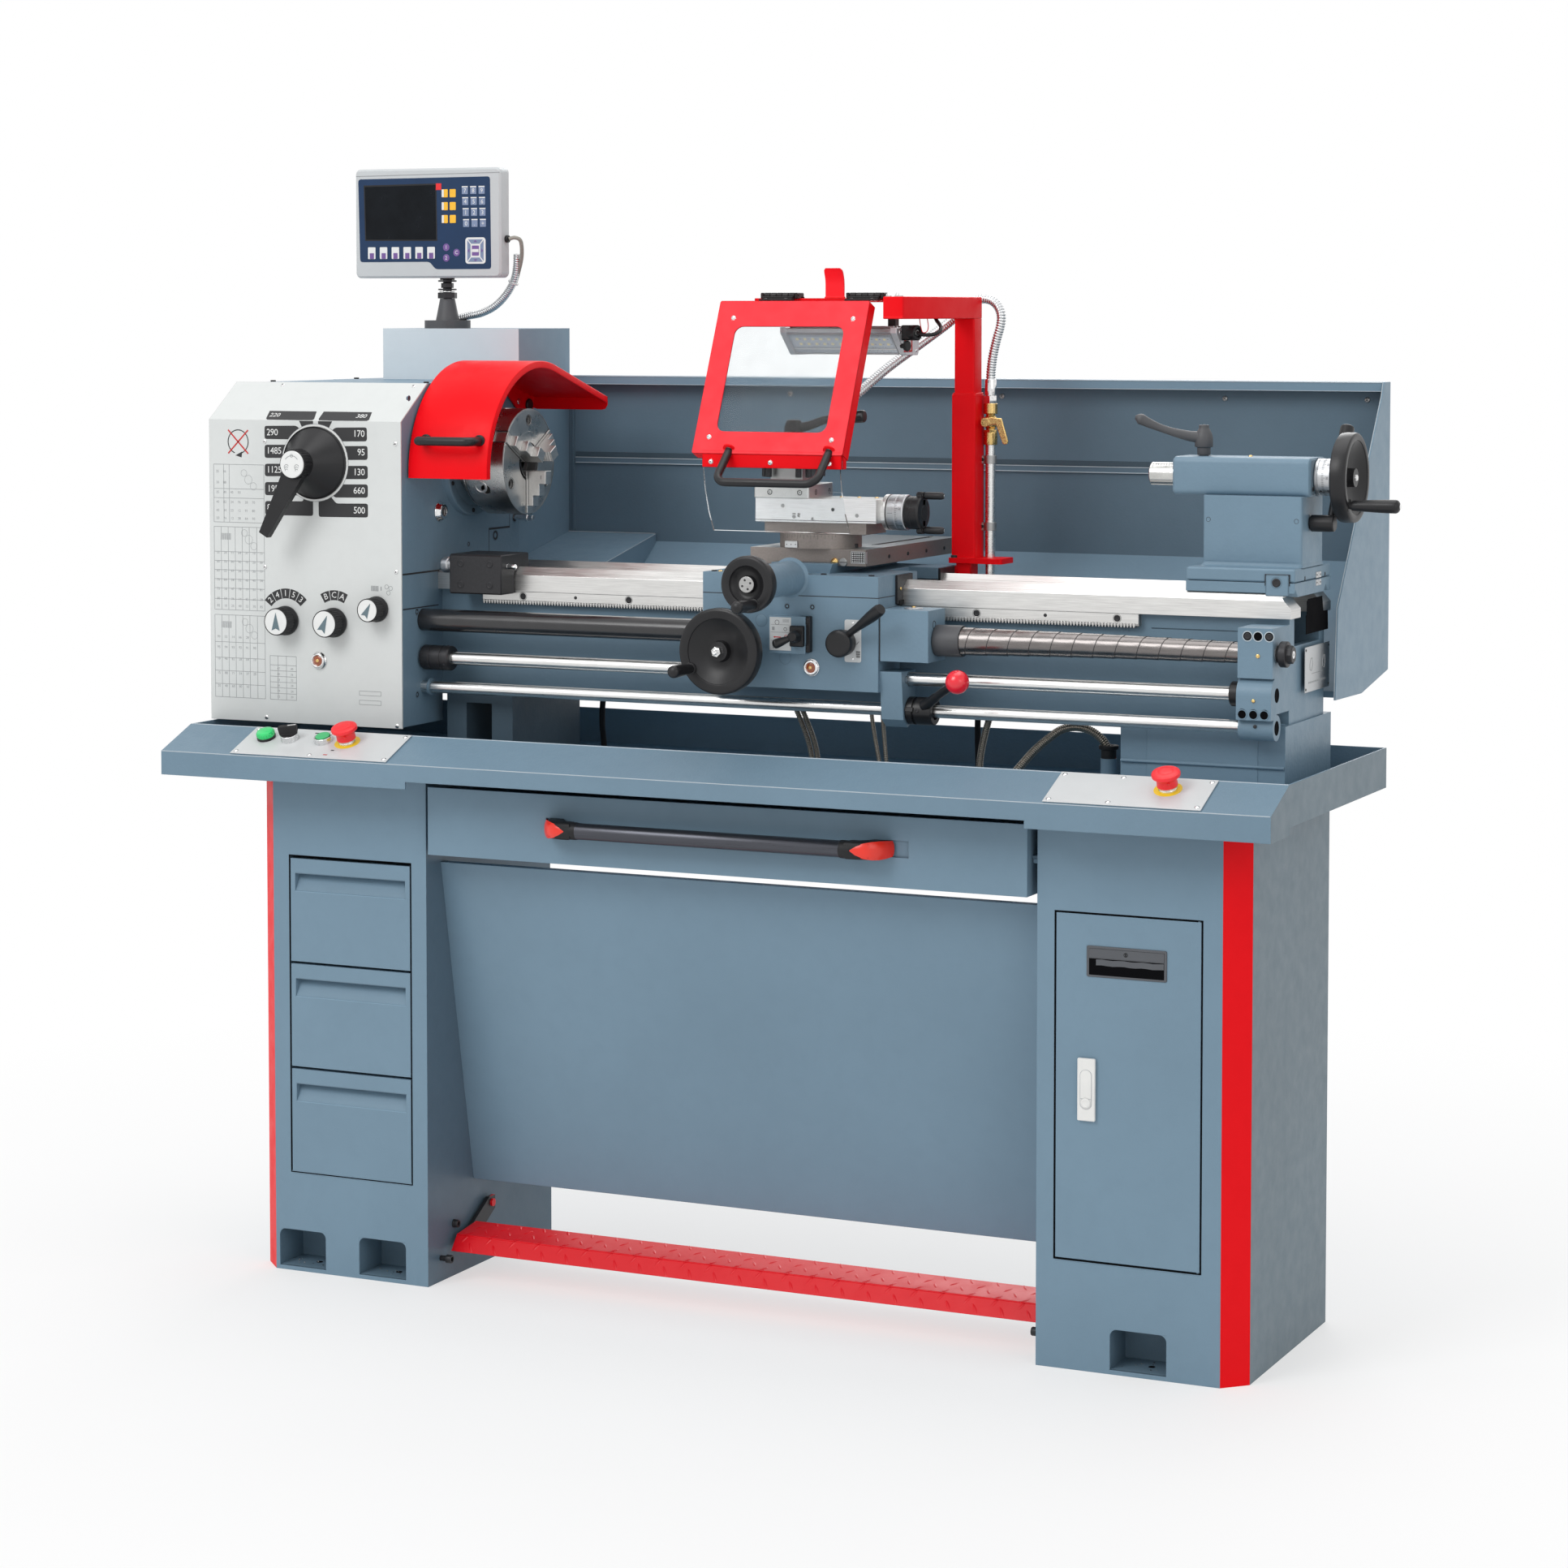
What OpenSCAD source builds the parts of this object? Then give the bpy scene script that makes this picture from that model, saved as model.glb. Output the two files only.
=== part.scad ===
// Bench lathe on a two-cabinet stand: headstock, bed, carriage, tailstock, chip tray and guards.
// Units mm. Origin on the floor midway between the cabinets. +X to the tailstock, +Y to the rear, +Z up.

/* [Stand] */
// half the length over both cabinets
stand_half_l = 787; // [760:1:820]
// half the clear gap between the cabinets
stand_gap_half = 487; // [470:1:500]
// depth of a cabinet
cab_d = 385; // [360:1:400]
// height of a cabinet
cab_h = 772; // [760:1:780]
// cabinet sheet thickness
sheet_t = 3; // [2:0.5:4]
// chamfer on the outer front edge of a cabinet
cab_chamfer = 32; // [20:1:40]
// height of one small drawer bay
bay_h = 161; // [150:1:165]
// bottom of the drawer and door opening
bay_z = 154; // [140:1:160]
// width of the sheet left beside an opening
stile_w = 44; // [40:1:50]
// gap round drawers, door and covers
gap = 1.5; // [1:0.5:2.5]
// anchor hole radius
anchor_r = 8; // [6:0.5:10]
// distance of an outer anchor hole from the end of its cabinet
anchor_in = 79; // [70:1:95]
// half spacing of the anchor holes along Y
anchor_y = 150; // [130:1:160]

/* [Chip tray] */
// left end of the tray
tray_x0 = -899; // [-920:1:-880]
// right end of the tray
tray_x1 = 848; // [840:1:870]
// front lip of the tray
tray_y0 = -280; // [-300:1:-270]
// rear wall of the tray
tray_y1 = 268; // [250:1:290]
// top of the front slope, measured back from the lip
slope_d = 80; // [70:1:90]
// height of the tray rim above the cabinet top
rim_h = 58; // [53:1:68]
// height of the fold between lip and slope above the cabinet top
fold_h = 25; // [18:1:30]
// bottom of the lip from the cabinet top
lip_h = -11; // [-22:1:-2]

/* [Bed] */
// height of the spindle axis
axis_z = 1230; // [1220:1:1240]
// position of the spindle axis behind the origin
axis_y = 60; // [55:1:65]
// centre height above the ways
centre_h = 164; // [160:1:170]
// width over the ways
bed_w = 187; // [180:1:200]
// right end of the bed
bed_x1 = 797; // [780:1:810]
// bottom of the bed casting
bed_z0 = 888; // [880:1:895]
// height of the ground edge of a way
way_h = 29; // [24:1:32]
// width of one way
way_w = 44; // [38:1:50]
// height of a V way
vee_h = 8; // [6:0.5:10]
// pitch of the rack
rack_pitch = 4.71; // [3.14:0.01:6.28]

/* [Headstock] */
// right face of the headstock
head_x1 = -558; // [-565:1:-550]
// left face of the headstock casting
head_x0 = -856; // [-870:1:-840]
// left end of the end cover and the front cover
cover_x0 = -900; // [-910:1:-890]
// front of the headstock casting
head_y0 = -140; // [-150:1:-135]
// rear of the headstock casting
head_y1 = 218; // [210:1:225]
// top of the headstock casting
head_z1 = 1350; // [1340:1:1360]
// bottom of the gearbox
gear_z0 = 834; // [832:1:845]
// rear of the electrical cabinet
elec_y1 = 392; // [380:1:400]
// top of the electrical cabinet
elec_z1 = 1433; // [1420:1:1445]
// radius of the spindle
spindle_r = 38; // [34:0.5:42]
// spindle bore radius
bore_r = 26; // [19:0.5:27]
// radius of the three-jaw chuck
chuck_r = 81.5; // [78:0.5:84]
// front face of the chuck
chuck_x1 = -451; // [-455:1:-445]
// thickness of the chuck body
chuck_t = 63; // [58:1:68]

/* [Carriage] */
// left end of the saddle
saddle_x0 = -66; // [-75:1:-60]
// right end of the saddle
saddle_x1 = 212; // [205:1:220]
// front of the apron
apron_y0 = -115; // [-120:1:-110]
// bottom of the apron
apron_z0 = 918; // [912:1:924]
// top of the saddle above the ways
saddle_t = 17; // [14:1:20]
// width of the cross slide
cross_w = 184; // [170:1:200]
// length of the cross slide
cross_l = 350; // [320:1:360]
// radius of the apron handwheel
apron_wheel_r = 62.5; // [58:0.5:66]
// radius of the cross feed handwheel
cross_wheel_r = 40.5; // [36:0.5:44]

/* [Rods] */
// distance of the rods in front of the origin
rod_y = -80; // [-84:1:-78]
// height of the lead screw
screw_z = 993; // [990:1:996]
// height of the feed rod
feed_z = 936; // [933:1:939]
// height of the control rod
control_z = 891; // [888:1:893]
// radius of the lead screw
screw_r = 11; // [10:0.5:12]
// radius of the feed rod
feed_r = 9.5; // [9:0.5:10]
// radius of the control rod
control_r = 9; // [8:0.5:9.5]

/* [Tailstock] */
// left end of the tailstock base
tail_x0 = 641; // [630:1:650]
// right end of the tailstock base
tail_x1 = 799; // [795:1:802]
// radius of the quill
quill_r = 17; // [15:0.5:18]
// radius of the tailstock handwheel
tail_wheel_r = 63; // [58:0.5:66]

/* [Hidden] */
$fn = 48;
e = 0.01;
// stand height that the levels over the tray are drawn for
drawn_h = 772;
rim_z = cab_h + rim_h;
fold_z = cab_h + fold_h;
lip_z = cab_h + lip_h;
run = 0.05;
slip = 0.2;
knob_fn = 32;
cab_y0 = -cab_d / 2 - 2.5;
cab_y1 = cab_y0 + cab_d;
bay_x = (stand_half_l + stand_gap_half) / 2;
anchor_x = stand_half_l - anchor_in;
bay_w = stand_half_l - stand_gap_half - 2 * stile_w;
drawer_z1 = cab_h - 16;
drawer_z0 = cab_h - 117;
panel_z1 = cab_h - 136;
panel_z0 = 136;
cab_out = stand_half_l - stand_gap_half;
foot_w = 82;
foot_z0 = 6;
foot_z1 = 63;
foot_d = 75;
floor_t = 5;
way_z = axis_z - centre_h;
bed_y0 = axis_y - bed_w / 2;
bed_y1 = axis_y + bed_w / 2;
wall_t = 22;
wall_in = 12;
rib_n = 8;
vee_y = 14;
rack_x0 = -480;
rack_x1 = 575;
rack_h = 20;
rack_t = 12;
head_wall = 12;
head_lean_y = 78;
head_lean_z = 55;
boss_r = 85;
boss_t = 11;
nose_r = 53;
nose_t = 18;
plate_t = 14;
chuck_x0 = chuck_x1 - chuck_t;
jaw_w = 18;
jaw_depth = 20;
jaw_in = 14;
jaw_steps = [[34, 34], [52, 23], [68, 12]];
saddle_z1 = way_z + saddle_t;
apron_z1 = way_z - 13;
saddle_y1 = 170;
cross_x = (saddle_x0 + saddle_x1) / 2 + 1;
cross_y0 = -55;
cross_z0 = saddle_z1 + 10;
cross_t = 24;
cross_z1 = cross_z0 + cross_t;
swivel_y = -8;
swivel_r = 60;
swivel_z1 = cross_z1 + 21;
top_x0 = cross_x - 86;
top_l = 192;
top_w = 84;
top_z0 = swivel_z1 + 17;
top_z1 = top_z0 + 34;
dove_h = 10;
dove_w = 44;
dove_flare = 5;
cross_wheel_z = 1078;
cross_wheel_y = -262;
apron_wheel_x = -8;
apron_wheel_z = 974;
apron_wheel_y = -186;
post_x = 226;
post_y = 187;
post_z1 = 1482;
rod_bracket_x0 = 742;
rod_bracket_x1 = 792;
slope_a = atan2(rim_z - fold_z, slope_d);
slope_l = sqrt(pow(slope_d, 2) + pow(rim_z - fold_z, 2));
guard_x0 = -555;
guard_x1 = -419;
guard_r = 169;
guard_y = 42;
guard_z = 1216;
guard_pivot = [242, 1312];
shield_x0 = -54;
shield_x1 = 183;
shield_hinge = [-19, 1484];
readout_stem = [-711, 262];
foot_bar_y = -100;
foot_bar_z = 58;
foot_pivot = [-20, 92];
paint = [0.42, 0.53, 0.59];
red = [0.86, 0.08, 0.1];
black = [0.08, 0.08, 0.09];
steel = [0.75, 0.75, 0.74];
white = [0.9, 0.9, 0.88];

// axis-aligned block from its low corner to its high corner
module block(lo, hi) {
  translate(lo)
    cube(hi - lo);
}

module rod_x(x0, x1, y, z, r) {
  translate([x0, y, z])
    rotate([0, 90, 0])
      cylinder(h = x1 - x0, r = r);
}

module rod_y(y0, y1, x, z, r) {
  translate([x, y1, z])
    rotate([90, 0, 0])
      cylinder(h = y1 - y0, r = r);
}

module rod_z(z0, z1, x, y, r) {
  translate([x, y, z0])
    cylinder(h = z1 - z0, r = r);
}

// a [y, z] outline carried along X
module along_x(x0, x1, pts) {
  translate([x0, 0, 0])
    rotate([90, 0, 90])
      linear_extrude(x1 - x0)
        polygon(pts);
}

// a [x, z] outline carried along Y
module along_y(y0, y1, pts) {
  translate([0, y1, 0])
    rotate([90, 0, 0])
      linear_extrude(y1 - y0)
        polygon(pts);
}

// straight round bar between two points
module bar(a, b, r) {
  v = b - a;
  l = norm(v);
  translate(a)
    rotate([0, acos(v.z / l), atan2(v.y, v.x)])
      cylinder(h = l, r = r, $fn = knob_fn);
}

// places its children on the front slope, local Z square to the sheet
module on_slope(x, s) {
  translate([x, tray_y0 + s * cos(slope_a), fold_z + s * sin(slope_a)])
    rotate([slope_a, 0, 0])
      children();
}

// lifts the machine when the cabinets get taller
module on_stand() {
  translate([0, 0, cab_h - drawn_h])
    children();
}

// ---- stand ----

function cab_outline(in) = [
  [stand_gap_half + in, cab_y0 + in],
  [stand_half_l - cab_chamfer - in / 2, cab_y0 + in],
  [stand_half_l - in, cab_y0 + cab_chamfer + in / 2],
  [stand_half_l - in, cab_y1 - in],
  [stand_gap_half + in, cab_y1 - in]];

module bay_cut() {
  block([bay_x - 17 - bay_w / 2, cab_y0 - 1, bay_z], [bay_x - 17 + bay_w / 2, cab_y0 + 5,
    bay_z + 3 * bay_h]);
}

module anchor_cuts() {
  for (x = [anchor_x, 2 * bay_x - anchor_x])
    for (y = [-anchor_y, anchor_y])
      rod_z(-1, floor_t + 1, x, y, anchor_r);
}

module cabinet(pockets) {
  difference() {
    linear_extrude(cab_h)
      polygon(cab_outline(0));
    translate([0, 0, floor_t])
      linear_extrude(cab_h - floor_t - sheet_t)
        polygon(cab_outline(sheet_t));
    bay_cut();
    anchor_cuts();
    for (x = pockets)
      block([x - foot_w / 2, cab_y0 - 1, foot_z0], [x + foot_w / 2, cab_y0 + 5, foot_z1]);
    // pivot holes of the foot bar
    rod_x(stand_gap_half - 1, stand_gap_half + 5, foot_pivot[0], foot_pivot[1], 6 + run);
  }
  // slide strips of the wide drawer
  block([stand_gap_half - 9, cab_y0 + 8, drawer_z0 + 45], [stand_gap_half + e, cab_y1 - 20,
    drawer_z0 + 51]);
}

// two sheets with ledges that carry the small drawers
module runners() {
  for (s = [-1, 1])
    translate([bay_x - 17, 0, 0])
      mirror([s > 0 ? 0 : 1, 0, 0]) {
        block([bay_w / 2 + 2, cab_y0 + sheet_t - e, floor_t - e], [bay_w / 2 + 4,
          cab_y1 - sheet_t + e, bay_z + 3 * bay_h + 23]);
        for (i = [0:2])
          block([bay_w / 2 - 14, cab_y0 + 8, bay_z + i * bay_h - 2],
            [bay_w / 2 + 2 + e, cab_y1 - 10, bay_z + i * bay_h]);
      }
}

module left_pedestal() {
  color(paint)
    mirror([1, 0, 0]) {
      cabinet([bay_x + 70.5, bay_x - 70.5]);
      runners();
    }
}

module right_pedestal() {
  color(paint) {
    difference() {
      union() {
        cabinet([bay_x]);
        hinge_lugs();
      }
      hinge_pins(2.5 + run, 10);
    }
    block([stand_gap_half + sheet_t - e, cab_y0 + 30, 400], [stand_half_l - sheet_t + e, cab_y1 - 2, 402]);
  }
}

module center_panel() {
  color(paint)
    along_x(-stand_gap_half + e, stand_gap_half - e,
      [[-152, panel_z1], [-57, panel_z0], [-40, panel_z0], [-40, panel_z0 + 2], [-55.4, panel_z0 + 2],
        [-150, panel_z1 - 2], [-135, panel_z1 - 2], [-135, panel_z1]]);
}

module small_drawer(i) {
  x = -(bay_x - 17);
  w = bay_w / 2 - gap;
  z0 = bay_z + i * bay_h;
  z1 = z0 + bay_h - 4;
  color(paint)
    difference() {
      block([x - w, cab_y0, z0], [x + w, cab_y1 - 60, z1]);
      block([x - w + 2, cab_y0 + 22, z0 + 2], [x + w - 2, cab_y1 - 62, z1 + 1]);
      block([x - w + 2, cab_y0 + 2, z0 + 2], [x + w - 2, cab_y0 + 20, z1 - 52]);
      // finger recess along the top of the front
      block([x - w + 8, cab_y0 - 1, z1 - 50], [x + w - 8, cab_y0 + 18, z1 - 22]);
    }
}

module wide_drawer() {
  half = stand_gap_half - 9 - gap;
  z0 = drawer_z0;
  z1 = drawer_z1;
  color(paint)
    difference() {
      block([-half, cab_y0 - 12, z0], [half, cab_y1 - 40, z1]);
      block([-half + 2, cab_y0 - 8, z0 + 2], [half - 2, cab_y1 - 42, z1 + 1]);
    }
  color(paint)
    for (s = [-1, 1])
      block([s > 0 ? half - e : -half - 7.5, cab_y0 + 10, z0 + 51], [s > 0 ? half + 7.5 : -half + e,
        cab_y1 - 50, z0 + 55]);
  color(black) {
    for (s = [-1, 1])
      block([11 + s * 274 - 14, cab_y0 - 52, z0 + 43], [11 + s * 274 + 14, cab_y0 - 12 + e, z0 + 67]);
    rod_x(11 - 270, 11 + 270, cab_y0 - 44, z0 + 55, 12);
  }
}

module door() {
  x0 = bay_x - 17 - bay_w / 2 + gap;
  x1 = bay_x - 17 + bay_w / 2 - gap;
  z0 = bay_z + gap;
  z1 = bay_z + 3 * bay_h - gap;
  color(paint)
    difference() {
      block([x0, cab_y0, z0], [x1, cab_y0 + 16, z1]);
      block([x0 + 2, cab_y0 + 2.5, z0 + 2], [x1 - 2, cab_y0 + 17, z1 - 94]);
      block([x0 + 46, cab_y0 - 1, z1 - 84], [x1 - 50, cab_y0 + 13, z1 - 44]);
      rod_y(cab_y0 - 1, cab_y0 + 4, x0 + 46, 395, 6 + run);
    }
  color(steel)
    hinge_pins(2.5, 6);
}

// lugs over and under the door opening, drilled for the hinge pins
module hinge_lugs() {
  x = bay_x - 17 + bay_w / 2 - gap - 3;
  for (z = [bay_z - 8, bay_z + 3 * bay_h])
    block([x - 7, cab_y0 + sheet_t - e, z], [x + 7, cab_y0 + 8, z + 8]);
}

module hinge_pins(r, l) {
  x = bay_x - 17 + bay_w / 2 - gap - 3;
  rod_z(bay_z - l, bay_z + 4, x, cab_y0 + 3, r);
  rod_z(bay_z + 3 * bay_h - 4, bay_z + 3 * bay_h + l, x, cab_y0 + 3, r);
}

module latch() {
  x = bay_x - 17 - bay_w / 2 + gap + 46;
  color(white) {
    block([x - 13, cab_y0 - 6, 350], [x + 13, cab_y0 - 0.5, 437]);
    block([x - 5, cab_y0 - 18, 356], [x + 5, cab_y0 - 6 + e, 430]);
    rod_y(cab_y0 - 1, cab_y0 + 10, x, 395, 6);
  }
}

module foot_bar() {
  x = stand_gap_half - 9;
  y = foot_bar_y;
  z = foot_bar_z;
  color(red)
    difference() {
      along_x(-x, x, [[y - 42, z - 14], [y - 24, z + 8], [y + 30, z + 16], [y + 40, z + 6], [y + 40,
        z - 14]]);
      along_x(-x + 3, x - 3, [[y - 36, z - 15], [y - 22, z + 4], [y + 29, z + 13], [y + 37, z + 5],
        [y + 37, z - 15]]);
    }
  color(black)
    for (s = [-1, 1]) {
      along_x(s * (x + 1) - 3, s * (x + 1) + 3, [[y + 10, z - 12], [y + 10, z + 8],
        [foot_pivot[0] - 8, foot_pivot[1] + 10],
        [foot_pivot[0] + 10, foot_pivot[1] + 10], [foot_pivot[0] + 10, foot_pivot[1] - 10], [y + 30,
          z - 12]]);
      rod_x(s * (x + 6) - 11, s * (x + 6) + 11, foot_pivot[0], foot_pivot[1], 6);
    }
}

// ---- chip tray ----

module chip_tray() {
  y1 = tray_y0 + slope_d;
  color(paint)
    difference() {
      union() {
        along_x(tray_x0, tray_x1, [
          [tray_y0, lip_z + 11], [tray_y0, fold_z], [y1, rim_z], [tray_y1, rim_z], [tray_y1, cab_h],
            [y1 + 8, cab_h],
          [y1 + 8, lip_z + 11]]);
        for (x = [[tray_x0, -472], [500, tray_x1]])
          block([x[0], tray_y0, lip_z], [x[1], cab_y0 - e, lip_z + 11 + e]);
      }
      block([tray_x0 + 3, y1 + 8, cab_h + sheet_t], [tray_x1 - 3, tray_y1 - 3, rim_z + 1]);
      along_x(tray_x0 + 3, tray_x1 - 3, [
        [tray_y0 + 3, lip_z - 1], [tray_y0 + 3, fold_z - 2], [y1 + 5, rim_z - 4], [y1 + 5, lip_z - 1]]);
      for (x = [-741, -699, -640, -599, 689])
        on_slope(x, 52)
          translate([0, 0, -8])
            cylinder(h = 16, r = 11 + slip);
    }
  color(white)
    for (p = [[-776, -506], [526, 750]])
      difference() {
        on_slope((p[0] + p[1]) / 2, slope_l / 2)
          translate([(p[0] - p[1]) / 2, -slope_l / 2 + 3, -e])
            cube([p[1] - p[0], slope_l - 6, 1.5]);
        for (x = [-741, -699, -640, -599, 689])
          on_slope(x, 52)
            translate([0, 0, -8])
              cylinder(h = 16, r = 11 + slip);
      }
  // green pilot lamp
  color([0.1, 0.7, 0.3])
    on_slope(-741, 52)
      translate([0, 0, -7])
        difference() {
          cylinder(h = 22, r = 11 + slip + e);
          translate([0, 0, -1])
            cylinder(h = 8, r = 7);
        }
}

module push_part(x, cap_r, cap_h, stem_h, c) {
  on_slope(x, 52) {
    color(c)
      translate([0, 0, stem_h])
        cylinder(h = cap_h, r = cap_r);
    color(black)
      translate([0, 0, -12])
        cylinder(h = stem_h + 12 + e, r = 11 - run + slip);
  }
}

module selector() {
  on_slope(-699, 52)
    color(black) {
      translate([0, 0, -12])
        cylinder(h = 24, r = 11 - run + slip);
      translate([0, 0, 2])
        cylinder(h = 10, r = 14);
      translate([-14, -5, 12 - e])
        cube([28, 10, 14]);
    }
}

// ---- bed ----

module vee(x0, x1, y, grow) {
  along_x(x0, x1, [[y - vee_h - grow, way_z - e], [y, way_z + vee_h + grow], [y + vee_h + grow,
    way_z - e]]);
}

module bed() {
  color(paint)
    difference() {
      union() {
        for (y = [bed_y0 + wall_in, bed_y1 - wall_in - wall_t])
          block([head_x0, y, bed_z0], [bed_x1 - 6, y + wall_t, way_z - way_h + e]);
        block([head_x0, bed_y0 + wall_in, bed_z0], [bed_x1 - 6, bed_y0 + 44, bed_z0 + 18]);
        block([head_x0, bed_y1 - 44, bed_z0], [bed_x1 - 6, bed_y1 - wall_in, bed_z0 + 18]);
        for (i = [0:rib_n])
          translate([head_x0 + i * (bed_x1 - 20 - head_x0) / rib_n, bed_y0 + wall_in + e, bed_z0])
            cube([14, bed_w - 2 * wall_in - 2 * e, way_z - way_h - bed_z0 - 40]);
        for (x = [[-534, -420], [555, bed_x1 - 2]])
          block([x[0], bed_y0 - 16, drawn_h + sheet_t], [x[1], bed_y1 + 12, bed_z0 + 2]);
      }
      for (x = [-500, 600])
        block([x, bed_y0 - 30, drawn_h + 2], [x + (x > 0 ? 150 : 44), bed_y1 + 30, bed_z0 - 22]);
    }
  color(steel)
    difference() {
      union() {
        for (y = [bed_y0, bed_y1 - way_w])
          along_x(head_x0, bed_x1, [[y, way_z - way_h], [y, way_z - 4], [y + 4, way_z], [y + way_w, way_z],
            [y + way_w, way_z - way_h]]);
        vee(head_x1 + 2, bed_x1, bed_y0 + vee_y, 0);
        vee(head_x1 + 2, bed_x1, bed_y1 - way_w + vee_y, 0);
      }
      // bevelled end of the front way
      along_y(bed_y0 - 5, bed_y1 + 5, [[bed_x1 + 1, way_z - way_h + 12], [bed_x1 + 1, way_z + 20],
        [bed_x1 - 14, way_z + 20], [bed_x1 - 14, way_z]]);
    }
  color(steel)
    rack();
}

module rack() {
  n = floor((rack_x1 - rack_x0) / rack_pitch);
  z1 = way_z - way_h + e;
  z0 = z1 - rack_h;
  teeth = [for (i = [0:n - 1]) each [
    [rack_x0 + i * rack_pitch, z0 + 3], [rack_x0 + (i + 0.3) * rack_pitch, z0],
    [rack_x0 + (i + 0.6) * rack_pitch, z0], [rack_x0 + (i + 0.9) * rack_pitch, z0 + 3]]];
  along_y(bed_y0 + 1, bed_y0 + wall_in + e, concat(teeth, [[rack_x1, z0 + 3], [rack_x1, z1],
    [rack_x0, z1]]));
}

module rod_bracket() {
  y0 = rod_y - 28;
  color(paint)
    difference() {
      union() {
        block([rod_bracket_x0, rod_y, bed_z0 + 22], [rod_bracket_x1, bed_y0 + wall_in, screw_z + 36]);
        block([rod_bracket_x0, y0 + 8, feed_z + 24], [rod_bracket_x1, rod_y + 1, screw_z + 36]);
        rod_x(rod_bracket_x0, rod_bracket_x1, rod_y, feed_z, 26);
        rod_x(rod_bracket_x0, rod_bracket_x1, rod_y, control_z, 18);
        block([rod_bracket_x0, rod_y - 26, control_z + 12], [rod_bracket_x1, rod_y, feed_z]);
      }
      rod_x(rod_bracket_x0 - 1, rod_bracket_x1 + 1, rod_y, screw_z, screw_r + run);
      rod_x(rod_bracket_x0 - 1, rod_bracket_x1 + 1, rod_y, feed_z, feed_r + run);
      rod_x(rod_bracket_x0 - 1, rod_bracket_x1 + 1, rod_y, control_z, control_r + run);
      for (x = [9, 25, 41])
        rod_y(y0 - 10, rod_y - 12, rod_bracket_x0 + x, (feed_z + control_z) / 2, 5);
    }
}

// ---- headstock ----

function head_outline(in) = [
  [head_y0 + in, way_z + in], [head_y0 + in, head_z1 - head_lean_z - in / 2],
  [head_y0 + head_lean_y + in / 2, head_z1 - in], [head_y1 - in, head_z1 - in], [head_y1 - in,
    way_z + in]];

module headstock() {
  w = head_wall;
  color(paint)
    difference() {
      union() {
        along_x(head_x0, head_x1, head_outline(0));
        block([head_x0, head_y0, gear_z0], [head_x1, bed_y0 + wall_in - slip, way_z - way_h - slip]);
        block([head_x0, head_y0, way_z - way_h - slip - e], [head_x1, bed_y0 - slip, way_z + e]);
        rod_x(head_x1 - e, head_x1 + boss_t, axis_y, axis_z, boss_r);
      }
      along_x(head_x0 + w, head_x1 - w, head_outline(w));
      block([head_x0 + w, head_y0 + w, gear_z0 + w], [head_x1 - w, bed_y0 - w, way_z - w]);
      rod_x(head_x0 - 1, head_x1 + boss_t + 1, axis_y, axis_z, spindle_r + run);
      rod_x(head_x1 - w - 1, head_x1 + 1, rod_y, screw_z, screw_r + run);
      rod_x(head_x1 - w - 1, head_x1 + 1, rod_y, feed_z, feed_r + run);
      rod_x(head_x1 - w - 1, head_x1 + 1, rod_y, control_z, control_r + run);
      for (k = knobs)
        rod_y(head_y0 - 1, head_y0 + w + 1, k[0], k[1], k[2] + run);
      // oil window
      rod_y(head_y0 - 1, head_y0 + w + 1, oil_window[0], oil_window[1], 9);
    }
}

// speed dial shaft and the three gearbox knobs: x, z, shaft radius
knobs = [[-709, 1231, 8], [-762, 989, 6], [-676, 989, 6], [-600, 1012, 6]];
oil_window = [-704, 930];

module front_cover() {
  y = head_y0 - 2.5;
  z = head_z1 - head_lean_z;
  color(white)
    difference() {
      along_x(cover_x0, head_x1, [
        [y, gear_z0 - 2], [y, z], [y + head_lean_y, head_z1 + 1.6], [y + head_lean_y + 2.5, head_z1 + 0.3],
        [y + 2.4, z + 0.1], [y + 2.4, gear_z0 - 2]]);
      for (k = knobs)
        rod_y(y - 1, y + 6, k[0], k[1], k[2] + 2);
      rod_y(y - 1, y + 6, oil_window[0], oil_window[1], 9.5);
    }
}

module electrical_cabinet() {
  y0 = head_y1 + slip;
  color(paint) {
    difference() {
      union() {
        block([cover_x0, y0, bed_z0], [head_x1, elec_y1, head_z1]);
        block([-808, y0 + 4, head_z1 - e], [head_x1, elec_y1, elec_z1]);
      }
      block([cover_x0 + 3, y0 + 3, bed_z0 + 3], [head_x1 - 3, elec_y1 - 3, head_z1 - 3]);
      block([-805, y0 + 7, head_z1 - 4], [head_x1 - 3, elec_y1 - 3, elec_z1 - 3]);
      rod_x(head_x1 - 4, head_x1 + 1, guard_pivot[0], guard_pivot[1], 8 + run);
      rod_z(elec_z1 - 4, elec_z1 + 1, readout_stem[0], readout_stem[1], 7 + run);
    }
    // end cover over the change gears
    difference() {
      block([cover_x0, head_y0, gear_z0], [head_x0 - slip, y0 + e, head_z1 - 56]);
      block([cover_x0 + 3, head_y0 + 3, gear_z0 + 3], [head_x0, y0 - 3, head_z1 - 59]);
      // bar stock passes through the cover
      rod_x(cover_x0 - 1, cover_x0 + 4, axis_y, axis_z, spindle_r + 4);
    }
  }
  color(black) {
    difference() {
      union() {
        rod_z(elec_z1 - e, elec_z1 + 13, readout_stem[0], readout_stem[1], 37);
        translate([readout_stem[0], readout_stem[1], elec_z1 + 13 - e])
          cylinder(h = 35, r1 = 19, r2 = 12);
      }
      rod_z(elec_z1 - 1, elec_z1 + 60, readout_stem[0], readout_stem[1], 7 + run);
    }
  }
}

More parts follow.
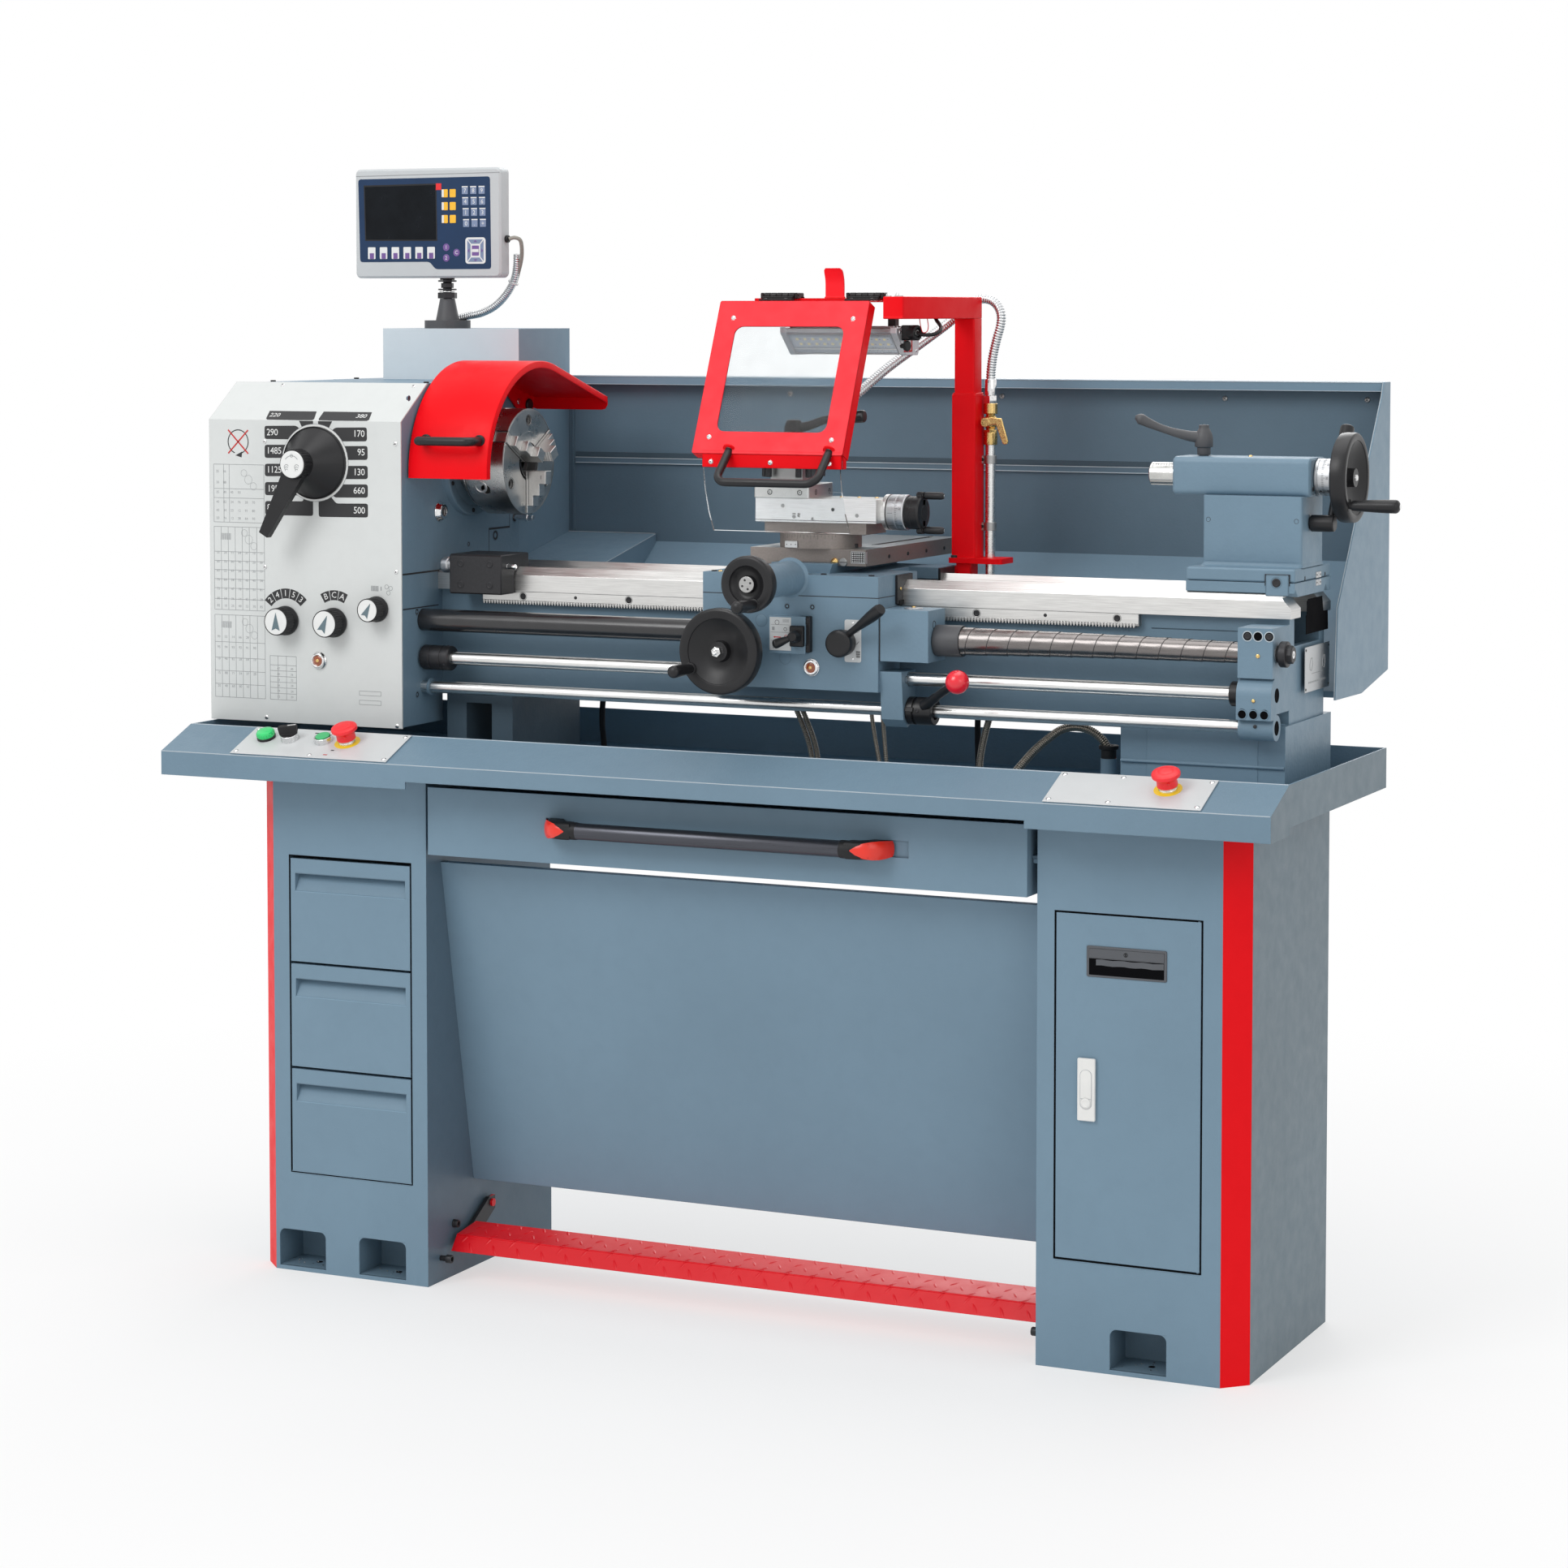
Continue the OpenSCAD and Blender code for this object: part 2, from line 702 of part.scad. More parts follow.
module readout() {
  x = -735;
  z0 = 1514;
  y0 = readout_stem[1] - 22;
  color([0.72, 0.74, 0.75]) {
    difference() {
      block([x - 135, y0, z0], [x + 135, y0 + 30, z0 + 176]);
      block([x - 127, y0 - 1, z0 + 12], [x + 127, y0 + 3, z0 + 160]);
    }
    rod_z(elec_z1 + 2, z0 + 1, readout_stem[0], readout_stem[1], 7);
    rod_z(elec_z1 + 48.2, elec_z1 + 58, readout_stem[0], readout_stem[1], 16);
  }
  color([0.1, 0.14, 0.3])
    block([x - 126, y0 + 1, z0 + 13], [x + 126, y0 + 3 + e, z0 + 159]);
}

module spindle() {
  color(steel)
    difference() {
      union() {
        rod_x(head_x0 - 18, head_x1 + boss_t + 1, axis_y, axis_z, spindle_r);
        rod_x(head_x1 + boss_t + 0.5, chuck_x0 - plate_t, axis_y, axis_z, nose_r);
      }
      rod_x(head_x0 - 20, chuck_x0, axis_y, axis_z, bore_r);
    }
}

module chuck() {
  color(steel)
    difference() {
      union() {
        rod_x(chuck_x0, chuck_x1, axis_y, axis_z, chuck_r);
        rod_x(chuck_x0 - plate_t, chuck_x0 + e, axis_y, axis_z, chuck_r - 10);
      }
      rod_x(chuck_x0 - 20, chuck_x1 + 1, axis_y, axis_z, bore_r + 4);
      for (a = [0, 120, 240]) {
        translate([0, axis_y, axis_z])
          rotate([a, 0, 0])
            block([chuck_x1 - jaw_depth - slip, -jaw_w / 2 - slip, -chuck_r - 1], [chuck_x1 + 1,
              jaw_w / 2 + slip, 0]);
        // key socket and face hole between the jaws
        translate([chuck_x0 + 27, axis_y, axis_z])
          rotate([a + 60, 0, 0])
            translate([0, 0, -chuck_r - 1])
              cylinder(h = 26, r = 8);
        translate([0, axis_y, axis_z])
          rotate([a, 0, 0])
            rod_x(chuck_x1 - 12, chuck_x1 + 1, 0, 64, 7.5);
      }
    }
}

// stepped jaw: outline in radius and height above the chuck face
module jaw(i) {
  s = jaw_steps;
  color(steel)
    translate([chuck_x1, axis_y, axis_z])
      rotate([i * 120, 0, 0])
        translate([0, jaw_w / 2, 0])
          rotate([90, 0, 0])
            linear_extrude(jaw_w)
              polygon([[-jaw_depth, -jaw_in], [s[0][1], -jaw_in], [s[0][1], -s[0][0]], [s[1][1], -s[0][0]],
                [s[1][1], -s[1][0]], [s[2][1], -s[1][0]], [s[2][1], -s[2][0]], [2, -s[2][0]], [2,
                  -chuck_r + 2],
                [-jaw_depth, -chuck_r + 2]]);
}

module speed_lever() {
  y = head_y0 - 2.5;
  k = knobs[0];
  color(black) {
    rod_y(y - 34, head_y0 + 8, k[0], k[1], k[2]);
    translate([k[0], y - 4, k[1]])
      rotate([90, 0, 0])
        cylinder(h = 38, r1 = 54, r2 = 23);
    rod_y(y - 64, y - 42 + e, k[0], k[1], 22);
    along_y(y - 58, y - 46, [[k[0] - 20, k[1] - 8], [k[0] + 14, k[1] - 18], [k[0] - 50, k[1] - 112],
      [k[0] - 64, k[1] - 104]]);
  }
}

module knob(i) {
  y = head_y0 - 2.5;
  k = knobs[i];
  color(black) {
    rod_y(y - 8, head_y0 + 8, k[0], k[1], k[2]);
    rod_y(y - 30, y - 3, k[0], k[1], i == 3 ? 17 : 20);
  }
}

module chuck_guard() {
  a1 = 73.7;
  n = 20;
  r = guard_r;
  flap = [261, 1326];
  outer = [for (i = [0:n]) let (a = 182 - i * (182 - a1) / n) [guard_y + r * cos(a),
    guard_z + r * sin(a)]];
  inner = [for (i = [n:-1:0]) let (a = 182 - i * (182 - a1) / n) [guard_y + (r - 3) * cos(a),
    guard_z + (r - 3) * sin(a)]];
  color(red) {
    along_x(guard_x0, guard_x1, concat(outer, [flap, [flap[0], flap[1] - 21], [flap[0] - 3, flap[1] - 21],
      [flap[0] - 3, flap[1] - 2]], inner));
    // side arm to the pivot
    along_x(guard_x0, guard_x0 + 3, [[120, 1372], [flap[0] - 1, flap[1] - 1], [flap[0] - 1, 1294],
      [224, 1294]]);
    rod_x(head_x1 - 12, guard_x0 + 12, guard_pivot[0], guard_pivot[1], 8);
  }
  color(black) {
    for (x = [-528, -436])
      block([x - 7, guard_y - r - 26, 1259], [x + 7, guard_y - r + 8, 1275]);
    rod_x(-528, -436, guard_y - r - 22, 1267, 8);
  }
}

module splash_guard() {
  x0 = head_x1 + slip;
  x1 = 812;
  top = 1357;
  color(paint) {
    along_x(x0, x1, [[360, top], [elec_y1, top], [elec_y1, 1088], [164, 919], [164, 911], [158, 911],
      [158, 920],
      [elec_y1 - 3, 1090], [elec_y1 - 3, top - 3], [363, top - 3], [363, top - 14], [360, top - 14]]);
    along_x(x1 - e, x1 + 2, [[350, 1336], [360, top], [elec_y1, top], [elec_y1, 932], [255, 909],
      [124, 911],
      [134, 1041]]);
    // chute plate beside the headstock
    along_x(x0, x0 + 160, [[elec_y1 - 6, 1083], [elec_y1 - 6, 1102], [200, 1064], [200, 945]]);
    // feet on the rear of the bed
    for (x = [-300, 100, 500])
      block([x, bed_y1 - wall_in, bed_z0 + 22], [x + 40, 161, bed_z0 + 34]);
  }
}

// ---- feed rods ----

module lead_screw() {
  color(steel)
    rod_x(head_x1 - 30, rod_bracket_x1 + 16, rod_y, screw_z, screw_r);
  color(black)
    rod_x(rod_bracket_x1 + 1, rod_bracket_x1 + 15, rod_y, screw_z, 18);
}

module feed_rod() {
  color(steel)
    rod_x(head_x1 - 30, rod_bracket_x1 - 4, rod_y, feed_z, feed_r);
  color(black) {
    rod_x(head_x1 + 3, head_x1 + 52, rod_y, feed_z, 19);
    rod_x(rod_bracket_x0 - 14, rod_bracket_x0 - 1, rod_y, feed_z, 17);
  }
}

module control_rod() {
  color(steel)
    rod_x(head_x1 - 30, rod_bracket_x1 - 4, rod_y, control_z, control_r);
}

module screw_covers() {
  color(black)
    difference() {
      union() {
        rod_x(head_x1, saddle_x0, rod_y, screw_z, 17);
        rod_x(288, 330, rod_y, screw_z, 22);
        rod_x(330 - e, 480, rod_y, screw_z, 20);
        rod_x(480 - e, 600, rod_y, screw_z, 18);
        rod_x(600 - e, rod_bracket_x0, rod_y, screw_z, 16);
      }
      rod_x(head_x1 - 1, rod_bracket_x0 + 1, rod_y, screw_z, screw_r + 1.5);
    }
}

// ---- carriage ----

module saddle() {
  g = slip;
  color(paint)
    difference() {
      union() {
        block([saddle_x0, apron_y0, apron_z1], [saddle_x1, bed_y0 - 2, saddle_z1]);
        for (x = [[saddle_x0, saddle_x0 + 278], [cross_x - cross_w / 2, cross_x + cross_w / 2]])
          block([x[0], apron_y0, way_z + g], [x[1], x[0] == saddle_x0 ? bed_y0 + 60 : saddle_y1,
            saddle_z1]);
        block([saddle_x0, bed_y1 - 50, way_z + g], [saddle_x1, saddle_y1, saddle_z1]);
        block([saddle_x0, bed_y1 + 1, way_z - way_h + 4], [saddle_x1, saddle_y1, saddle_z1]);
        // cross feed boss
        rod_y(cross_wheel_y + 24, apron_y0 + 10, cross_x, cross_wheel_z, 24.5);
        // dovetail for the cross slide
        along_y(cross_y0 - 20, saddle_y1, [[cross_x - dove_w, saddle_z1 - e],
          [cross_x - dove_w - dove_flare, saddle_z1 + dove_h + 4], [cross_x + dove_w + dove_flare,
            saddle_z1 + dove_h + 4],
          [cross_x + dove_w, saddle_z1 - e]]);
      }
      vee(saddle_x0 - 1, saddle_x1 + 1, bed_y0 + vee_y, g * 2);
      vee(saddle_x0 - 1, saddle_x1 + 1, bed_y1 - way_w + vee_y, 2);
      rod_y(cross_wheel_y, apron_y0 + 60, cross_x, cross_wheel_z, 8 + run);
      // bridge opening over the bed
      block([cross_x - 30, bed_y0 + 64, way_z - 1], [cross_x + 30, bed_y1 - 56, saddle_z1 - 6]);
    }
}

module apron() {
  color(paint) {
    difference() {
      union() {
        block([saddle_x0, apron_y0, apron_z0], [saddle_x1, bed_y0 - 3, apron_z1]);
        // half nut housing
        block([saddle_x1 - e, rod_y - 32, screw_z - 30], [288, rod_y + 30, screw_z + 44]);
        // control rod bracket
        along_x(saddle_x1 - e, saddle_x1 + 34, [[rod_y - 30, 948], [rod_y + 22, 948], [rod_y + 22,
          control_z - 12],
          [rod_y - 6, control_z - 24], [rod_y - 22, control_z - 12]]);
      }
      block([saddle_x0 + 10, apron_y0 + 10, apron_z0 + 10], [saddle_x1 - 10, bed_y0 - 13, apron_z1 - 10]);
      rod_x(saddle_x0 - 1, 290, rod_y, screw_z, screw_r + 2);
      rod_x(saddle_x0 - 1, 290, rod_y, feed_z, feed_r + 1);
      rod_x(saddle_x0 - 1, 290, rod_y, control_z, control_r + run);
      rod_y(apron_y0 - 1, apron_y0 + 12, apron_wheel_x, apron_wheel_z, 9 + run);
      rod_y(apron_y0 - 1, apron_y0 + 12, 160, 988, 9 + run);
      rod_y(apron_y0 - 1, apron_y0 + 6, 108, 950, 9);
    }
    // rack pinion bearing
    difference() {
      rod_y(apron_y0 - 12, apron_y0 + e, apron_wheel_x, apron_wheel_z, 24);
      rod_y(apron_y0 - 14, apron_y0 + 2, apron_wheel_x, apron_wheel_z, 9 + run);
    }
  }
  // feed lever block
  color(paint)
    difference() {
      block([46, apron_y0 - 14, 970], [104, apron_y0 + e, 1024]);
      rod_y(apron_y0 - 20, apron_y0 - 4, 94, 996, 6 + run);
    }
}

module handle_y(x, y, z, l) {
  color(black) {
    rod_y(y - l, y, x, z, 5);
    translate([x, y - 8, z])
      rotate([90, 0, 0])
        cylinder(h = l - 8, r1 = 6, r2 = 9);
  }
}

module apron_wheel() {
  x = apron_wheel_x;
  z = apron_wheel_z;
  y = apron_wheel_y;
  color(black) {
    difference() {
      rod_y(y, y + 24, x, z, apron_wheel_r);
      translate([x, y + 16, z])
        rotate([90, 0, 0])
          cylinder(h = 20, r1 = 30, r2 = apron_wheel_r - 12);
    }
    rod_y(y + 6, apron_y0 + 8, x, z, 9);
    rod_y(y + 4, y + 40, x, z, 16);
  }
  handle_y(x - 43, y + 6, z - 26, 68);
}

module cross_wheel() {
  y = cross_wheel_y;
  color(black) {
    difference() {
      rod_y(y, y + 20, cross_x, cross_wheel_z, cross_wheel_r);
      rod_y(y - 1, y + 8, cross_x, cross_wheel_z, cross_wheel_r - 14);
    }
    rod_y(y + 8 - e, y + 12, cross_x, cross_wheel_z, 15);
  }
  color(steel)
    rod_y(y + 18, apron_y0 + 40, cross_x, cross_wheel_z, 8);
  handle_y(cross_x + 12, y + 4, cross_wheel_z - 28, 66);
}

module feed_lever() {
  y = apron_y0 - 14;
  color(black) {
    rod_y(y - 26, y + 8, 94, 996, 6);
    block([82, y - 10, 980], [106, y - 0.5, 1012]);
    bar([94, y - 18, 996], [74, y - 34, 986], 6);
    bar([80, y - 29.5, 989], [70, y - 38, 984], 8);
  }
}

module half_nut_lever() {
  y = apron_y0;
  color(black) {
    rod_y(y - 26, y - 1, 160, 988, 20);
    rod_y(y - 4, y + 8, 160, 988, 9);
    bar([168, y - 14, 998], [222, y - 40, 1034], 6);
    bar([210, y - 34, 1026], [236, y - 46, 1043], 9);
  }
}

module shift_lever() {
  x = saddle_x1 + 34.3;
  color(black)
    difference() {
      union() {
        rod_x(x, x + 40, rod_y, control_z, 20);
        bar([x + 30, rod_y - 14, control_z + 8], [345, -146, 938], 6);
      }
      rod_x(x - 1, x + 50, rod_y, control_z, control_r + run);
    }
  color(red)
    translate([348, -149, 942])
      rotate([-45, -40, 0])
        rotate_extrude()
          intersection() {
            circle(r = 17);
            translate([0, -16.4])
              square([17, 32.8]);
          }
}

module shield_post() {
  w = 16;
  x = post_x;
  y = post_y;
  color(red) {
    // lower sleeve and the tube that slides in it
    difference() {
      block([x - w - 3, y - w - 3, 1092], [x + w + 3, y + w + 3, 1338]);
      block([x - w, y - w, 1096], [x + w, y + w, 1340]);
    }
    block([x - w, y - w, 1096 - e], [x + w, y + w, post_z1]);
    block([x - w, -96, post_z1 - 32], [x + w, y + w, post_z1]);
    // flat bar that carries the shield hinges
    block([-30, -16, post_z1 - 8], [x - w + e, 14, post_z1 - 2]);
    block([75, 4, post_z1 - 2 - e], [105, 8, post_z1 + 42]);
    for (x = [13, 150]) {
      rod_x(x - 30, x + 30, shield_hinge[0], shield_hinge[1], 2);
      for (s = [-1, 1])
        block([x + s * 27.3 - 2.7, -23, post_z1 - 3], [x + s * 27.3 + 2.7, 0, shield_hinge[1] + 4]);
    }
    difference() {
      block([x - 22, y - 24, 1086], [290, y + 26, 1094]);
      rod_z(1084, 1096, 257, 200, 7.5 + slip);
    }
    block([x - 12, saddle_y1, 1046], [x + 12, y + 12, 1086 + e]);
    block([150, saddle_y1, 1046], [x + 12, saddle_y1 + 8, 1082]);
  }
}

module coolant_pipe() {
  x = 257;
  y = 200;
  color(steel)
    difference() {
      rod_z(1068, 1268, x, y, 7.5);
      rod_z(1066, 1270, x, y, 5.5);
    }
  color([0.8, 0.62, 0.25]) {
    difference() {
      union() {
        rod_z(1266, 1282, x, y, 10);
        rod_z(1282 - e, 1310, x, y, 12);
        rod_z(1310 - e, 1324, x, y, 10);
      }
      rod_y(y - 14, y, x, 1296, 4 + run);
    }
  }
  color(steel)
    rod_z(1324 - e, 1346, x, y, 8.5);
}

module valve_lever() {
  x = 257;
  y = 200;
  color([0.8, 0.62, 0.25]) {
    rod_y(y - 22, y - 1, x, 1296, 4);
    along_y(y - 22, y - 18, [[x - 6, 1290], [x - 6, 1302], [x + 24, 1302], [x + 36, 1268], [x + 28,
      1265], [x + 17, 1292]]);
  }
}

module work_lamp() {
  color([0.6, 0.62, 0.64])
    difference() {
      along_x(20, 205, [[-34, 1436], [50, 1436], [42, 1398], [-24, 1398]]);
      along_x(30, 195, [[-20, 1397], [-20, 1402], [38, 1402], [38, 1397]]);
    }
  color(white)
    along_x(30 - e, 195 + e, [[-20 - e, 1400], [-20 - e, 1402 + e], [38 + e, 1402 + e], [38 + e, 1400]]);
  color(black)
    block([100, -4, 1436 - e], [190, 10, post_z1 - 8]);
}

module chip_shield() {
  y0 = -80;
  z0 = 1476;
  y1 = -176;
  z1 = 1258;
  a = atan2(y0 - y1, z0 - z1);
  l = norm([y0 - y1, z0 - z1]);
  color(red) {
    // frame with a window, side returns and a lower lip
    translate([0, y0, z0])
      rotate([-a, 0, 0])
        difference() {
          block([shield_x0, 0, -l], [shield_x1, 22, 0]);
          block([shield_x0 + 2, 2, -l + 2], [shield_x1 - 2, 23, -2]);
          block([shield_x0 + 32, -1, -l + 34], [shield_x1 - 32, 3, -40]);
        }
    block([shield_x0 + 1, y0 + 1, z0 - 2], [shield_x1 - 1, shield_hinge[0] - 4, z0]);
    block([shield_x0 + 16, y1 + 2, z1 - 20], [shield_x1 - 2, y1 + 5, z1 + 4]);
  }
  color(black) {
    for (x = [13, 150]) {
      block([x - 24, shield_hinge[0] - 22, z0 - e], [x + 24, shield_hinge[0] - 5, z0 + 3]);
      difference() {
        union() {
          rod_x(x - 24, x + 24, shield_hinge[0], shield_hinge[1], 4);
          block([x - 24, shield_hinge[0] - 9, z0 - 1], [x + 24, shield_hinge[0] - 1.5,
            shield_hinge[1] - 1]);
        }
        rod_x(x - 25, x + 25, shield_hinge[0], shield_hinge[1], 2 + run);
      }
    }
    for (x = [4, 160])
      bar([x, y1 + 4, z1 + 4], [x, y1 - 44, z1 - 40], 5);
    rod_x(-2, 166, y1 - 44, z1 - 40, 6);
  }
}

module shield_window() {
  y0 = -80;
  z0 = 1476;
  a = atan2(96, 218);
  color([0.8, 0.9, 0.95, 0.4]) {
    translate([0, y0, z0])
      rotate([-a, 0, 0])
        block([shield_x0 + 20, 2, -218], [shield_x1 - 20, 5, -24]);
    along_x(shield_x0 + 16, shield_x1 - 6, [[-171, 1254], [-168, 1254], [-168, 1238], [-162, 1206],
      [-150, 1174],
      [-134, 1146], [-137, 1145], [-153, 1172], [-165, 1205], [-171, 1238]]);
  }
}

module cross_slide() {
  d = dove_w + slip;
  color(steel)
    difference() {
      union() {
        block([cross_x - cross_w / 2, cross_y0, cross_z0], [cross_x + cross_w / 2,
          cross_y0 + cross_l, cross_z1]);
        rod_z(cross_z1 - e, swivel_z1, cross_x, swivel_y, swivel_r);
        block([top_x0 + 12, swivel_y - 36, swivel_z1 - e], [top_x0 + 174, swivel_y + 36, top_z0 - slip]);
      }
      along_y(cross_y0 - 1, cross_y0 + cross_l + 1, [[cross_x - d, saddle_z1 - slip],
        [cross_x - d - dove_flare - slip, saddle_z1 + dove_h + 4 + slip],
        [cross_x + d + dove_flare + slip, saddle_z1 + dove_h + 4 + slip], [cross_x + d,
          saddle_z1 - slip]]);
      block([cross_x + 50, cross_y0 + 120, cross_z1 - 3], [cross_x + 60, cross_y0 + cross_l - 20,
        cross_z1 + 1]);
    }
}

module compound_slide() {
  x1 = top_x0 + top_l;
  color(steel)
    difference() {
      union() {
        block([top_x0, swivel_y - top_w / 2, top_z0], [x1, swivel_y + top_w / 2, top_z1]);
        rod_x(x1 - e, x1 + 6, swivel_y, top_z1 - 19, 26);
      }
      rod_x(x1 - 40, x1 + 10, swivel_y, top_z1 - 19, 6 + run);
      for (p = [[70, 10], [92, 5]])
        rod_y(swivel_y - top_w / 2 - 1, swivel_y - top_w / 2 + 4, top_x0 + p[0], top_z0 + p[1], 2.5);
    }
}

module compound_crank() {
  x1 = top_x0 + top_l + 6;
  z = top_z1 - 19;
  color([0.7, 0.71, 0.72])
    rod_x(x1 + 0.5, x1 + 28, swivel_y, z, 26);
  color(steel)
    rod_x(x1 - 36, x1 + 2, swivel_y, z, 6);
  color(black) {
    rod_x(x1 + 28 - e, x1 + 52, swivel_y, z, 24);
    for (s = [-1, 1]) {
      rod_x(x1 + 44, x1 + 84, swivel_y, z + s * 25, 5.5);
      block([x1 + 40, swivel_y - 6, s > 0 ? z : z - 30], [x1 + 52, swivel_y + 6, s > 0 ? z + 30 : z]);
    }
  }
}

module tool_post() {
  x = cross_x - 44;
  w = 44;
  z = top_z1;
  color(steel)
    difference() {
      block([x - w, swivel_y - w, z], [x + w, swivel_y + w, z + 66]);
      for (s = [-1, 1]) {
        block([x - w - 1, s > 0 ? swivel_y + 26 : swivel_y - w - 1, z + 20],
          [x + w + 1, s > 0 ? swivel_y + w + 1 : swivel_y - 26, z + 44]);
        block([s > 0 ? x + 26 : x - w - 1, swivel_y - w - 1, z + 20],
          [s > 0 ? x + w + 1 : x - 26, swivel_y + w + 1, z + 44]);
      }
      rod_z(z - 1, z + 70, x, swivel_y, 9 + run);
    }
  color(black)
    for (a = [0:3])
      translate([x, swivel_y, 0])
        rotate([0, 0, a * 90])
          for (i = [-1, 1])
            rod_z(z + 30, z + 76, 35, i * 24, 5);
}

module post_lever() {
  x = cross_x - 44;
  z = top_z1 + 66;
  color(black) {
    translate([x, swivel_y, z + 1])
      cylinder(h = 34, r1 = 14, r2 = 11);
    rod_z(z - 40, z + 2, x, swivel_y, 9);
    bar([x, swivel_y, z + 18], [x + 92, swivel_y, z + 44], 6);
    bar([x + 74, swivel_y, z + 39], [x + 116, swivel_y, z + 51], 9);
  }
}

// ---- tailstock ----

module tailstock() {
  y0 = bed_y0 + 9;
  y1 = bed_y1 - 8;
  nx0 = tail_x0 + 13;
  nx1 = tail_x1 - 1;
  by = 38;
  bz = 27;
  bx1 = 806;
  color(paint)
    difference() {
      union() {
        block([tail_x0, y0, way_z + slip], [tail_x1, y1, way_z + 20]);
        block([tail_x0, y0 + 1, way_z + 20.3], [tail_x1, y1 - 1, way_z + 39]);
        block([tail_x0 + 4, y0 + 4, way_z + 20 - e], [tail_x1 - 4, y1 - 4, way_z + 20.3 + e]);
        block([nx0, axis_y - 50, way_z + 39 - e], [nx1, axis_y + 50, axis_z]);
        along_x(604, bx1, [[axis_y - by, axis_z - bz], [axis_y - by, axis_z + bz - 10],
          [axis_y - by + 10, axis_z + bz],
          [axis_y + by - 10, axis_z + bz], [axis_y + by, axis_z + bz - 10], [axis_y + by, axis_z - bz]]);
        // clamp plate under the ways
        block([690, bed_y0 + way_w + 1, way_z - way_h - 14], [750, bed_y1 - way_w - 1, way_z + 1]);
        block([690, bed_y0 + wall_in + wall_t + 2, way_z - way_h - 14], [750,
          bed_y1 - wall_in - wall_t - 2, way_z - way_h - 2]);
        block([735, y0 - 2, way_z + 13], [762, y0 + 2, way_z + 30]);
      }
      vee(tail_x0 - 1, tail_x1 + 1, bed_y0 + vee_y, 2);
      vee(tail_x0 - 1, tail_x1 + 1, bed_y1 - way_w + vee_y, slip * 2);
      rod_x(600, bx1 + 1, axis_y, axis_z, quill_r + run);
      rod_z(axis_z + 10, axis_z + 40, 638, axis_y, 7 + run);
      rod_x(nx1 - 20, nx1 + 1, 48, 1166, 8 + run);
      rod_y(y0 - 4, y0 + 4, 748, way_z + 21, 4);
      for (x = [nx0 + 8, nx1 - 9])
        rod_y(axis_y - 51, axis_y - 40, x, 1172, 2.5);
      // hollow of the neck
      block([nx0 + 14, axis_y - 36, way_z + 50], [nx1 - 24, axis_y + 36, axis_z - bz - 12]);
    }
}

module quill() {
  color(steel)
    difference() {
      rod_x(561, 760, axis_y, axis_z, quill_r);
      translate([560, axis_y, axis_z])
        rotate([0, 90, 0])
          cylinder(h = 90, r1 = 9, r2 = 7);
      rod_x(690, 761, axis_y, axis_z, 8.6);
    }
}

module tail_wheel() {
  x = 838;
  color([0.7, 0.71, 0.72])
    rod_x(806.2, 820, axis_y, axis_z, 26);
  color(black) {
    difference() {
      rod_x(x, x + 24, axis_y, axis_z, tail_wheel_r);
      translate([x + 8, axis_y, axis_z])
        rotate([0, 90, 0])
          cylinder(h = 20, r1 = 34, r2 = tail_wheel_r - 10);
    }
    rod_x(820 - e, x + 12, axis_y, axis_z, 14);
    rod_x(x + 18, x + 96, axis_y - 37, axis_z - 37, 5);
    translate([x + 26, axis_y - 37, axis_z - 37])
      rotate([0, 90, 0])
        cylinder(h = 76, r1 = 6, r2 = 9.5);
  }
  color(steel) {
    rod_x(x + 8, x + 20, axis_y, axis_z, 9);
    rod_x(705, 808, axis_y, axis_z, 8);
  }
}

module quill_lock() {
  z = axis_z + 27;
  color(black) {
    rod_z(z - 9.7, z + 12, 638, axis_y, 7);
    rod_z(z + 1, z + 24, 638, axis_y, 11);
    translate([638, axis_y, z + 24 - e])
      cylinder(h = 16, r1 = 11, r2 = 8);
    bar([634, axis_y - 2, z + 30], [556, axis_y - 30, z + 53], 6);
  }
}

module clamp_lever() {
  color(black) {
    rod_x(780, 834, 48, 1166, 8);
    rod_x(800, 834, 48, 1166, 11);
    bar([829, 48, 1166], [829, 118, 1290], 5);
    bar([829, 108, 1272], [829, 124, 1302], 9);
  }
}

module bed_stop() {
  color(black)
    difference() {
      union() {
        block([-514, -76, 1034], [-424, bed_y0 - slip, 1094]);
        block([-514, bed_y0 - slip - e, way_z + slip], [-424, bed_y0 + 5, 1094]);
        rod_x(-535, -513, -55, 1076, 10);
      }
      rod_x(-425, -423, -55, 1076, 4);
    }
  color(steel)
    rod_x(-426, -410, -55, 1076, 4);
}

left_pedestal();
right_pedestal();
center_panel();
chip_tray();
on_stand() bed();
on_stand() headstock();
on_stand() electrical_cabinet();
on_stand() front_cover();
on_stand() splash_guard();
on_stand() rod_bracket();
on_stand() spindle();
on_stand() chuck();
on_stand() jaw(0);  // jaw_1
on_stand() jaw(1);  // jaw_2
on_stand() jaw(2);  // jaw_3
on_stand() lead_screw();
on_stand() feed_rod();
on_stand() control_rod();
on_stand() speed_lever();
on_stand() knob(1);  // knob_1
on_stand() knob(2);  // knob_2
on_stand() knob(3);  // knob_3
on_stand() saddle();
on_stand() apron();
on_stand() shield_post();
on_stand() coolant_pipe();
on_stand() work_lamp();
on_stand() screw_covers();
on_stand() apron_wheel();
on_stand() feed_lever();
on_stand() half_nut_lever();
on_stand() shift_lever();
on_stand() valve_lever();
on_stand() chip_shield();
on_stand() shield_window();
on_stand() cross_slide();
on_stand() cross_wheel();
on_stand() compound_slide();
on_stand() compound_crank();
on_stand() tool_post();
on_stand() post_lever();
on_stand() chuck_guard();
on_stand() tailstock();
on_stand() quill();
on_stand() tail_wheel();
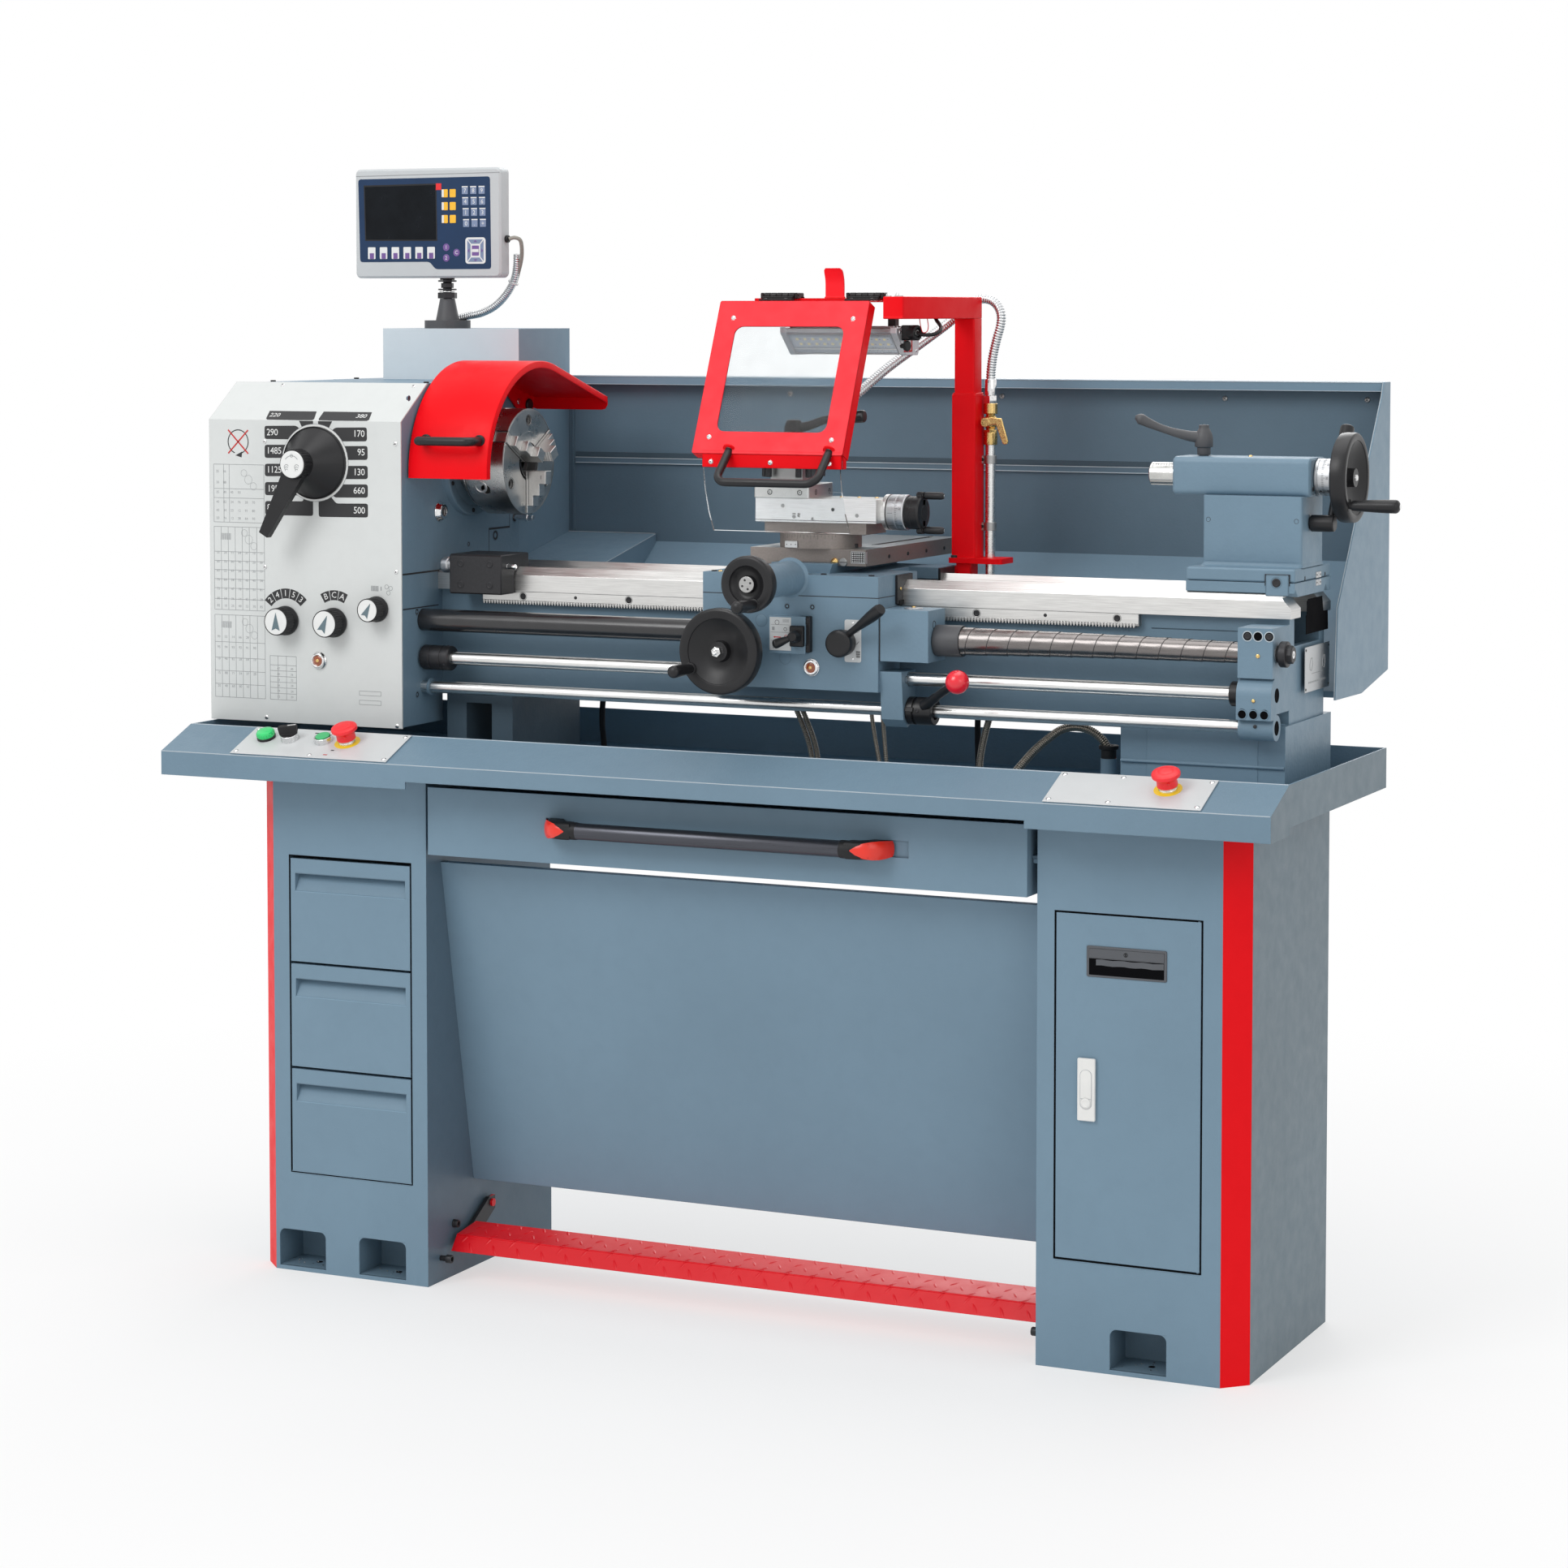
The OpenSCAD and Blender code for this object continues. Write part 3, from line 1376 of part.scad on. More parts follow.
on_stand() quill_lock();
on_stand() clamp_lever();
on_stand() bed_stop();
small_drawer(0);  // drawer_1
small_drawer(1);  // drawer_2
small_drawer(2);  // drawer_3
wide_drawer();
door();
latch();
push_part(-599, 20, 14, 18, red);  // estop_left
push_part(689, 20, 14, 18, red);  // estop_right
push_part(-640, 12, 6, 10, [0.1, 0.6, 0.3]);  // start_button
selector();
on_stand() readout();
foot_bar();
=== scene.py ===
"""Looks of the bench lathe: materials, the shapes that dress or replace CAD pieces, and the studio.

Everything is in the frame's own axes: +X to the tailstock, +Y to the rear, +Z up. Numbers in a shape are
millimetres from the frame's origin on the floor; G.done() turns them into metres.
"""
import math
import random

import bmesh
import bpy
from mathutils import Matrix, Vector


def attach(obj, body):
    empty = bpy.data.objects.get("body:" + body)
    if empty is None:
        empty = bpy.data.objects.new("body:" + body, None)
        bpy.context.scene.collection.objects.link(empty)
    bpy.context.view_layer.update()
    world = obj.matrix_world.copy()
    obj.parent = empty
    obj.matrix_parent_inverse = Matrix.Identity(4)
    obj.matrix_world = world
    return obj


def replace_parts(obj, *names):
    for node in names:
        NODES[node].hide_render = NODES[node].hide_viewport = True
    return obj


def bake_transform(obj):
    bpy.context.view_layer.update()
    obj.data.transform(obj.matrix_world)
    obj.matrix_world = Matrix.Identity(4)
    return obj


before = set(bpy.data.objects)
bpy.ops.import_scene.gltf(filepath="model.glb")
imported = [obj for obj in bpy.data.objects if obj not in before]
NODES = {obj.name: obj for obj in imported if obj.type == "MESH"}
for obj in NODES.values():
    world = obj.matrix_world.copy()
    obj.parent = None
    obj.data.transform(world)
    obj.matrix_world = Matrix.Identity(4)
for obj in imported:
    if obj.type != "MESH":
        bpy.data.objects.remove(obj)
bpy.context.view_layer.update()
SCENE = bpy.context.scene
RND = random.Random(7)
MM = 0.001

# directions, and lines and planes of the machine that several pieces share (mm)
XP, XM, YM, YP, ZP, ZM = (1, 0, 0), (-1, 0, 0), (0, -1, 0), (0, 1, 0), (0, 0, 1), (0, 0, -1)
AXIS_Y, AXIS_Z = 60, 1230  # spindle and quill
CHUCK_X = -451  # front face of the chuck
PANEL_Y = -142.5  # front of the headstock panel
ROD_Y, LEAD_Z, FEED_Z, CONTROL_Z = -80, 993, 936, 891  # lead screw, feed rod, control rod
ROD_X0 = -588  # their left ends
APRON_Y = -115  # front of the apron
WHEEL_X, WHEEL_Z = -8, 974  # apron handwheel
CROSS_X, CROSS_Z = 74, 1078  # cross slide's handwheel
TOP_Y, TOP_Z = -8, 1170  # top slide's screw
BUTTON_S = 52  # buttons, up the slope of the tray's front


def at_axis(x):
    return (x, AXIS_Y, AXIS_Z)


# ---------------------------------------------------------------- camera, light
cam_data = bpy.data.cameras.new("camera")
cam = bpy.data.objects.new("camera", cam_data)
SCENE.collection.objects.link(cam)
SCENE.camera = cam
SENSOR = 36.0
ZOOM = 50 / 21  # focal length over sensor width
SHIFT = -0.17
HORIZON = 0.30305  # share of the picture's width between the horizon and the middle
pitch = math.atan((HORIZON + SHIFT) / ZOOM)
turn = math.radians(25.03)
cam_data.sensor_width = SENSOR
cam_data.lens = SENSOR * ZOOM
cam_data.shift_y = SHIFT
cam_data.clip_start, cam_data.clip_end = 0.1, 60
look = Vector((-math.sin(turn) * math.cos(pitch), math.cos(turn) * math.cos(pitch), -math.sin(pitch)))
cam.location = (2.3331, -4.97425, 1.4645)
cam.rotation_mode = "QUATERNION"
cam.rotation_quaternion = look.to_track_quat("-Z", "Y")

SCENE.view_settings.view_transform = "Standard"

# the camera, mirrors and glass see white; what lights the object is a little dimmer
world = bpy.data.worlds.new("world")
SCENE.world = world
world.use_nodes = True
tree = world.node_tree
tree.nodes.clear()
out, path, dim, white, pick, either, any_of = (tree.nodes.new("ShaderNode" + k) for k in (
    "OutputWorld", "LightPath", "Background", "Background", "MixShader", "Math", "Math"))
for node, strength in ((dim, 0.62), (white, 1.0)):
    node.inputs["Color"].default_value = (1, 1, 1, 1)
    node.inputs["Strength"].default_value = strength
either.operation = any_of.operation = "MAXIMUM"
for a, b in ((path.outputs["Is Camera Ray"], either.inputs[0]),
             (path.outputs["Is Glossy Ray"], either.inputs[1]), (either.outputs[0], any_of.inputs[0]),
             (path.outputs["Is Transmission Ray"], any_of.inputs[1]), (any_of.outputs[0], pick.inputs[0]),
             (dim.outputs[0], pick.inputs[1]), (white.outputs[0], pick.inputs[2]),
             (pick.outputs[0], out.inputs["Surface"])):
    tree.links.new(a, b)


def area(name, loc, at, size, power):
    """Square lamp of `size` m and `power` W at loc, turned to at."""
    d = bpy.data.lights.new(name, "AREA")
    d.shape = "RECTANGLE"
    d.size = d.size_y = size
    d.energy = power
    o = bpy.data.objects.new(name, d)
    SCENE.collection.objects.link(o)
    o.location = loc
    o.rotation_mode = "QUATERNION"
    o.rotation_quaternion = (Vector(at) - Vector(loc)).to_track_quat("-Z", "Y")


area("key", (-1.6, -4.2, 4.4), (0, 0, 0.9), 2.6, 116)
area("fill", (4.2, -3.0, 2.6), (0, 0, 0.9), 2.6, 22)
area("top", (0.2, 0.2, 4.6), (0, 0.1, 0.9), 3.0, 48)
area("back", (-0.6, 4.2, 3.4), (0, 0, 1.0), 2.6, 60)


# ---------------------------------------------------------------- materials


class Shader:
    """A node tree with a Principled surface, built in short lines."""

    def __init__(s, name, color, rough, metal=0.0, coat=0.0, spec=0.5):
        s.name, s.m = name, bpy.data.materials.new(name)
        s.m.use_nodes = True
        s.t = s.m.node_tree
        s.t.nodes.clear()
        s.out = s.t.nodes.new("ShaderNodeOutputMaterial")
        s.b = s.t.nodes.new("ShaderNodeBsdfPrincipled")
        s.t.links.new(s.b.outputs[0], s.out.inputs["Surface"])
        for socket, value in (("Base Color", (*color, 1)), ("Roughness", rough), ("Metallic", metal),
                              ("Coat Weight", coat), ("Coat Roughness", 0.25), ("Specular IOR Level", spec)):
            s.b.inputs[socket].default_value = value
        s.m.diffuse_color = (*color, 1)
        s.obj = s.new("ShaderNodeTexCoord").outputs["Object"]
        s.normal = None
        s.edge = None

    def new(s, kind, **kw):
        n = s.t.nodes.new(kind)
        for k, v in kw.items():
            setattr(n, k, v)
        return n

    def link(s, a, b):
        s.t.links.new(a, b)

    def noise(s, scale, detail, rough, stretch=None):
        n = s.new("ShaderNodeTexNoise")
        for socket, value in (("Scale", scale), ("Detail", detail), ("Roughness", rough)):
            n.inputs[socket].default_value = value
        where = s.obj
        if stretch:
            m = s.new("ShaderNodeMapping")
            m.inputs["Scale"].default_value = stretch
            s.link(where, m.inputs["Vector"])
            where = m.outputs[0]
        s.link(where, n.inputs["Vector"])
        return n.outputs["Fac"]

    def ramp(s, fac, stops):
        n = s.new("ShaderNodeValToRGB")
        e = n.color_ramp.elements
        while len(e) < len(stops):
            e.new(0.5)
        for i, (p, c) in enumerate(stops):
            e[i].position = p
            e[i].color = (*c, 1)
        s.link(fac, n.inputs[0])
        return n.outputs["Color"]

    def map(s, fac, lo, hi, a=0.0, b=1.0):
        n = s.new("ShaderNodeMapRange")
        for socket, value in (("From Min", lo), ("From Max", hi), ("To Min", a), ("To Max", b)):
            n.inputs[socket].default_value = value
        s.link(fac, n.inputs["Value"])
        return n.outputs[0]

    def math(s, op, *args):
        n = s.new("ShaderNodeMath", operation=op)
        for i, v in enumerate(args):
            if isinstance(v, (int, float)):
                n.inputs[i].default_value = v
            else:
                s.link(v, n.inputs[i])
        return n.outputs[0]

    def mix(s, fac, a, b):
        n = s.new("ShaderNodeMix", data_type="RGBA")
        s.link(fac, n.inputs[0])
        for i, v in ((6, a), (7, b)):
            if isinstance(v, tuple):
                n.inputs[i].default_value = (*v, 1)
            else:
                s.link(v, n.inputs[i])
        return n.outputs[2]

    def rounded(s, radius):
        """Soft corners of `radius` m, and the mask of edges that goes with them, which the materials lighten as
        a painted highlight that also stands for wear.
        """
        n = s.new("ShaderNodeBevel", samples=4)
        n.inputs["Radius"].default_value = radius
        s.normal = n.outputs[0]
        g = s.new("ShaderNodeNewGeometry")
        d = s.new("ShaderNodeVectorMath", operation="DOT_PRODUCT")
        s.link(n.outputs[0], d.inputs[0])
        s.link(g.outputs["Normal"], d.inputs[1])
        s.edge = s.map(d.outputs["Value"], 0.99, 0.86)

    def bump(s, fac, distance, strength):
        n = s.new("ShaderNodeBump")
        n.inputs["Distance"].default_value = distance
        n.inputs["Strength"].default_value = strength
        s.link(fac, n.inputs["Height"])
        if s.normal is not None:
            s.link(s.normal, n.inputs["Normal"])
        s.normal = n.outputs[0]

    def finish(s, base, rough=None):
        """Links colour, roughness and normal, and files the material under its name."""
        s.link(base, s.b.inputs["Base Color"])
        if rough is not None:
            s.link(rough, s.b.inputs["Roughness"])
        if s.normal is not None:
            s.link(s.normal, s.b.inputs["Normal"])
        M[s.name] = s.m


def srgb(*rgb):
    """Linear colour of sRGB values from 0 to 255."""
    return tuple(v / 255 / 12.92 if v / 255 <= 0.04045 else ((v / 255 + 0.055) / 1.055) ** 2.4 for v in rgb)


def tone(c, k):
    """Colour c, k times as bright."""
    return tuple(max(0.0, min(1.0, v * k)) for v in c)


M = {}


def paint(name, color, rough=0.38, peel=0.00012, scale=420.0, edge=1.35, vary=0.06, coat=0.08, radius=0.0014,
          dust=0.0, spec=0.26):
    """Lacquer: orange peel of depth `peel`, slow changes of tone by `vary`, edges `edge` times as bright as a
    painted highlight.
    """
    s = Shader(name, color, rough, 0.0, coat, spec)
    s.rounded(radius)
    big = s.noise(3.2, 4.0, 0.55)
    c = s.ramp(big, [(0.25, tone(color, 1 - vary)), (0.75, tone(color, 1 + vary))])
    fine = s.noise(38.0, 5.0, 0.6)
    c = s.mix(s.map(fine, 0.45, 0.8, 0.0, 0.22), c, tone(color, 0.86))
    if dust:
        c = s.mix(s.map(s.noise(11.0, 8.0, 0.65), 0.52, 0.78, 0.0, dust), c, tone(color, 0.7))
    c = s.mix(s.math("MULTIPLY", s.edge, 0.55), c, tone(color, edge))
    shine = s.map(fine, 0.3, 0.75, rough - 0.05, rough + 0.09)
    s.bump(s.noise(scale, 2.0, 0.5), peel, 0.9)
    s.finish(c, shine)


def steel(name, color, rough, stretch=(3, 60, 60), scale=22.0, grain=0.00003, spots=0.12, metal=1.0):
    """Bare metal: scratches along the axis with the least `stretch`, darker blots by `spots`."""
    s = Shader(name, color, rough, metal)
    s.rounded(0.0009)
    g = s.noise(scale, 5.0, 0.62, stretch)
    c = s.ramp(g, [(0.3, tone(color, 0.86)), (0.7, tone(color, 1.1))])
    blot = s.noise(17.0, 6.0, 0.65)
    c = s.mix(s.map(blot, 0.55, 0.8, 0.0, spots), c, tone(color, 0.62))
    # edges lighter: painted highlight, also standing for wear
    c = s.mix(s.math("MULTIPLY", s.edge, 0.5), c, tone(color, 1.3))
    shine = s.map(g, 0.25, 0.75, rough - 0.07, rough + 0.1)
    s.bump(g, grain, 0.8)
    s.finish(c, shine)


def turned(name, color, rough, centre, axis, pitch=0.0008, depth=0.00002):
    """Turned metal: fine rings round a line along `axis` through `centre`."""
    s = Shader(name, color, rough, 1.0)
    s.rounded(0.0009)
    sub = s.new("ShaderNodeVectorMath", operation="SUBTRACT")
    s.link(s.obj, sub.inputs[0])
    sub.inputs[1].default_value = centre
    flat = s.new("ShaderNodeVectorMath", operation="MULTIPLY")
    flat.inputs[1].default_value = tuple(0.0 if i == axis else 1.0 for i in range(3))
    s.link(sub.outputs[0], flat.inputs[0])
    ln = s.new("ShaderNodeVectorMath", operation="LENGTH")
    s.link(flat.outputs[0], ln.inputs[0])
    sep = s.new("ShaderNodeSeparateXYZ")
    s.link(sub.outputs[0], sep.inputs[0])
    along = s.math("ADD", ln.outputs["Value"], sep.outputs[axis])
    wave = s.math("SINE", s.math("MULTIPLY", along, 2 * math.pi / pitch))
    n = s.noise(26.0, 6.0, 0.65)
    c = s.ramp(n, [(0.3, tone(color, 0.82)), (0.72, tone(color, 1.1))])
    c = s.mix(s.map(wave, 0.2, 1.0, 0.0, 0.25), c, tone(color, 0.72))
    # edges lighter: painted highlight, also standing for wear
    c = s.mix(s.math("MULTIPLY", s.edge, 0.5), c, tone(color, 1.25))
    shine = s.map(n, 0.3, 0.75, rough - 0.05, rough + 0.1)
    s.bump(wave, depth, 0.7)
    s.finish(c, shine)


def plastic(name, color, rough, grain, scale, coat=0.0, vary=0.12, edge=1.5, radius=0.0008,
            spec=0.5):
    """Moulded part or print: grain of depth `grain`, tone changes by `vary`, edges `edge` times as bright as a
    painted highlight.
    """
    s = Shader(name, color, rough, 0.0, coat, spec)
    s.rounded(radius)
    n = s.noise(30.0, 5.0, 0.6)
    c = s.ramp(n, [(0.3, tone(color, 1 - vary)), (0.7, tone(color, 1 + vary))])
    c = s.mix(s.math("MULTIPLY", s.edge, 0.35), c, tone(color, edge))
    shine = s.map(n, 0.3, 0.7, rough - 0.05, rough + 0.08)
    s.bump(s.noise(scale, 2.0, 0.5), grain, 0.6)
    s.finish(c, shine)


def clear(name, tint):
    """Thin clear sheet, a little smeared."""
    s = Shader(name, tint, 0.06)
    s.b.inputs["Transmission Weight"].default_value = 1.0
    s.b.inputs["IOR"].default_value = 1.12
    c = s.ramp(s.noise(60.0, 6.0, 0.7), [(0.3, tint), (0.8, tone(tint, 0.93))])
    shine = s.map(s.noise(25.0, 5.0, 0.6), 0.35, 0.75, 0.03, 0.16)
    s.bump(s.noise(14.0, 2.0, 0.5), 0.0003, 0.3)
    s.finish(c, shine)


BLUE = srgb(117, 143, 161)
paint("blue", BLUE)
paint("cast", tone(BLUE, 0.97), 0.42, 0.0004, 160.0, 1.3, 0.07)
paint("tray", tone(BLUE, 0.93), 0.4, 0.0005, 230.0, 1.6, 0.08, 0.1, 0.0022)
# darker blue; round holes, in grooves and under the drawer pulls' upper edge it is painted shade
paint("blue_dark", tone(BLUE, 0.72), 0.45)
# lighter blue: painted highlight along lit edges
paint("blue_light", tone(BLUE, 1.18), 0.4)
# greyer, darker blue: painted shade on side faces turned from the key light
paint("blue_side", tone(srgb(104, 123, 134), 0.9), 0.42)
# darker blue: painted shade on the inner side of the left pedestal
paint("blue_inner", tone(BLUE, 0.62), 0.42)
# near-black blue: painted shade in the bed's left foot and in the splash sheet's groove
paint("blue_deep", tone(BLUE, 0.34), 0.5, 0.0002, 200.0, 1.2, 0.1, 0.0)
# darker blue: painted shade on the splash guard's front faces
paint("blue_shade", tone(BLUE, 0.66), 0.42, 0.0002, 300.0, 1.35, 0.08)
# pale paint: painted highlight on the cabinet's upper front
paint("box_light", srgb(208, 218, 224), 0.42, 0.0001, 400.0, 1.06, 0.03, 0.05)
# light blue-grey: painted highlight lines along edges and rims
paint("edge_light", srgb(178, 190, 198), 0.4, 0.0001, 300.0, 1.1, 0.05, 0.1, spec=0.5)
paint("panel", srgb(214, 217, 216), 0.45, 0.00008, 700.0, 1.06, 0.015, 0.1)
paint("grey_case", srgb(196, 200, 202), 0.42, 0.00008, 600.0, 1.1, 0.02, 0.1)
paint("red", srgb(238, 0, 16), 0.42, 0.00012, 380.0, 1.1, 0.03, 0.0, spec=0.16)
# darker red: painted shade on the back of the shield frame and on the rivets inside the guard
paint("red_dark", srgb(190, 2, 14), 0.42, 0.0001, 380.0, 1.1, 0.04, 0.0, spec=0.16)
# lighter red: painted highlight on the shield frame's front and on the tab
paint("red_face", srgb(246, 34, 48), 0.42, 0.00008, 380.0, 1.1, 0.02, 0.0)
paint("foot_red", srgb(226, 0, 22), 0.34, 0.00006, 300.0, 1.3, 0.03, 0.0, spec=0.3)
plastic("black", (0.012, 0.012, 0.0135), 0.36, 0.00004, 700.0, 0.0, 0.2, 3.0, spec=0.36)
plastic("black_matt", (0.013, 0.013, 0.0145), 0.5, 0.0001, 500.0, 0.0, 0.2, 2.4, spec=0.3)
plastic("cover_black", (0.016, 0.016, 0.018), 0.2, 0.00001, 300.0, 0.4, 0.2, 2.0)
# near black: dark joints round the doors, and painted shade in holes, openings and recesses
plastic("void_black", (0.004, 0.004, 0.005), 0.9, 0.00001, 500.0, 0.0, 0.1, 1.0, spec=0.05)
plastic("rubber", (0.014, 0.014, 0.015), 0.7, 0.00012, 420.0, 0.0, 0.2, 2.0, spec=0.25)
plastic("dark_grey", (0.07, 0.072, 0.078), 0.5, 0.00008, 600.0)
plastic("grey_cable", srgb(150, 148, 140), 0.5, 0.00004, 500.0, 0.0, 0.1, 1.1)
plastic("white", (0.8, 0.8, 0.78), 0.4, 0.00003, 600.0, 0.1, 0.03, 1.05)
plastic("white_grey", srgb(188, 192, 196), 0.42, 0.00003, 600.0, 0.1, 0.03, 1.05)
plastic("plate_white", srgb(206, 209, 210), 0.32, 0.00001, 700.0, 0.1, 0.02, 1.05, 0.0003)
for ink, color, vary in (("white", (0.78, 0.79, 0.78), 0.02), ("grey", srgb(150, 153, 155), 0.05),
                         ("black", (0.02, 0.02, 0.022), 0.1), ("red", srgb(196, 40, 38), 0.05),
                         ("arrow", srgb(96, 116, 124), 0.05)):
    plastic("print_" + ink, color, 0.55 if ink == "grey" else 0.5, 0.00001, 800.0, 0, vary, 1.0, 0.0002)
plastic("red_plastic", srgb(226, 10, 24), 0.28, 0.00003, 700.0, 0.4, 0.05, 1.2)
plastic("ball_red", srgb(238, 10, 40), 0.16, 0.00001, 600.0, 0.6, 0.03, 1.1)
plastic("key_blue", srgb(124, 140, 170), 0.4, 0.00003, 700.0, 0.0, 0.05, 1.15)
plastic("key_purple", srgb(116, 84, 150), 0.4, 0.00003, 700.0, 0.0, 0.05, 1.15)
plastic("key_yellow", srgb(248, 190, 52), 0.4, 0.00003, 700.0, 0.0, 0.04, 1.05)
plastic("navy", srgb(14, 48, 84), 0.35, 0.00003, 600.0, 0.2, 0.06, 1.3, spec=0.25)
plastic("screen", (0.008, 0.010, 0.013), 0.2, 0.00001, 300.0, 0.0, 0.2, 1.2, spec=0.12)
plastic("oil", srgb(150, 70, 20), 0.12, 0.00001, 300.0, 0.8, 0.2, 1.2)
plastic("lamp_board", srgb(204, 214, 222), 0.4, 0.00001, 500.0, 0.0, 0.03, 1.0)
plastic("lamp_led", srgb(246, 238, 196), 0.3, 0.00001, 500.0, 0.2, 0.03, 1.0)
steel("ground", (0.70, 0.695, 0.68), 0.34, (1.5, 50, 50), 16.0, 0.000008, 0.05)
steel("ground_y", (0.66, 0.655, 0.64), 0.36, (50, 1.5, 50), 16.0, 0.000008, 0.07)
# brighter copy of the ground steel: painted highlight on the compound slide's front
steel("ground_bright", (0.95, 0.95, 0.94), 0.42, (1.5, 50, 50), 16.0, 0.000006, 0.05, 0.45)
steel("dull_steel", (0.42, 0.42, 0.415), 0.42)
steel("rod_steel", (0.76, 0.76, 0.75), 0.27, (1, 60, 60), 14.0, 0.0, 0.05)
steel("coil_steel", (0.20, 0.185, 0.18), 0.26, (3, 40, 40), 16.0, 0.000006, 0.12)
steel("slide_dark", (0.30, 0.265, 0.245), 0.55, (14, 14, 14), 22.0, 0.00004, 0.35, 0.75)
steel("chuck_dark", (0.16, 0.16, 0.16), 0.4, (8, 30, 30), 22.0, 0.00003, 0.3)
steel("black_oxide", (0.035, 0.035, 0.038), 0.42, (20, 20, 20), 14.0, 0.00003, 0.2, 0.6)
steel("plate", srgb(200, 202, 203), 0.38, (4, 70, 70), 18.0, 0.00002, 0.05)
steel("chrome", (0.78, 0.78, 0.78), 0.1, (12, 12, 12), 20.0, 0.000008, 0.04)
steel("satin_alloy", (0.52, 0.53, 0.545), 0.38, (6, 50, 50), 20.0, 0.00003, 0.06)
steel("brass", (0.72, 0.50, 0.20), 0.25, (20, 20, 20), 20.0, 0.00002, 0.15)
steel("conduit", (0.62, 0.63, 0.64), 0.26, (30, 30, 30), 22.0, 0.00002, 0.1)
steel("lamp_alloy2", srgb(205, 208, 212), 0.42, (1, 1, 1), 60.0, 0.00001, 0.04, 0.6)
steel("lamp_pan", srgb(196, 204, 212), 0.3, (60, 3, 60), 12.0, 0.0, 0.02, 0.7)
steel("tube_black", (0.075, 0.078, 0.092), 0.3, (1, 40, 40), 14.0, 0.000006, 0.08, 0.75)
plastic("end_cap", srgb(238, 44, 22), 0.3, 0.00002, 700.0, 0.25, 0.04, 1.15)
plastic("pull_grey", srgb(82, 85, 90), 0.42, 0.00005, 700.0, 0.0, 0.06, 1.3)
# inside of the foot pockets: the blue darkened as painted shade, with patches of dust
paint("pocket", tone(BLUE, 0.8), 0.5, 0.0002, 200.0, 1.2, 0.1, 0.0, 0.0012, dust=0.5)
plastic("lamp_green", srgb(14, 214, 112), 0.12, 0.00001, 600.0, 0.8, 0.1, 1.25)
plastic("button_green", srgb(70, 190, 118), 0.4, 0.00002, 600.0, 0.1, 0.04, 1.1)
plastic("stop_red", srgb(246, 34, 44), 0.4, 0.00002, 600.0, 0.1, 0.03, 1.12)
plastic("stop_yellow", srgb(240, 208, 40), 0.42, 0.00002, 700.0, 0.05, 0.04, 1.06)
steel("bezel", (0.74, 0.745, 0.75), 0.24, (12, 12, 12), 20.0, 0.000006, 0.03)
steel("flex", (0.26, 0.235, 0.20), 0.28, (30, 30, 30), 22.0, 0.000006, 0.15)
turned("chuck", (0.56, 0.56, 0.55), 0.28, (0, 0.060, 1.230), 0)
turned("quill", (0.62, 0.62, 0.60), 0.22, (0, 0.060, 1.230), 0, 0.0009, 0.00001)
clear("clear", (0.93, 0.96, 0.97))


# ---------------------------------------------------------------- geometry


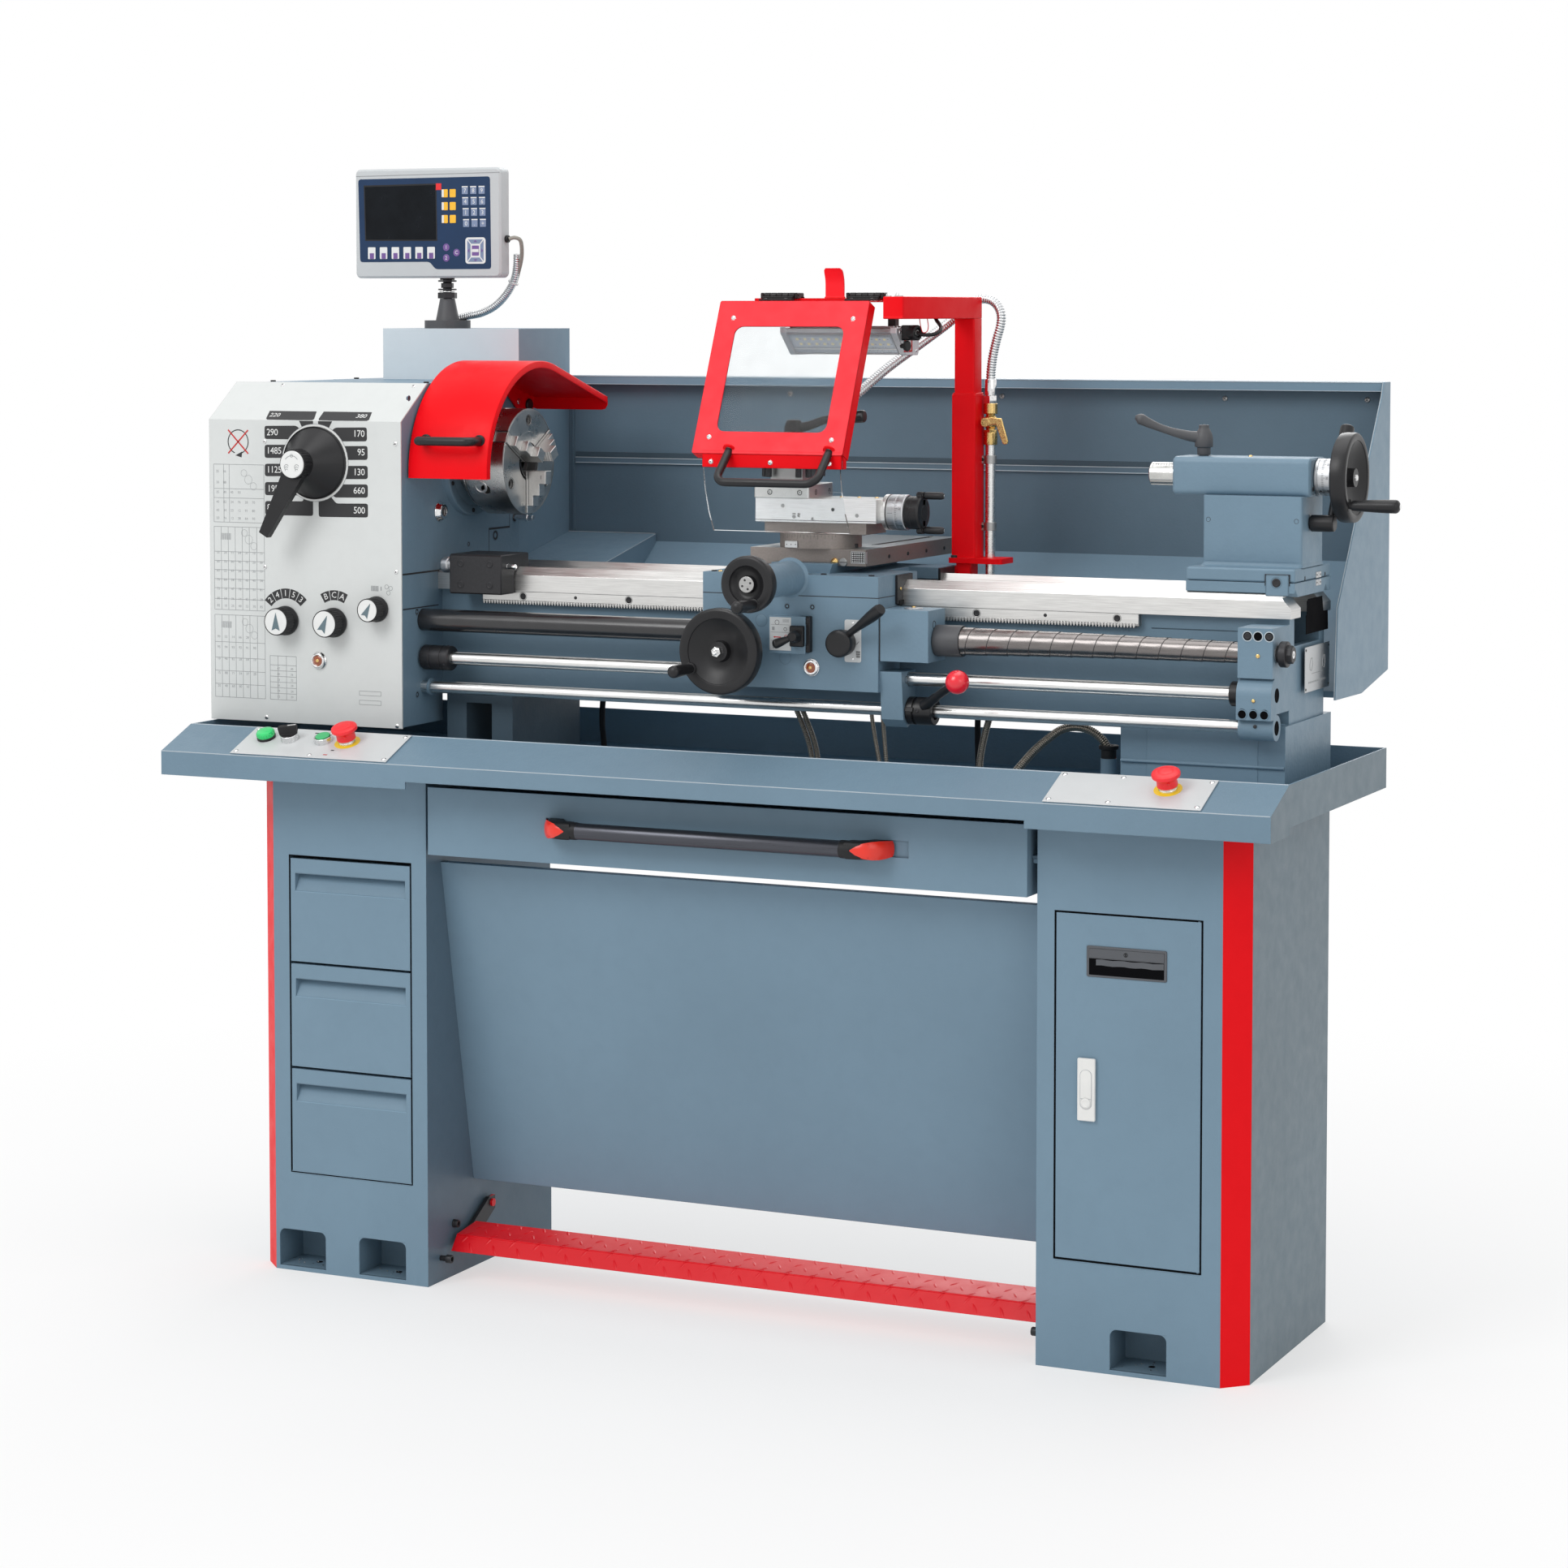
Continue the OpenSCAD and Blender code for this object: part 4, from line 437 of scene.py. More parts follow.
class G:
    """Collects the geometry of one piece, in millimetres, with several materials."""

    def __init__(s, name, body, slot):
        s.name, s.body, s.slot_name = name, body, slot
        s.v, s.f, s.mi, s.mats = [], [], [], []

    def mat(s, name):
        if name not in s.mats:
            s.mats.append(name)
        return s.mats.index(name)

    def add(s, verts, faces, m):
        k, i = len(s.v), s.mat(m)
        s.v += [tuple(p) for p in verts]
        for f in faces:
            s.f.append([k + j for j in f])
            s.mi.append(i)

    def box(s, lo, hi, m, c, rot=None, at=None):
        """Block with chamfered edges; rot (Matrix 3x3) turns it about `at`."""
        lo, hi = Vector(lo), Vector(hi)
        c = min(c, *[(hi[i] - lo[i]) * 0.49 for i in range(3)])
        vs, idx = [], {}
        for sx in (0, 1):
            for sy in (0, 1):
                for sz in (0, 1):
                    q = Vector((hi.x if sx else lo.x, hi.y if sy else lo.y, hi.z if sz else lo.z))
                    d = Vector((-c if sx else c, -c if sy else c, -c if sz else c))
                    for a in range(3):
                        p = q + d
                        p[a] = q[a]
                        idx[(sx, sy, sz, a)] = len(vs)
                        vs.append(p)
        fs = []
        for a in range(3):
            b, d = (a + 1) % 3, (a + 2) % 3
            for sgn in (0, 1):
                ring = []
                for u, w in ((0, 0), (1, 0), (1, 1), (0, 1)):
                    key = [0, 0, 0]
                    key[a], key[b], key[d] = sgn, u, w
                    ring.append(idx[(*key, a)])
                fs.append(ring if sgn else ring[::-1])
            for u in (0, 1):
                for w in (0, 1):
                    k0, k1 = [0, 0, 0], [0, 0, 0]
                    k0[a], k1[a] = 0, 1
                    k0[b] = k1[b] = u
                    k0[d] = k1[d] = w
                    q = [idx[(*k0, b)], idx[(*k1, b)], idx[(*k1, d)], idx[(*k0, d)]]
                    fs.append(q if (u == w) else q[::-1])
        for sx in (0, 1):
            for sy in (0, 1):
                for sz in (0, 1):
                    t = [idx[(sx, sy, sz, a)] for a in range(3)]
                    fs.append(t if (sx + sy + sz) % 2 else t[::-1])
        if rot is not None:
            at = Vector(at)
            vs = [rot @ (p - at) + at for p in vs]
        s.add(vs, fs, m)

    def prism(s, pts, a, b, axis, m, c=0.0):
        """Outline in the two other axes (in xyz order) carried from a to b along axis; c chamfers both ends."""
        n = len(pts)
        if sum(p[0] * q[1] - q[0] * p[1] for p, q in zip(pts, pts[1:] + pts[:1])) < 0:
            pts = pts[::-1]

        def ring(pp, h):
            return [(*p[:axis], h, *p[axis:]) for p in pp]

        def inset(pp, d):
            out = []
            for i in range(n):
                p0, p1, p2 = Vector(pp[i - 1]), Vector(pp[i]), Vector(pp[(i + 1) % n])
                e0, e1 = (p1 - p0).normalized(), (p2 - p1).normalized()
                n0, n1 = Vector((-e0.y, e0.x)), Vector((-e1.y, e1.x))
                k = max(0.35, 1 + n0.dot(n1))
                out.append(tuple(p1 + (n0 + n1) * (d / k)))
            return out

        rings = [ring(pts, a), ring(pts, b)]
        if c:
            rings = [ring(inset(pts, c), a), ring(pts, a + c), ring(pts, b - c), ring(inset(pts, c), b)]
        vs = [p for r in rings for p in r]
        fs = []
        for k in range(len(rings) - 1):
            for i in range(n):
                j = (i + 1) % n
                fs.append([k * n + i, k * n + j, (k + 1) * n + j, (k + 1) * n + i])
        fs.append(list(range(n))[::-1])
        fs.append([(len(rings) - 1) * n + i for i in range(n)])
        if axis == 1:
            fs = [f[::-1] for f in fs]
        s.add(vs, fs, m)

    def rev(s, prof, origin, axis, m, seg):
        """Revolve [(t, r)...] along the direction `axis` from `origin`; closed where r is 0."""
        w = Vector(axis).normalized()
        u = w.orthogonal()
        u = (u - w * u.dot(w)).normalized()
        v = w.cross(u)
        o = Vector(origin)
        vs, rows = [], []
        for t, r in prof:
            if r <= 1e-6:
                rows.append([len(vs)])
                vs.append(o + w * t)
            else:
                rows.append(list(range(len(vs), len(vs) + seg)))
                for i in range(seg):
                    a = 2 * math.pi * i / seg
                    vs.append(o + w * t + (u * math.cos(a) + v * math.sin(a)) * r)
        fs = []
        for k in range(len(rows) - 1):
            A, B = rows[k], rows[k + 1]
            for i in range(seg):
                j = (i + 1) % seg
                if len(A) == 1 and len(B) == 1:
                    continue
                if len(A) == 1:
                    fs.append([A[0], B[j], B[i]])
                elif len(B) == 1:
                    fs.append([A[i], A[j], B[0]])
                else:
                    fs.append([A[i], A[j], B[j], B[i]])
        s.add(vs, fs, m)

    def cyl(s, p, d, r, h, m, seg=28, c=0.5):
        """Round bar from p along d with chamfered ends."""
        c = min(c, r * 0.45, h * 0.45)
        s.rev([(0, 0), (0, r - c), (c, r), (h - c, r), (h, r - c), (h, 0)], p, d, m, seg)

    def tube(s, pts, r, m, seg, caps=True, radii=None):
        """Round tube along points, with a frame carried along so that it doesn't twist."""
        pts = [Vector(p) for p in pts]
        n = len(pts)
        t0 = (pts[1] - pts[0]).normalized()
        u = t0.orthogonal().normalized()
        vs, fs = [], []
        for i, p in enumerate(pts):
            a = pts[max(i - 1, 0)]
            b = pts[min(i + 1, n - 1)]
            t = (b - a).normalized()
            u = (u - t * u.dot(t)).normalized()
            w = t.cross(u)
            at_i = radii[i] if radii else r
            for k in range(seg):
                g = 2 * math.pi * k / seg
                vs.append(p + (u * math.cos(g) + w * math.sin(g)) * at_i)
        for i in range(n - 1):
            for k in range(seg):
                j = (k + 1) % seg
                fs.append([i * seg + k, i * seg + j, (i + 1) * seg + j, (i + 1) * seg + k])
        if caps:
            fs.append(list(range(seg))[::-1])
            fs.append([(n - 1) * seg + k for k in range(seg)])
        s.add(vs, fs, m)

    def hexscrew(s, p, d, r, m, h):
        """Socket cap screw: its head stands on p and points along d."""
        d = Vector(d).normalized()
        s.rev([(0, 0), (0, r), (h * 0.85, r), (h, r * 0.9), (h, r * 0.58), (h * 0.45, r * 0.52), (h * 0.45, 0)],
              p, d, m, 18)

    def cross_screw(s, p, d, r, m):
        """Pan head with a cross recess."""
        d = Vector(d).normalized()
        s.rev([(0, 0), (0, r), (r * 0.3, r * 0.93), (r * 0.52, r * 0.55), (r * 0.56, 0)], p, d, m, 18)
        u = d.orthogonal().normalized()
        v = d.cross(u)
        for a, b in ((u, v), (v, u)):
            c = Vector(p) + d * r * 0.52
            vs = [c + a * x * r * 0.55 + b * y * r * 0.1 + d * z * r * 0.05
                  for x in (-1, 1) for y in (-1, 1) for z in (0, 1)]
            s.add(vs, [[0, 1, 3, 2], [4, 6, 7, 5], [0, 4, 5, 1], [2, 3, 7, 6], [1, 5, 7, 3], [0, 2, 6, 4]],
                  "print_black")

    def text(s, string, size, pos, m, u=XP, v=ZP, depth=0.12, spacing=1.0, bold=0.0):
        """Plain figures: size is the letter height in mm, pos the middle of the line."""
        cu = bpy.data.curves.new("t", "FONT")
        cu.body = string
        cu.size = size * 1.38
        cu.align_x = cu.align_y = "CENTER"
        cu.space_character = spacing
        cu.resolution_u = 2
        cu.offset = bold
        ob = bpy.data.objects.new("t", cu)
        SCENE.collection.objects.link(ob)
        bpy.context.view_layer.update()
        me = bpy.data.meshes.new_from_object(ob.evaluated_get(bpy.context.evaluated_depsgraph_get()))
        u, v = Vector(u).normalized(), Vector(v).normalized()
        w = u.cross(v)
        o = Vector(pos) + w * depth
        s.add([o + u * p.co.x + v * p.co.y for p in me.vertices], [list(f.vertices) for f in me.polygons], m)
        bpy.data.objects.remove(ob)
        bpy.data.curves.remove(cu)
        bpy.data.meshes.remove(me)

    def done(s, angle=32, ride=True):
        me = bpy.data.meshes.new(s.name)
        me.from_pydata([tuple(c * MM for c in p) for p in s.v], [], s.f)
        for n in s.mats:
            me.materials.append(M[n])
        me.polygons.foreach_set("material_index", s.mi)
        me.polygons.foreach_set("use_smooth", [True] * len(me.polygons))
        me.update()
        me.set_sharp_from_angle(angle=math.radians(angle))
        ob = bpy.data.objects.new(s.name, me)
        SCENE.collection.objects.link(ob)
        if ride:
            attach(ob, s.body)
        return ob


def rrect(x0, x1, z0, z1, r, n=5):
    """Rounded rectangle outline."""
    out = []
    for cx, cz, a0 in ((x1 - r, z1 - r, 0), (x0 + r, z1 - r, 90), (x0 + r, z0 + r, 180), (x1 - r, z0 + r, 270)):
        for i in range(n + 1):
            a = math.radians(a0 + 90 * i / n)
            out.append((cx + r * math.cos(a), cz + r * math.sin(a)))
    return out


def square(cx, cy, half, r, n=5):
    """Rounded square outline."""
    return rrect(cx - half, cx + half, cy - half, cy + half, r, n)


def smooth_path(pts, n):
    """Catmull-Rom through the points, n steps to each."""
    P = [Vector(p) for p in pts]
    P = [P[0] * 2 - P[1]] + P + [P[-1] * 2 - P[-2]]
    out = []
    for i in range(1, len(P) - 2):
        for k in range(n):
            t = k / n
            a, b, c, d = P[i - 1:i + 3]
            out.append(0.5 * ((2 * b) + (c - a) * t + (2 * a - 5 * b + 4 * c - d) * t * t
                              + (3 * b - a - 3 * c + d) * t ** 3))
    out.append(P[-2])
    return out


def resample(pts, step):
    """Points about `step` mm apart along a path."""
    out, left = [pts[0].copy()], step
    for a, b in zip(pts, pts[1:]):
        l = (b - a).length
        while l >= left:
            a = a + (b - a) * (left / l)
            out.append(a.copy())
            l = (b - a).length
            left = step
        left -= l
    if (out[-1] - pts[-1]).length > step * 0.3:
        out.append(pts[-1].copy())
    return out


def look(names, default, *rules):
    """Gives CAD nodes their materials: rules are (test(face's centre in mm, normal), material)."""
    for name in names.split():
        me = NODES[name].data
        me.materials.clear()
        used = list(dict.fromkeys([default] + [r[1] for r in rules]))
        for m in used:
            me.materials.append(M[m])
        for p in me.polygons:
            c = p.center * 1000
            p.material_index = used.index(next((m for test, m in rules if test(c, p.normal)), default))


# ---------------------------------------------------------------- CAD nodes' materials
look("center_panel drawer_1 drawer_2 drawer_3 door", "blue")
# inner side of the left pedestal in a darker blue: painted shade
look("left_pedestal", "blue", (lambda c, n: n.x < -0.3 and n.y < -0.3, "red"),
     (lambda c, n: n.x > 0.9 and c.x > -492, "blue_inner"))
# outer side of the right pedestal in a darker blue: painted shade
look("right_pedestal", "blue", (lambda c, n: n.x > 0.3 and n.y < -0.3, "red"),
     (lambda c, n: n.x > 0.9 and c.x > 700, "blue_side"))
look("wide_drawer", "blue", (lambda c, n: c.y < -208.5, "black"))
# right end of the tray in the same darker blue: painted shade
look("chip_tray", "tray", (lambda c, n: n.x > 0.9 and c.x > 840, "blue_side"))
look("foot_bar", "foot_red", (lambda c, n: abs(c.x) > 475.9 and abs(abs(c.x) - 478) > 0.05, "black_oxide"))
# the bed's left foot in a near-black blue: painted shade
look("bed", "cast", (lambda c, n: c.y < -20 and 1005 < c.z < 1045 and -485 < c.x < 580, "dull_steel"),
     (lambda c, n: c.z > 1034 and abs(n.x) < 0.9, "ground"), (lambda c, n: c.z > 1034, "ground_y"),
     (lambda c, n: c.z < 900 and c.x < -410, "blue_deep"))
# front faces of the back sheet and the right wing's inner face in a darker blue: painted shade
look("splash_guard", "blue", (lambda c, n: n.z > 0.3 and abs(n.y) > 0.2 and c.z < 1300, "cast"),
     (lambda c, n: (n.y < -0.8 and c.y > 380 and c.z < 1345) or (n.x < -0.8 and c.x > 800), "blue_shade"))
# upper front of the cabinet in a pale paint: painted highlight
look("electrical_cabinet", "blue", (lambda c, n: c.z > 1433.5, "dark_grey"),
     (lambda c, n: c.z > 1352 and n.y < -0.5, "box_light"))
look("headstock rod_bracket saddle apron", "cast")
look("front_cover", "panel")
look("spindle", "chuck")
look("chuck", "chuck", (lambda c, n: c.x < -514, "black_oxide"))
look("cross_slide", "ground_y", (lambda c, n: abs(n.z) < 0.3 and c.z > 1092, "slide_dark"))
# front faces of the compound slide in the brighter steel: painted highlight
look("compound_slide", "ground", (lambda c, n: n.y < -0.9, "ground_bright"))
look("shield_window", "clear")
look("speed_lever knob_1 knob_2 knob_3", "black")
# replaced below, so one look will do
look("readout jaw_1 jaw_2 jaw_3 chuck_guard apron_wheel cross_wheel feed_lever half_nut_lever shift_lever"
     " compound_crank chip_shield shield_post work_lamp coolant_pipe valve_lever tailstock quill tail_wheel"
     " quill_lock clamp_lever lead_screw feed_rod control_rod screw_covers bed_stop tool_post post_lever latch"
     " estop_left estop_right start_button selector", "black")

# ---------------------------------------------------------------- cords


def arc_path(pts, r, n):
    """Straight runs between points, each bend rounded to radius r."""
    pts = [Vector(p) for p in pts]
    out = [pts[0]]
    for a, b, c in zip(pts, pts[1:], pts[2:]):
        u, w = (a - b).normalized(), (c - b).normalized()
        half = u.angle(w) / 2
        t = min(r / math.tan(half), (a - b).length * 0.49, (c - b).length * 0.49)
        rr = t * math.tan(half)
        ctr = b + (u + w).normalized() * (rr / math.sin(half))
        s, e = b + u * t, b + w * t
        turn = math.pi - 2 * half
        for i in range(n + 1):
            k = i / n
            arc = (s - ctr) * math.sin((1 - k) * turn) + (e - ctr) * math.sin(k * turn)
            out.append(ctr + arc / math.sin(turn))
    out.append(pts[-1])
    return out


# ---------------------------------------------------------------- headstock panel graphics
SL = Vector((0, 78, 56.6)).normalized()


def on_slope(x, t, off=0.0):
    """Point on the leaning top of the panel, t mm up from the fold."""
    return Vector((x, PANEL_Y, 1295)) + SL * t + Vector((0, -SL.z, SL.y)) * off


def flat(g, pts, m, y=PANEL_Y, t=0.25):
    """Thin printed shape on a face that looks to -Y; pts are (x, z)."""
    g.prism(pts, y - t, y + 0.05, 1, m)


def patch(g, x0, x1, z0, z1, m, y=PANEL_Y, t=0.25):
    """Printed rectangle."""
    flat(g, [(x0, z0), (x1, z0), (x1, z1), (x0, z1)], m, y, t)


def softened(pts, r):
    """Rounds the corners of an outline."""
    out, n = [], len(pts)
    for i in range(n):
        p0, p1, p2 = Vector(pts[i - 1]), Vector(pts[i]), Vector(pts[(i + 1) % n])
        a, b = (p0 - p1), (p2 - p1)
        d = min(r, a.length * 0.45, b.length * 0.45)
        s0, s1 = p1 + a.normalized() * d, p1 + b.normalized() * d
        for k in range(4):
            t = k / 3
            out.append(tuple(s0 * (1 - t) ** 2 + p1 * 2 * t * (1 - t) + s1 * t * t))
    return out


def grid(g, x0, x1, z0, z1, cols, rows):
    """Table lines: a frame with inner lines at the given shares of its width and height."""
    w, y, m = 0.35, PANEL_Y, "print_grey"
    for i in range(len(cols) + 2):
        x = x0 if i == 0 else (x1 if i == len(cols) + 1 else x0 + (x1 - x0) * cols[i - 1])
        patch(g, x - w, x + w, z0, z1, m, y, 0.12)
    for i in range(len(rows) + 2):
        z = z0 if i == 0 else (z1 if i == len(rows) + 1 else z0 + (z1 - z0) * rows[i - 1])
        patch(g, x0, x1, z - w, z + w, m, y, 0.14)


def ring_print(g, x, z, r, w, m, y=PANEL_Y, a0=0, a1=360, n=28, t=0.2):
    """Flat arc band."""
    vs, fs = [], []
    for i in range(n + 1):
        a = math.radians(a0 + (a1 - a0) * i / n)
        for rr in (r - w, r):
            vs.append((x + rr * math.cos(a), y - t, z + rr * math.sin(a)))
    for i in range(n):
        fs.append([2 * i, 2 * i + 1, 2 * i + 3, 2 * i + 2])
    g.add(vs, fs, m)


g = G("panel_print", "stand", "black_plastic")
LABELS = [
    [(-799, 1286), (-742, 1287), (-733, 1280), (-733, 1266), (-799, 1266)],
    [(-799, 1257), (-744, 1258), (-744, 1238), (-799, 1237)],
    [(-799, 1228), (-744, 1229), (-744, 1210), (-799, 1209)],
    [(-799, 1200), (-732, 1201), (-732, 1181), (-799, 1180)],
    [(-799, 1171), (-730, 1172), (-730, 1185), (-713, 1186), (-713, 1150), (-799, 1150)],
    [(-617, 1286), (-673, 1285), (-685, 1275), (-685, 1264), (-617, 1265)],
    [(-616, 1258), (-668, 1257), (-668, 1236), (-616, 1237)],
    [(-616, 1228), (-668, 1227), (-668, 1207), (-616, 1208)],
    [(-616, 1200), (-668, 1199), (-685, 1194), (-675, 1179), (-616, 1180)],
    [(-616, 1171), (-672, 1170), (-684, 1183), (-703, 1186), (-703, 1149), (-616, 1150)]]
for p in LABELS:
    flat(g, softened(p, 4.0), "print_black")
for p in ([(-737, 1294.5), (-712, 1294.5), (-712, 1273), (-725, 1272)],
          [(-703, 1294.5), (-678, 1294.5), (-691, 1273), (-703, 1273)]):
    flat(g, p, "print_black")
for q in ([(-801, 22.5), (-717, 22.5), (-712, 4), (-714, 1), (-739, 0.5), (-795, 1), (-798, 4)],
          [(-704, 22.5), (-619, 22.5), (-615, 4), (-618, 1), (-677, 0.5), (-702, 1), (-704, 4)]):
    n = len(q)
    vs = [on_slope(x, t, 0.1) for x, t in q] + [on_slope(x, t, 0.35) for x, t in q]
    g.add(vs, [list(range(n, 2 * n))[::-1]] + [[i, (i + 1) % n, n + (i + 1) % n, n + i] for i in range(n)],
          "print_black")
for s, x, t in (("220", -786, 12), ("380", -632, 12)):
    g.text(s, 9.5, on_slope(x, t, 0.4), "print_white", XP, SL, 0.1, spacing=0.95, bold=0.012)
for s, x, z in (("290", -785, 1276), ("1485", -782, 1248), ("1125", -782, 1219), ("1950", -781, 1190),
                ("880", -785, 1161), ("170", -631, 1276), ("95", -627, 1248), ("130", -631, 1218),
                ("660", -631, 1190), ("500", -631, 1160)):
    g.text(s, 10.5, (x, PANEL_Y, z), "print_white", depth=0.35, spacing=0.94, bold=0.012)
# ring on the panel round the speed dial
ring_print(g, -709, 1231, 58.5, 3.2, "print_white", PANEL_Y, n=48, t=0.5)
ring_print(g, -709, 1231, 59.3, 0.8, "print_grey", PANEL_Y, n=48, t=0.45)
# do-not-turn mark
ring_print(g, -847, 1261, 19, 1.6, "print_black", PANEL_Y, -70, 250)
flat(g, [(-852, 1240), (-840, 1246), (-841, 1237)], "print_black")
for sgn in (-1, 1):
    a = Vector((-847 - 18 * sgn, 1243)), Vector((-847 + 18 * sgn, 1279))
    d = (a[1] - a[0]).normalized()
    nrm = Vector((-d.y, d.x))
    flat(g, [tuple(a[0] - nrm), tuple(a[1] - nrm), tuple(a[1] + nrm), tuple(a[0] + nrm)], "print_red", PANEL_Y,
         0.5)
# gear tables in pale grey
for (x0, x1, z0, z1, c, r) in (
        (-892, -801, 1137, 1226, [0.2, 0.31], [0.42, 0.58]),
        (-892, -801, 1002, 1130, [0.14, 0.28, 0.42, 0.56, 0.7, 0.85], [0.13, 0.26, 0.37, 0.48, 0.59, 0.7]),
        (-892, -801, 867, 994, [0.14, 0.28, 0.42, 0.56, 0.7, 0.85], [0.16, 0.32, 0.48, 0.67])):
    grid(g, x0, x1, z0, z1, c, r)
for i, (z, n) in enumerate(((1215, 3), (1198, 3), (1183, 4), (1168, 6), (1155, 6), (1143, 6), (1090, 7),
                            (1076, 7), (1062, 7), (1048, 7), (1034, 7), (1019, 7), (1008, 7), (960, 5),
                            (944, 6), (926, 6), (904, 6), (884, 5))):
    for k in range(n):
        x = -885 + 13 * k
        if z > 1190 and k > 1:
            continue
        g.text(str((37 * (i + 3) * (k + 5)) % 90 + 10), 4.0, (x, PANEL_Y, z), "print_grey")
for zc in (1205, 1113, 976):
    for dx, dz, r in ((-14, 8, 5.5), (-6, -2, 7), (3, -12, 6)):
        ring_print(g, -823 + dx, zc + dz, r, 0.5, "print_grey", n=16, t=0.12)
for zc in (1115, 979):
    for k in range(8):
        flat(g, [(-880 + 2.4 * k, zc - 5), (-878.8 + 2.4 * k, zc - 5), (-878.4 + 2.4 * k, zc + 5),
                 (-879.6 + 2.4 * k, zc + 5)], "print_grey", PANEL_Y, 0.14)
grid(g, -792, -745, 867, 934, [0.3, 0.62], [0.14, 0.27, 0.4, 0.53, 0.66, 0.79])
for i in range(6):
    g.text(str(12 + 7 * i), 3.6, (-777, PANEL_Y, 871.5 + 8.6 * i), "print_grey")
    g.text(str(20 + 4 * i), 3.6, (-753, PANEL_Y, 871.5 + 8.6 * i), "print_grey")
for z0 in (880, 866):
    grid(g, -633, -595, z0, z0 + 6.5, [], [])
# small pictures over the third knob
for k in range(7):
    patch(g, -611 + 1.9 * k, -609.9 + 1.9 * k, 1039, 1047, "print_grey")
patch(g, -594.5, -593, 1040, 1046, "print_grey")
for dx, dz in ((0, 4), (7, 2), (3, -5)):
    ring_print(g, -584 + dx, 1042 + dz, 3.6, 0.7, "print_grey", n=14)
# arc labels of the two upper knobs
for (cx, cz, marks) in ((-762, 989, "24153"), (-676, 989, "BCA")):
    n = len(marks)
    for i, ch in enumerate(marks):
        am = 92 + (n - 1) * 10.2 - i * 20.4 + (0 if n == 5 else -1)
        vs, fs = [], []
        for k in range(5):
            a = math.radians(am - 9.4 + 18.8 * k / 4)
            for rr in (34, 49):
                vs.append((cx + rr * math.cos(a), PANEL_Y - 0.25, cz + rr * math.sin(a)))
        for k in range(4):
            fs.append([2 * k, 2 * k + 1, 2 * k + 3, 2 * k + 2])
        g.add(vs, fs, "print_black")
        a = math.radians(am)
        g.text(ch, 9.5, (cx + 41.5 * math.cos(a), PANEL_Y, cz + 41.5 * math.sin(a)), "print_white",
               (math.sin(a), 0, -math.cos(a)), (math.cos(a), 0, math.sin(a)), 0.35, bold=0.012)
g.done()

# screws that hold the panel, the oil sight glass
g = G("panel_screws", "stand", "ground_steel")
for x, z in ((-799, 1262), (-567, 1262), (-800, 1070), (-567, 1069), (-799, 839), (-567, 836)):
    g.cross_screw((x, PANEL_Y, z), YM, 3.4, "chrome")
for x in (-811, -577):
    g.cross_screw(on_slope(x, 88), (0, -SL.z, SL.y), 3.4, "chrome")
g.done()
g = G("sight_glass", "stand", "chrome")
g.rev([(0, 0), (0, 13.5), (2, 13.5), (2.6, 13), (4.4, 11.5), (6, 11), (6.6, 10), (6.2, 8.6), (3.4, 8)],
      (-704, PANEL_Y + 0.4, 930), YM, "chrome", 30)
g.rev([(0, 0), (0, 8.4), (3.6, 8.3), (4.6, 6.5), (5.2, 3.5), (5.4, 0)], (-704, PANEL_Y, 930), YM, "oil", 24)
g.rev([(0, 0), (0, 3.0), (5.9, 2.6), (6.2, 0)], (-704, PANEL_Y, 930), YM, "brass", 12)
g.done()

# speed dial: steps of the disc, ribs of the hub, white cap with the range mark
g = G("dial_detail", "speed_lever", "black_plastic")
c = Vector((-709, 0, 1231))
g.rev([(0, 0), (0, 55.4), (3, 55.4), (3.6, 54.9), (4.2, 54.4)], (c.x, -143.2, c.z), YM, "black", 64)
for i in range(28):
    a = 2 * math.pi * i / 28
    R = Matrix.Rotation(-a, 3, "Y")
    g.box((c.x + 21.4, -204.5, c.z - 1.25), (c.x + 22.8, -186, c.z + 1.25), "black", 0.5, R, (c.x, 0, c.z))
g.rev([(0, 0), (0, 20.5), (1.2, 20.5), (2.0, 19.6), (2.2, 0)], (c.x, -206.3, c.z), YM, "print_white", 40)
ring_print(g, c.x, c.z, 13.5, 0.9, "print_grey", -208.6, 35, 145, 14, 0.1)
ring_print(g, c.x, c.z + 13, 2.6, 0.7, "print_grey", -208.6, 0, 360, 12, 0.15)
for sgn in (-1, 1):
    for k in range(3):
        ring_print(g, c.x + sgn * 9, c.z - 4 - 2.6 * k, 4.2 - 0.8 * k, 0.8, "print_grey", -208.6, 20, 200, 8,
                   0.1)
g.done()

# three selector knobs: fluted skirt, white face with a grey arrow
for i, (x, z, r, ang) in enumerate(((-762, 989, 20, 90), (-676, 989, 20, 66), (-600, 1012, 17, 62)), 1):
    g = G(f"knob_{i}_detail", f"knob_{i}", "black_plastic")
    n = 30
    for k in range(n):
        R = Matrix.Rotation(-2 * math.pi * k / n, 3, "Y")
        g.box((x + r - 0.6, -171.8, z - 1.1), (x + r + 0.9, -153, z + 1.1), "black", 0.5, R, (x, 0, z))
    g.rev([(0, 0), (0, r + 2.6), (4, r + 2.6), (6, r + 1.4), (8.5, r + 0.2)], (x, -144.6, z), YM, "black", 48)
    g.rev([(0, 0), (0, r + 0.6), (1.3, r + 0.6), (1.6, r)], (x, -171.8, z), YM, "black", 48)
    g.rev([(0, 0), (0, r - 0.6), (0.5, r - 0.8), (0.6, 0)], (x, -172.6, z), YM, "print_white", 40)
    a = math.radians(ang)
    u, v = Vector((math.cos(a), 0, math.sin(a))), Vector((math.sin(a), 0, -math.cos(a)))
    o = Vector((x, -173.5, z))
    vs = [o + u * r * 0.72, o + v * r * 0.36 - u * r * 0.66, o - u * r * 0.5, o - v * r * 0.36 - u * r * 0.66]
    g.add(vs, [[0, 2, 1], [0, 3, 2]], "print_arrow")
    g.done()

